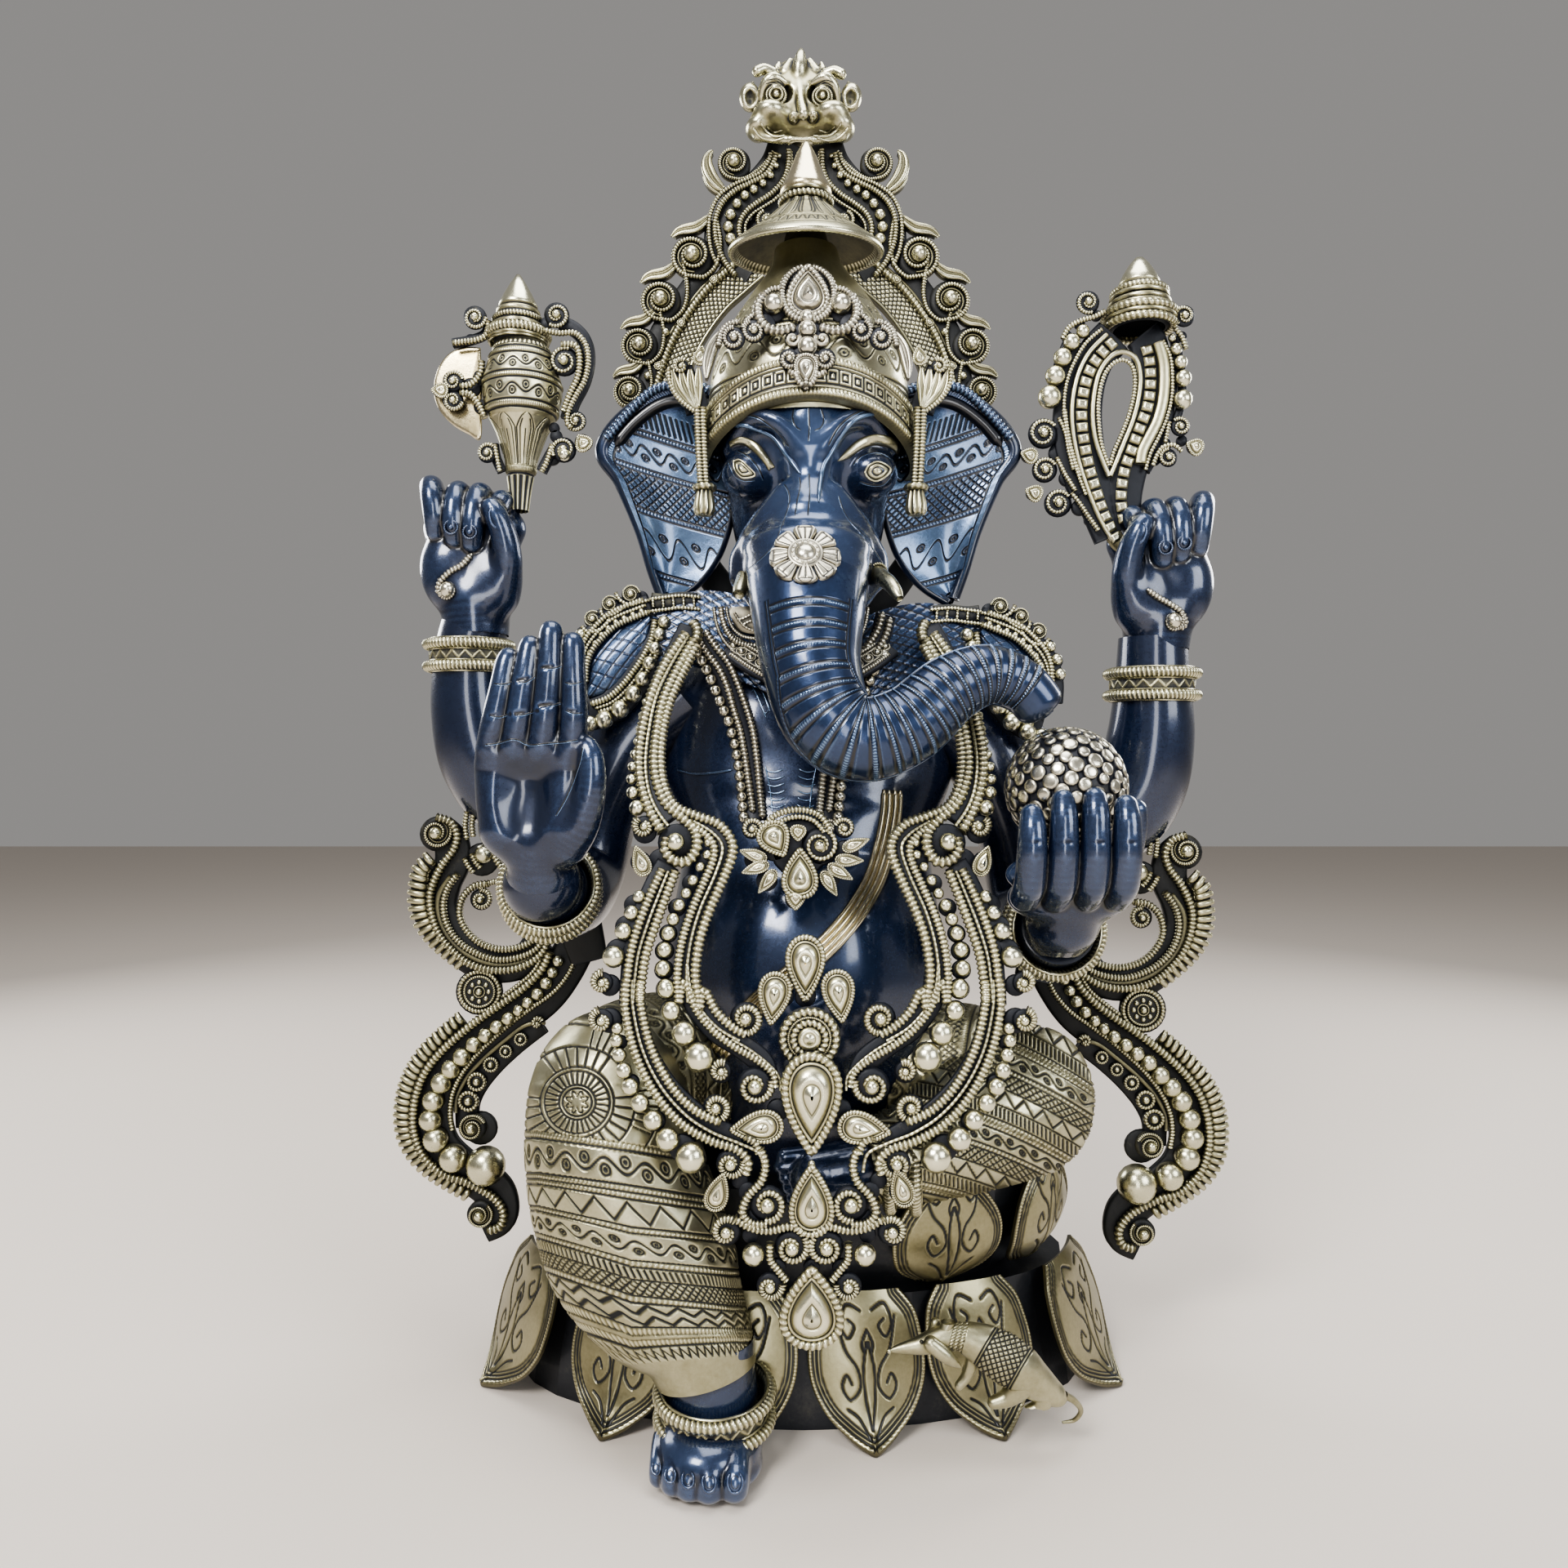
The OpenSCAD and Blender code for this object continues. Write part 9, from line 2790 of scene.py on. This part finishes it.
def under_strap(m, cs, uv, w, W=0.1, lift=0.2, t=1.2, d=0.0):
    for A, N in (ahead(cs, uv, lift, d) if d else cs.line(uv, lift)):
        seg = np.linalg.norm(np.diff(A, axis=0), axis=1)
        s = np.concatenate([[0], np.cumsum(seg)])
        k = max(6, int(s[-1] / 1.5))
        q = np.linspace(0, s[-1], k)
        C = np.stack([np.interp(q, s, A[:, j]) for j in range(3)], 1)
        F = unit(np.stack([np.interp(q, s, N[:, j]) for j in range(3)], 1))
        x = np.array([-1, -0.9, 0, 0.9, 1, 0.5, -0.5])
        z = np.array([0.0, 0.8, 1.0, 0.8, 0.0, -1.2, -1.2]) * t
        sweep(m, C, np.full((k, 1), w) * x[None], np.broadcast_to(z, (k, len(x))), F, W)
    return m


def build_garland(cs):
    m = M()
    beads = [(905, 525), (925, 560), (945, 600), (965, 645), (985, 695), (1005, 745), (1024, 792), (1045, 842), (1060, 900), (1075, 955), (1085, 1010), (1093, 1065), (1100, 1118), (1106, 1170), (1111, 1222), (1115, 1274), (1120, 1325)]
    inner1 = [(885, 345), (897, 430), (948, 520), (1002, 590), (1040, 672), (1070, 780), (1100, 880), (1120, 980), (1135, 1080), (1150, 1180), (1166, 1300)]
    inner2 = [(922, 300), (932, 395), (982, 480), (1048, 560), (1085, 640), (1118, 730), (1148, 820), (1170, 910), (1182, 1000), (1192, 1090), (1202, 1200), (1215, 1330)]
    for f in (lambda r: r, lambda r: flip_u(r)):
        under_strap(m, cs, f(D7([(900, 300), (915, 420), (960, 520), (1010, 600), (1045, 690), (1080, 800), (1108, 900), (1130, 1000), (1145, 1100), (1158, 1200), (1168, 1340)])), 6.6, 0.06, -0.2, 1.6, 1.2)
        for x, y in f(D7(beads)):
            p, n = cs.hit(x, y, 0.8)
            if p is not None:
                r = 3.5
                p = np.array([p[0], min(p[1], -44.0) - 3.2, p[2]])
                ball(m, p, r, 12, .4, 1.0)
                d = unit(np.cross(n, [0, 0, 1.0]))
        for rows_, r_, d_ in ((inner1, 2.6, 3.4), (inner2, 2.7, 3.2)):
            for A, N in ahead(cs, f(D7(rows_)), 0.4, d_):
                path_sweep(m, A, N, r_, 8, 0.5, kind="rope", pitch=2.6, deep=0.36)
        # leaf clasp and small scroll at the ends
        q = f(D7([(1062, 628)]))[0]
        p, n = cs.hit(q[0], q[1], 2.0)
        if p is not None:
            teardrop(m, p, 6, 8, 0.4, tuple(n))
        q = f(D7([(1164, 1378)]))[0]
        p, n = cs.hit(q[0], q[1], 2.5)
        if p is not None:
            volute(m, p, 5.2, 0.4, 1, 1.2, axis=tuple(n), thick=1.5)
    return m


def build_collar(cs):
    m = M()
    rows = np.array([(-44, -41, 467), (-32, -50, 458), (-20, -55, 451), (-6, -58, 446), (5, -59, 445), (16, -58, 446), (30, -55, 451), (42, -50, 458), (54, -41, 467)], float)
    up = np.array([0, 0.55, 0.83])
    strap(m, np.hstack([rows, np.full((len(rows), 1), 9.0)]), t=2.0, face=(0, -0.83, 0.55), W=0.1)
    for h, r in ((8.0, 1.7), (4.6, 0.9), (-4.6, 0.9), (-8.0, 1.7)):
        rope(m, rows + up * h + np.array([0, -2.6, 1.4]), r=r, pitch=r * 1.15, n=8, deep=.32, twist=.25)
    C, s = curve(rows, 1.0)
    a = 2.0
    k = 0
    while a < s[-1] - 2:
        p = np.array([np.interp(a, s, C[:, j]) for j in range(3)]) + np.array([0, -3.0, 1.6])
        ball(m, p, 2.3, 12, .45, 1.0)
        milled_ring(m, p, 3.1, 0.7, (0, -0.83, 0.55), deep=.2, n=6)
        a += 8.0
        k += 1
    # hanging half-round leaves either side of the trunk
    for f in (lambda r: r, lambda r: flip_u(r)):
        D = lambda q, y: [P(u_, v_, y) for u_, v_ in f(D7(q))]
        rope(m, D([(1002, 262), (1010, 320), (1032, 380), (1066, 425), (1116, 450), (1190, 460)], -47), r=2.3, pitch=1.9, n=8, deep=.32, twist=.12)
        rope(m, D([(1030, 262), (1040, 318), (1062, 368), (1100, 402), (1140, 416), (1190, 420)], -46), r=1.2, pitch=1.6, n=8, deep=.1, twist=0)
        rope(m, D([(966, 262), (978, 340), (1004, 408), (1046, 462), (1104, 494), (1190, 506)], -46), r=1.2, pitch=1.6, n=8, deep=.1, twist=0)
        ruled(m, np.array(D([(1040, 270), (1060, 262), (1120, 258), (1190, 262)], -44)), np.array(D([(1062, 340), (1090, 376), (1130, 392), (1190, 398)], -44)), 40, 20, 2.0, 2.0, None, 0.55)
        for q in ([(1070, 290), (1096, 330), (1126, 362), (1170, 380)], [(1082, 326), (1120, 316), (1170, 290)], [(1108, 356), (1136, 338), (1172, 326)]):
            rope(m, D(q, -47.5), r=0.9, pitch=2.0, n=8, deep=.05, twist=0)
    return m


def build_chest_cloth(cs):
    """Figured cloth over the chest: thin raised lines in blue."""
    m = M()
    for f in (lambda r: r, lambda r: flip_u(r)):
        L = lambda rows, r=0.55, W=0.85: ridge(m, cs, f(D7(rows)), r, W, 0.25)
        L([(955, 300), (985, 400), (1050, 500), (1120, 580), (1180, 700), (1230, 820)])
        L([(985, 290), (1005, 380), (1065, 470), (1140, 550), (1200, 660), (1250, 790)])
        for i in range(13):
            t = i / 12
            x0, y0 = 960 + 250 * t, 330 + 470 * t
            L([(x0 + 8, y0 + 10), (x0 + 34, y0 - 18)], 0.4, 0.7)
        for i in range(6):
            y = 1085 + i * 36
            L([(1225 + i * 3, y), (1270 + i * 3, y + 12), (1320 + i * 2, y - 6)], 0.55)
        L([(1225, 1060), (1250, 1180), (1262, 1300)])
        L([(1000, 480), (1020, 560), (1100, 600)], 0.4, 0.7)
        L([(780, 1085), (870, 1105), (960, 1100), (1060, 1085)], 0.8, 0.6)
    return m


def ruled(m, A, B, nu=60, nv=26, bulge=3.0, th=2.0, pat=None, W0=0.6):
    """Shallow shell between two drawn edges."""
    Ca, sa = curve(np.array(A, float), 0.8)
    Cb, sb = curve(np.array(B, float), 0.8)
    t = np.linspace(0, 1, nu)
    a = np.stack([np.interp(t * sa[-1], sa, Ca[:, j]) for j in range(3)], 1)
    b = np.stack([np.interp(t * sb[-1], sb, Cb[:, j]) for j in range(3)], 1)
    w = np.linspace(0, 1, nv)
    V = a[:, None] * (1 - w)[None, :, None] + b[:, None] * w[None, :, None]
    k = 4 * w * (1 - w)
    V = V + np.array([0, -1.0, 0]) * (bulge * k)[None, :, None]
    S = np.repeat((t * 0.5 * (sa[-1] + sb[-1]))[:, None], nv, 1)
    D = np.linalg.norm(a - b, axis=1)[:, None] * (w[None, :] - 0.5)
    W = np.full(S.shape, W0)
    if pat is not None:
        h, W = pat(S, D)
        V = V + np.array([0, -1.0, 0]) * h[..., None]
    m.add(V, gridq(nu, nv), None, W.ravel())
    Vb = V + np.array([0, th + 1.0, 0])
    m.add(Vb[::3, ::3], gridq(*Vb[::3, ::3].shape[:2])[:, ::-1], None, 0.2)
    for j in (0, -1):
        m.add(np.stack([V[:, j], Vb[:, j]], 1), gridq(nu, 2), None, 0.3)
        m.add(np.stack([V[j, :], Vb[j, :]], 1), gridq(nv, 2), None, 0.3)
    return m


S7 = Sheet(640, 680, 4.1263, lambda v: float(np.interp(v, [700, 745, 800, 880], [-26, -30, -37, -40])))


def build_guard():
    """Shoulder leaf: cord borders, bead edge and three small curls."""
    m = M()
    S = S7
    up1 = [(640, 286), (565, 314), (478, 352), (408, 410), (348, 484), (322, 560), (318, 640)]
    lo1 = [(668, 330), (652, 420), (612, 505), (560, 585), (498, 662), (428, 722), (345, 752)]
    # upper edge band
    S.strap(m, [(650, 262), (560, 292), (462, 330), (384, 394), (320, 480), (296, 580), (300, 680)], 66, dy=-3, t=2.6)
    for off, r in ((0, 15), (-34, 9), (-62, 14)):
        S.rope(m, [(x + off * 0.5, y + off) for x, y in up1], r)
    S.beads(m, [(600, 283, 12), (556, 300, 12), (512, 318, 12), (470, 338, 12), (432, 368, 12), (398, 402, 12), (366, 444, 12), (342, 490, 12)], dy=2.0)
    # three curls
    big_volute(m, S, 546, 196, 50, 0.2, 1)
    big_volute(m, S, 440, 246, 46, 0.6, 1)
    big_volute(m, S, 352, 322, 46, 0.9, 1)
    S.rope(m, [(300, 360), (322, 384), (362, 386), (410, 362), (440, 318)], 10)
    S.rope(m, [(396, 270), (402, 300), (440, 306), (490, 280), (520, 250)], 9)
    S.rope(m, [(470, 190), (496, 230), (545, 250), (600, 236), (640, 226)], 9)
    S.plate(m, [(600, 216, 36), (490, 250, 40), (400, 316, 44), (306, 400, 40), (270, 470, 40), (254, 545, 34)], dy=-3)
    S.beads(m, [(292, 398, 22), (262, 462, 24), (246, 536, 24)], dy=2)
    # lower border: two cords and beads
    S.strap(m, [(690, 330), (672, 430), (630, 530), (574, 620), (506, 704), (430, 770), (340, 800)], 86, dy=-3, t=2.6)
    S.rope(m, lo1, 16)
    S.rope(m, [(x + 22, y + 22) for x, y in lo1], 8)
    S.rope(m, [(x + 40, y + 44) for x, y in lo1[1:]] , 14)
    S.beads(m, [(714, 338, 27), (690, 400, 28), (668, 470, 28), (640, 545, 30), (604, 625, 32), (560, 700, 36), (492, 778, 38), (412, 830, 38), (340, 850, 34)], dy=2.4, n=16)
    for x, y, r in ((714, 338, 27), (690, 400, 28), (668, 470, 28), (640, 545, 30), (604, 625, 32), (560, 700, 36), (492, 778, 38), (412, 830, 38)):
        milled_ring(m, S.p(x, y, 1.0), S.mm(r), 0.8, (0, -1, 0), deep=.2, n=6)
    # clasp to the collar
    S.strap(m, [(650, 230), (720, 236), (800, 226), (880, 232)], 40, dy=-2, t=2.4, W=0.2)
    for yy in (206, 268):
        S.rope(m, [(640, yy + 16), (720, yy + 6), (800, yy - 2), (900, yy + 6)], 9)
    for i in range(5):
        S.rope(m, [(656 + i * 52, 214), (660 + i * 52, 262)], 7, dy=2)
    return m


def build_guard_panel():
    m = M()
    S = S7
    up = S.path([(632, 300), (560, 330), (480, 370), (416, 430), (362, 500), (332, 580), (326, 690)], -0.5)
    lo = S.path([(655, 340), (640, 420), (598, 500), (546, 575), (486, 648), (420, 702), (340, 730)], -0.5)

    def pat(S_, D):
        g = line(((D + 60) % 5.4) - 2.7, 0.25, 0.35) * 0.7 + line(((S_ + 0.5 * D) % 9) - 4.5, 0.25, 0.35) * 0.6
        e = np.abs(D) > 0.40 * (np.abs(D).max(1, keepdims=True) + 1e-6) * 2
        return -0.5 * np.clip(g, 0, 1), 0.6 - 0.5 * np.clip(g, 0, 1)
    return ruled(m, up, lo, 120, 60, 3.5, 2.0, pat, 0.6)


def build_cape():
    """Shoulder cape under the strap, engraved with a lattice."""
    m = M()
    up = np.array([P(790, 738, -24), P(830, 727, -26), P(872, 723, -27), P(915, 731, -30), P(940, 742, -32)], float)
    lo = np.array([P(786, 806, -36), P(824, 812, -38), P(866, 820, -40), P(912, 836, -42), P(944, 850, -42)], float)

    def pat(S_, D):
        g = line(((D + S_ * 0.55 + 60) % 6.2) - 3.1, 0.28, 0.4) + line(((D - S_ * 0.55 + 60) % 6.2) - 3.1, 0.28, 0.4)
        return -0.5 * np.clip(g, 0, 1), 0.55 - 0.5 * np.clip(g, 0, 1)
    return ruled(m, up, lo, 120, 60, 3.0, 3.0, pat, 0.6)


def build_sash(cs):
    m = M()
    base = [(1092, 968), (1090, 1000), (1082, 1040), (1070, 1078), (1052, 1110), (1034, 1134), (1012, 1158), (985, 1182), (955, 1206), (925, 1232), (900, 1258), (880, 1290)]
    C, _ = curve(np.array([(a, b, 0) for a, b in base], float), 4)
    t = unit(np.gradient(C[:, :2], axis=0))
    nrm = np.stack([-t[:, 1], t[:, 0]], 1)
    for off, r, W in ((-10, 1.9, .85), (-3.5, 2.1, .95), (3.5, 1.9, .9), (10, 1.7, .8)):
        uv = C[:, :2] + nrm * off
        for A, N in cs.line(uv.tolist(), 0.4):
            path_sweep(m, A, N, r, 10, W, taper=3.0)
    under_strap(m, cs, C[:, :2].tolist(), 7.0, 0.15, -0.6, 1.4)
    return m

# ---------------------------------------------------------------- put together: head
hm = build_head()
tr = trunk_skin()
cs_head = Caster(hm, tr)
make("face_skin", hm, NAVY, ("head_shell",))
make("trunk_skin", tr, NAVY2, ("trunk",))
make("face_lines", build_head_lines(cs_head), NAVY2, ())
make("eye_lids_and_eyes", build_eyes(cs_head), BRASS2, ("eye_inlays",))
make("trunk_flower_leafed", build_flower(), SILVERY, ("trunk_flower",))
make("tusk_pair", build_tusks(), BRASS2, ("tusks",))
em = ear_mesh()
make("ear_right_leaf", em, NAVY2, ("right_ear",))
make("ear_left_leaf", em.mirrored(5.0), NAVY2, ("left_ear",))

# ---------------------------------------------------------------- front ornament
dr = build_drape()
make("drape_right", dr, BRASS, ("right_front_drape",))
make("drape_left", dr.mirrored(4.8), BRASS, ("left_front_drape",))
make("pendants_centre", build_centre(), BRASS, ("centre_pendants",))
make("pendant_belly", build_belly_pendant(), BRASS, ("belly_pendant",))

# ---------------------------------------------------------------- put together: body, arms, hands, attributes
tm = build_torso()
make("body_skin", tm, NAVY, ("torso_shell",))
arm_m = []
for nm, rows, nodes in (("arm_rear_right", RRA, ("rear_right_arm",)), ("arm_rear_left", RLA, ("rear_left_arm",)), ("arm_front_right", FRA, ("front_right_arm",)), ("arm_front_left", FLA, ("front_left_arm",))):
    am, _, _ = limb_mesh(rows)
    arm_m.append(am)
    make(nm, am, NAVY, nodes)
oh = build_open_hand()
ball(oh, np.array([-152.5, -88.0, 322.0]), 23.2, 44, 0.35, 0.5)
make("hand_open_skin", oh, NAVY, ("front_right_hand",))
make("hand_open_lines", hand_lines(Caster(oh)), NAVY2, ())
fr = build_fist((-215, -2, 487), 1)
fl = build_fist((236, -2, 477), -1)
make("hand_rear_right_skin", fr, NAVY, ("rear_right_hand",))
make("hand_rear_left_skin", fl, NAVY, ("rear_left_hand",))
ch = build_cup_hand()
ball(ch, np.array([152.0, -64.0, 294.5]), 23.6, 44, 0.35, 0.5)
make("hand_front_left_skin", ch, NAVY, ("front_left_hand",))
make("sweet_pearls", build_sweet(), SILVERY, ("modak_sweet",))
for nm, c, R, rot, nd in (("bangle_rear_right", (-220.5, 0.5, 466), 23.4, (2, 0, 0), "rear_right_bracelet"), ("bangle_rear_left", (234, 0.5, 447), 25, (2, 0, 0), "rear_left_bracelet"),
                          ("bangle_front_right", (-150.5, -76, 317.5), 24.4, (66, 0, 8), "front_right_bracelet"), ("bangle_front_left", (152, -66, 292.5), 24.4, (82, 0, 0), "front_left_bracelet")):
    bm = M()
    bangle_mesh(bm, c, R, rot)
    make(nm, bm, BRASS, (nd,))
pm_ = M()
c4 = Caster(fr)
surf_rope(pm_, c4, [(578, 678), (566, 692), (552, 700), (540, 712), (538, 724), (545, 730)], r=2.4, lift=0.6, pitch=2.4)
pt, nn = c4.hit(549, 722, 0.5)
volute(pm_, pt, 8.5, 2.2, 1, 1.1, axis=nn if nn is not None else (0, -1, 0), back=False)
ball(pm_, pt - np.array([0, 0.5, 0]), 5.2, 14, .6, 1)
c5 = Caster(fl)
surf_rope(pm_, c5, [(1404, 722), (1418, 732), (1432, 740), (1446, 750), (1450, 764), (1442, 770)], r=2.4, lift=0.6, pitch=2.4)
pt, nn = c5.hit(1436, 760, 0.5)
if pt is not None:
    volute(pm_, pt, 8.5, 0.9, -1, 1.1, axis=nn, back=False)
    ball(pm_, pt - np.array([0, 0.5, 0]), 5.2, 14, .6, 1)
make("palm_curls", pm_, SILVERY, ("palm_scrolls",))
make("goad_cast", build_goad(), BRASS, ("hand_goad",))
make("goad_blade", build_goad_shield(), BRIGHT, ())
make("noose_cast", build_noose(), BRASS, ("hand_noose",))

# ---------------------------------------------------------------- put together: halo and crown
hh_ = build_halo_half()
make("halo_right_scrolls", hh_, BRASS2, ("halo_scrollwork",))
make("halo_left_scrolls", hh_.mirrored(HCX), BRASS2, ())
make("halo_spine", build_halo_stalk(), BRASS2, ("halo_frame",))
make("mask_face", build_mask(), BRASS2, ("lion_mask",))
make("crown_dome_engraved", build_dome(), BRASS, ("crown_dome",))
make("crown_band_milled", build_band(), BRASS, ("crown_band",))
make("crown_crest_jewel", build_crest(), SILVERY, ("crown_crest",))
lf = build_side_leaves()
make("crown_leaf_tassel_right", lf, BRASS, ("crown_tassels",))
make("crown_leaf_tassel_left", lf.mirrored(5.2), BRASS, ())
make("crown_roof", build_umbrella(), BRASS2, ("crown_umbrella",))
make("crown_cone", build_finial(), BRIGHT, ("crown_finial",))

# ---------------------------------------------------------------- put together: sides, legs, seat, mouse
ss_ = build_side_scroll()
make("side_scroll_right_cast", ss_, BRASS2, ("right_side_scroll",))
make("side_scroll_left_cast", ss_.mirrored(7.0, -12.0), BRASS2, ("left_side_scroll",))
make("leg_right_dhoti", build_leg_right(), BRASS2, ("right_leg",))
make("leg_left_dhoti", build_leg_left(), BRASS2, ("left_leg",))
make("foot_right_toes", build_foot_right(), NAVY, ("right_foot",))
make("foot_left_toes", build_foot_left(), NAVY, ("left_foot",))
b_ = M(); bangle_mesh(b_, (-50, -113.5, 33), 28.2, (6, 0, 0))
make("anklet_right_milled", b_, BRASS, ("right_anklet",))
b_ = M(); bangle_mesh(b_, (58, -96.5, 162), 22.5, (90, 0, 82))
make("anklet_left_milled", b_, BRASS, ("left_anklet",))
for i_, a_ in enumerate((12, 36, 75, 144, 168, 192, 216, 285, 324, 348)):
    make("petal_lower_%d" % (i_ + 1), lower_petal(a_, 1.25 if a_ in (75, 285) else 1.0), PETAL, ("lower_lotus_petals",) if i_ == 0 else ())
for i_, a_ in enumerate((33, 68, 112, 153, 207, 248, 292, 327)):
    make("petal_upper_%d" % (i_ + 1), upper_petal(a_, 1.0), PETAL, ("upper_lotus_petals",) if i_ == 0 else ())
make("mouse_saddled", build_mouse(), BRASS2, ("mouse",))
cad_look(DARKB, "plain_brass", "lotus_base_shell", "seat_drum", "base_cover_plate")
cad_look(STEEL, "steel_hardware", "base_cover_screws", "seat_tie_bolt", "halo_bolts")

# ---------------------------------------------------------------- put together: collar, garland, guards, sash
ct_ = Caster(tm)
make("garland_beaded", build_garland(ct_), SILVERY, ("chest_garland",))
make("collar_milled", build_collar(ct_), SILVERY, ("neck_collar",))
make("chest_cloth_lines", build_chest_cloth(ct_), NAVY2, ())
g_ = build_guard()
make("guard_right_corded", g_, BRASS, ("right_shoulder_guard",))
make("guard_left_corded", g_.mirrored(9.0, -8.0), BRASS, ("left_shoulder_guard",))
g_ = build_guard_panel()
make("guard_right_panel", g_, NAVY2, ())
make("guard_left_panel", g_.mirrored(9.0, -8.0), NAVY2, ())
g_ = build_cape()
make("cape_right", g_, NAVY2, ())
make("cape_left", g_.mirrored(9.0, -8.0), NAVY2, ())
make("sash_ribs", build_sash(ct_), BRIGHT, ("waist_sash",))

# ---------------------------------------------------------------- finish
new_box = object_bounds()
{"cad": [list(map(float, q)) for q in cad_box], "visual": [list(map(float, q)) for q in new_box]}
for nm, k in PIECES:
    print("piece", nm, k)
print("faces", sum(k for _, k in PIECES), "box", [[round(float(a), 4) for a in q] for q in cad_box], [[round(float(a), 4) for a in q] for q in new_box])
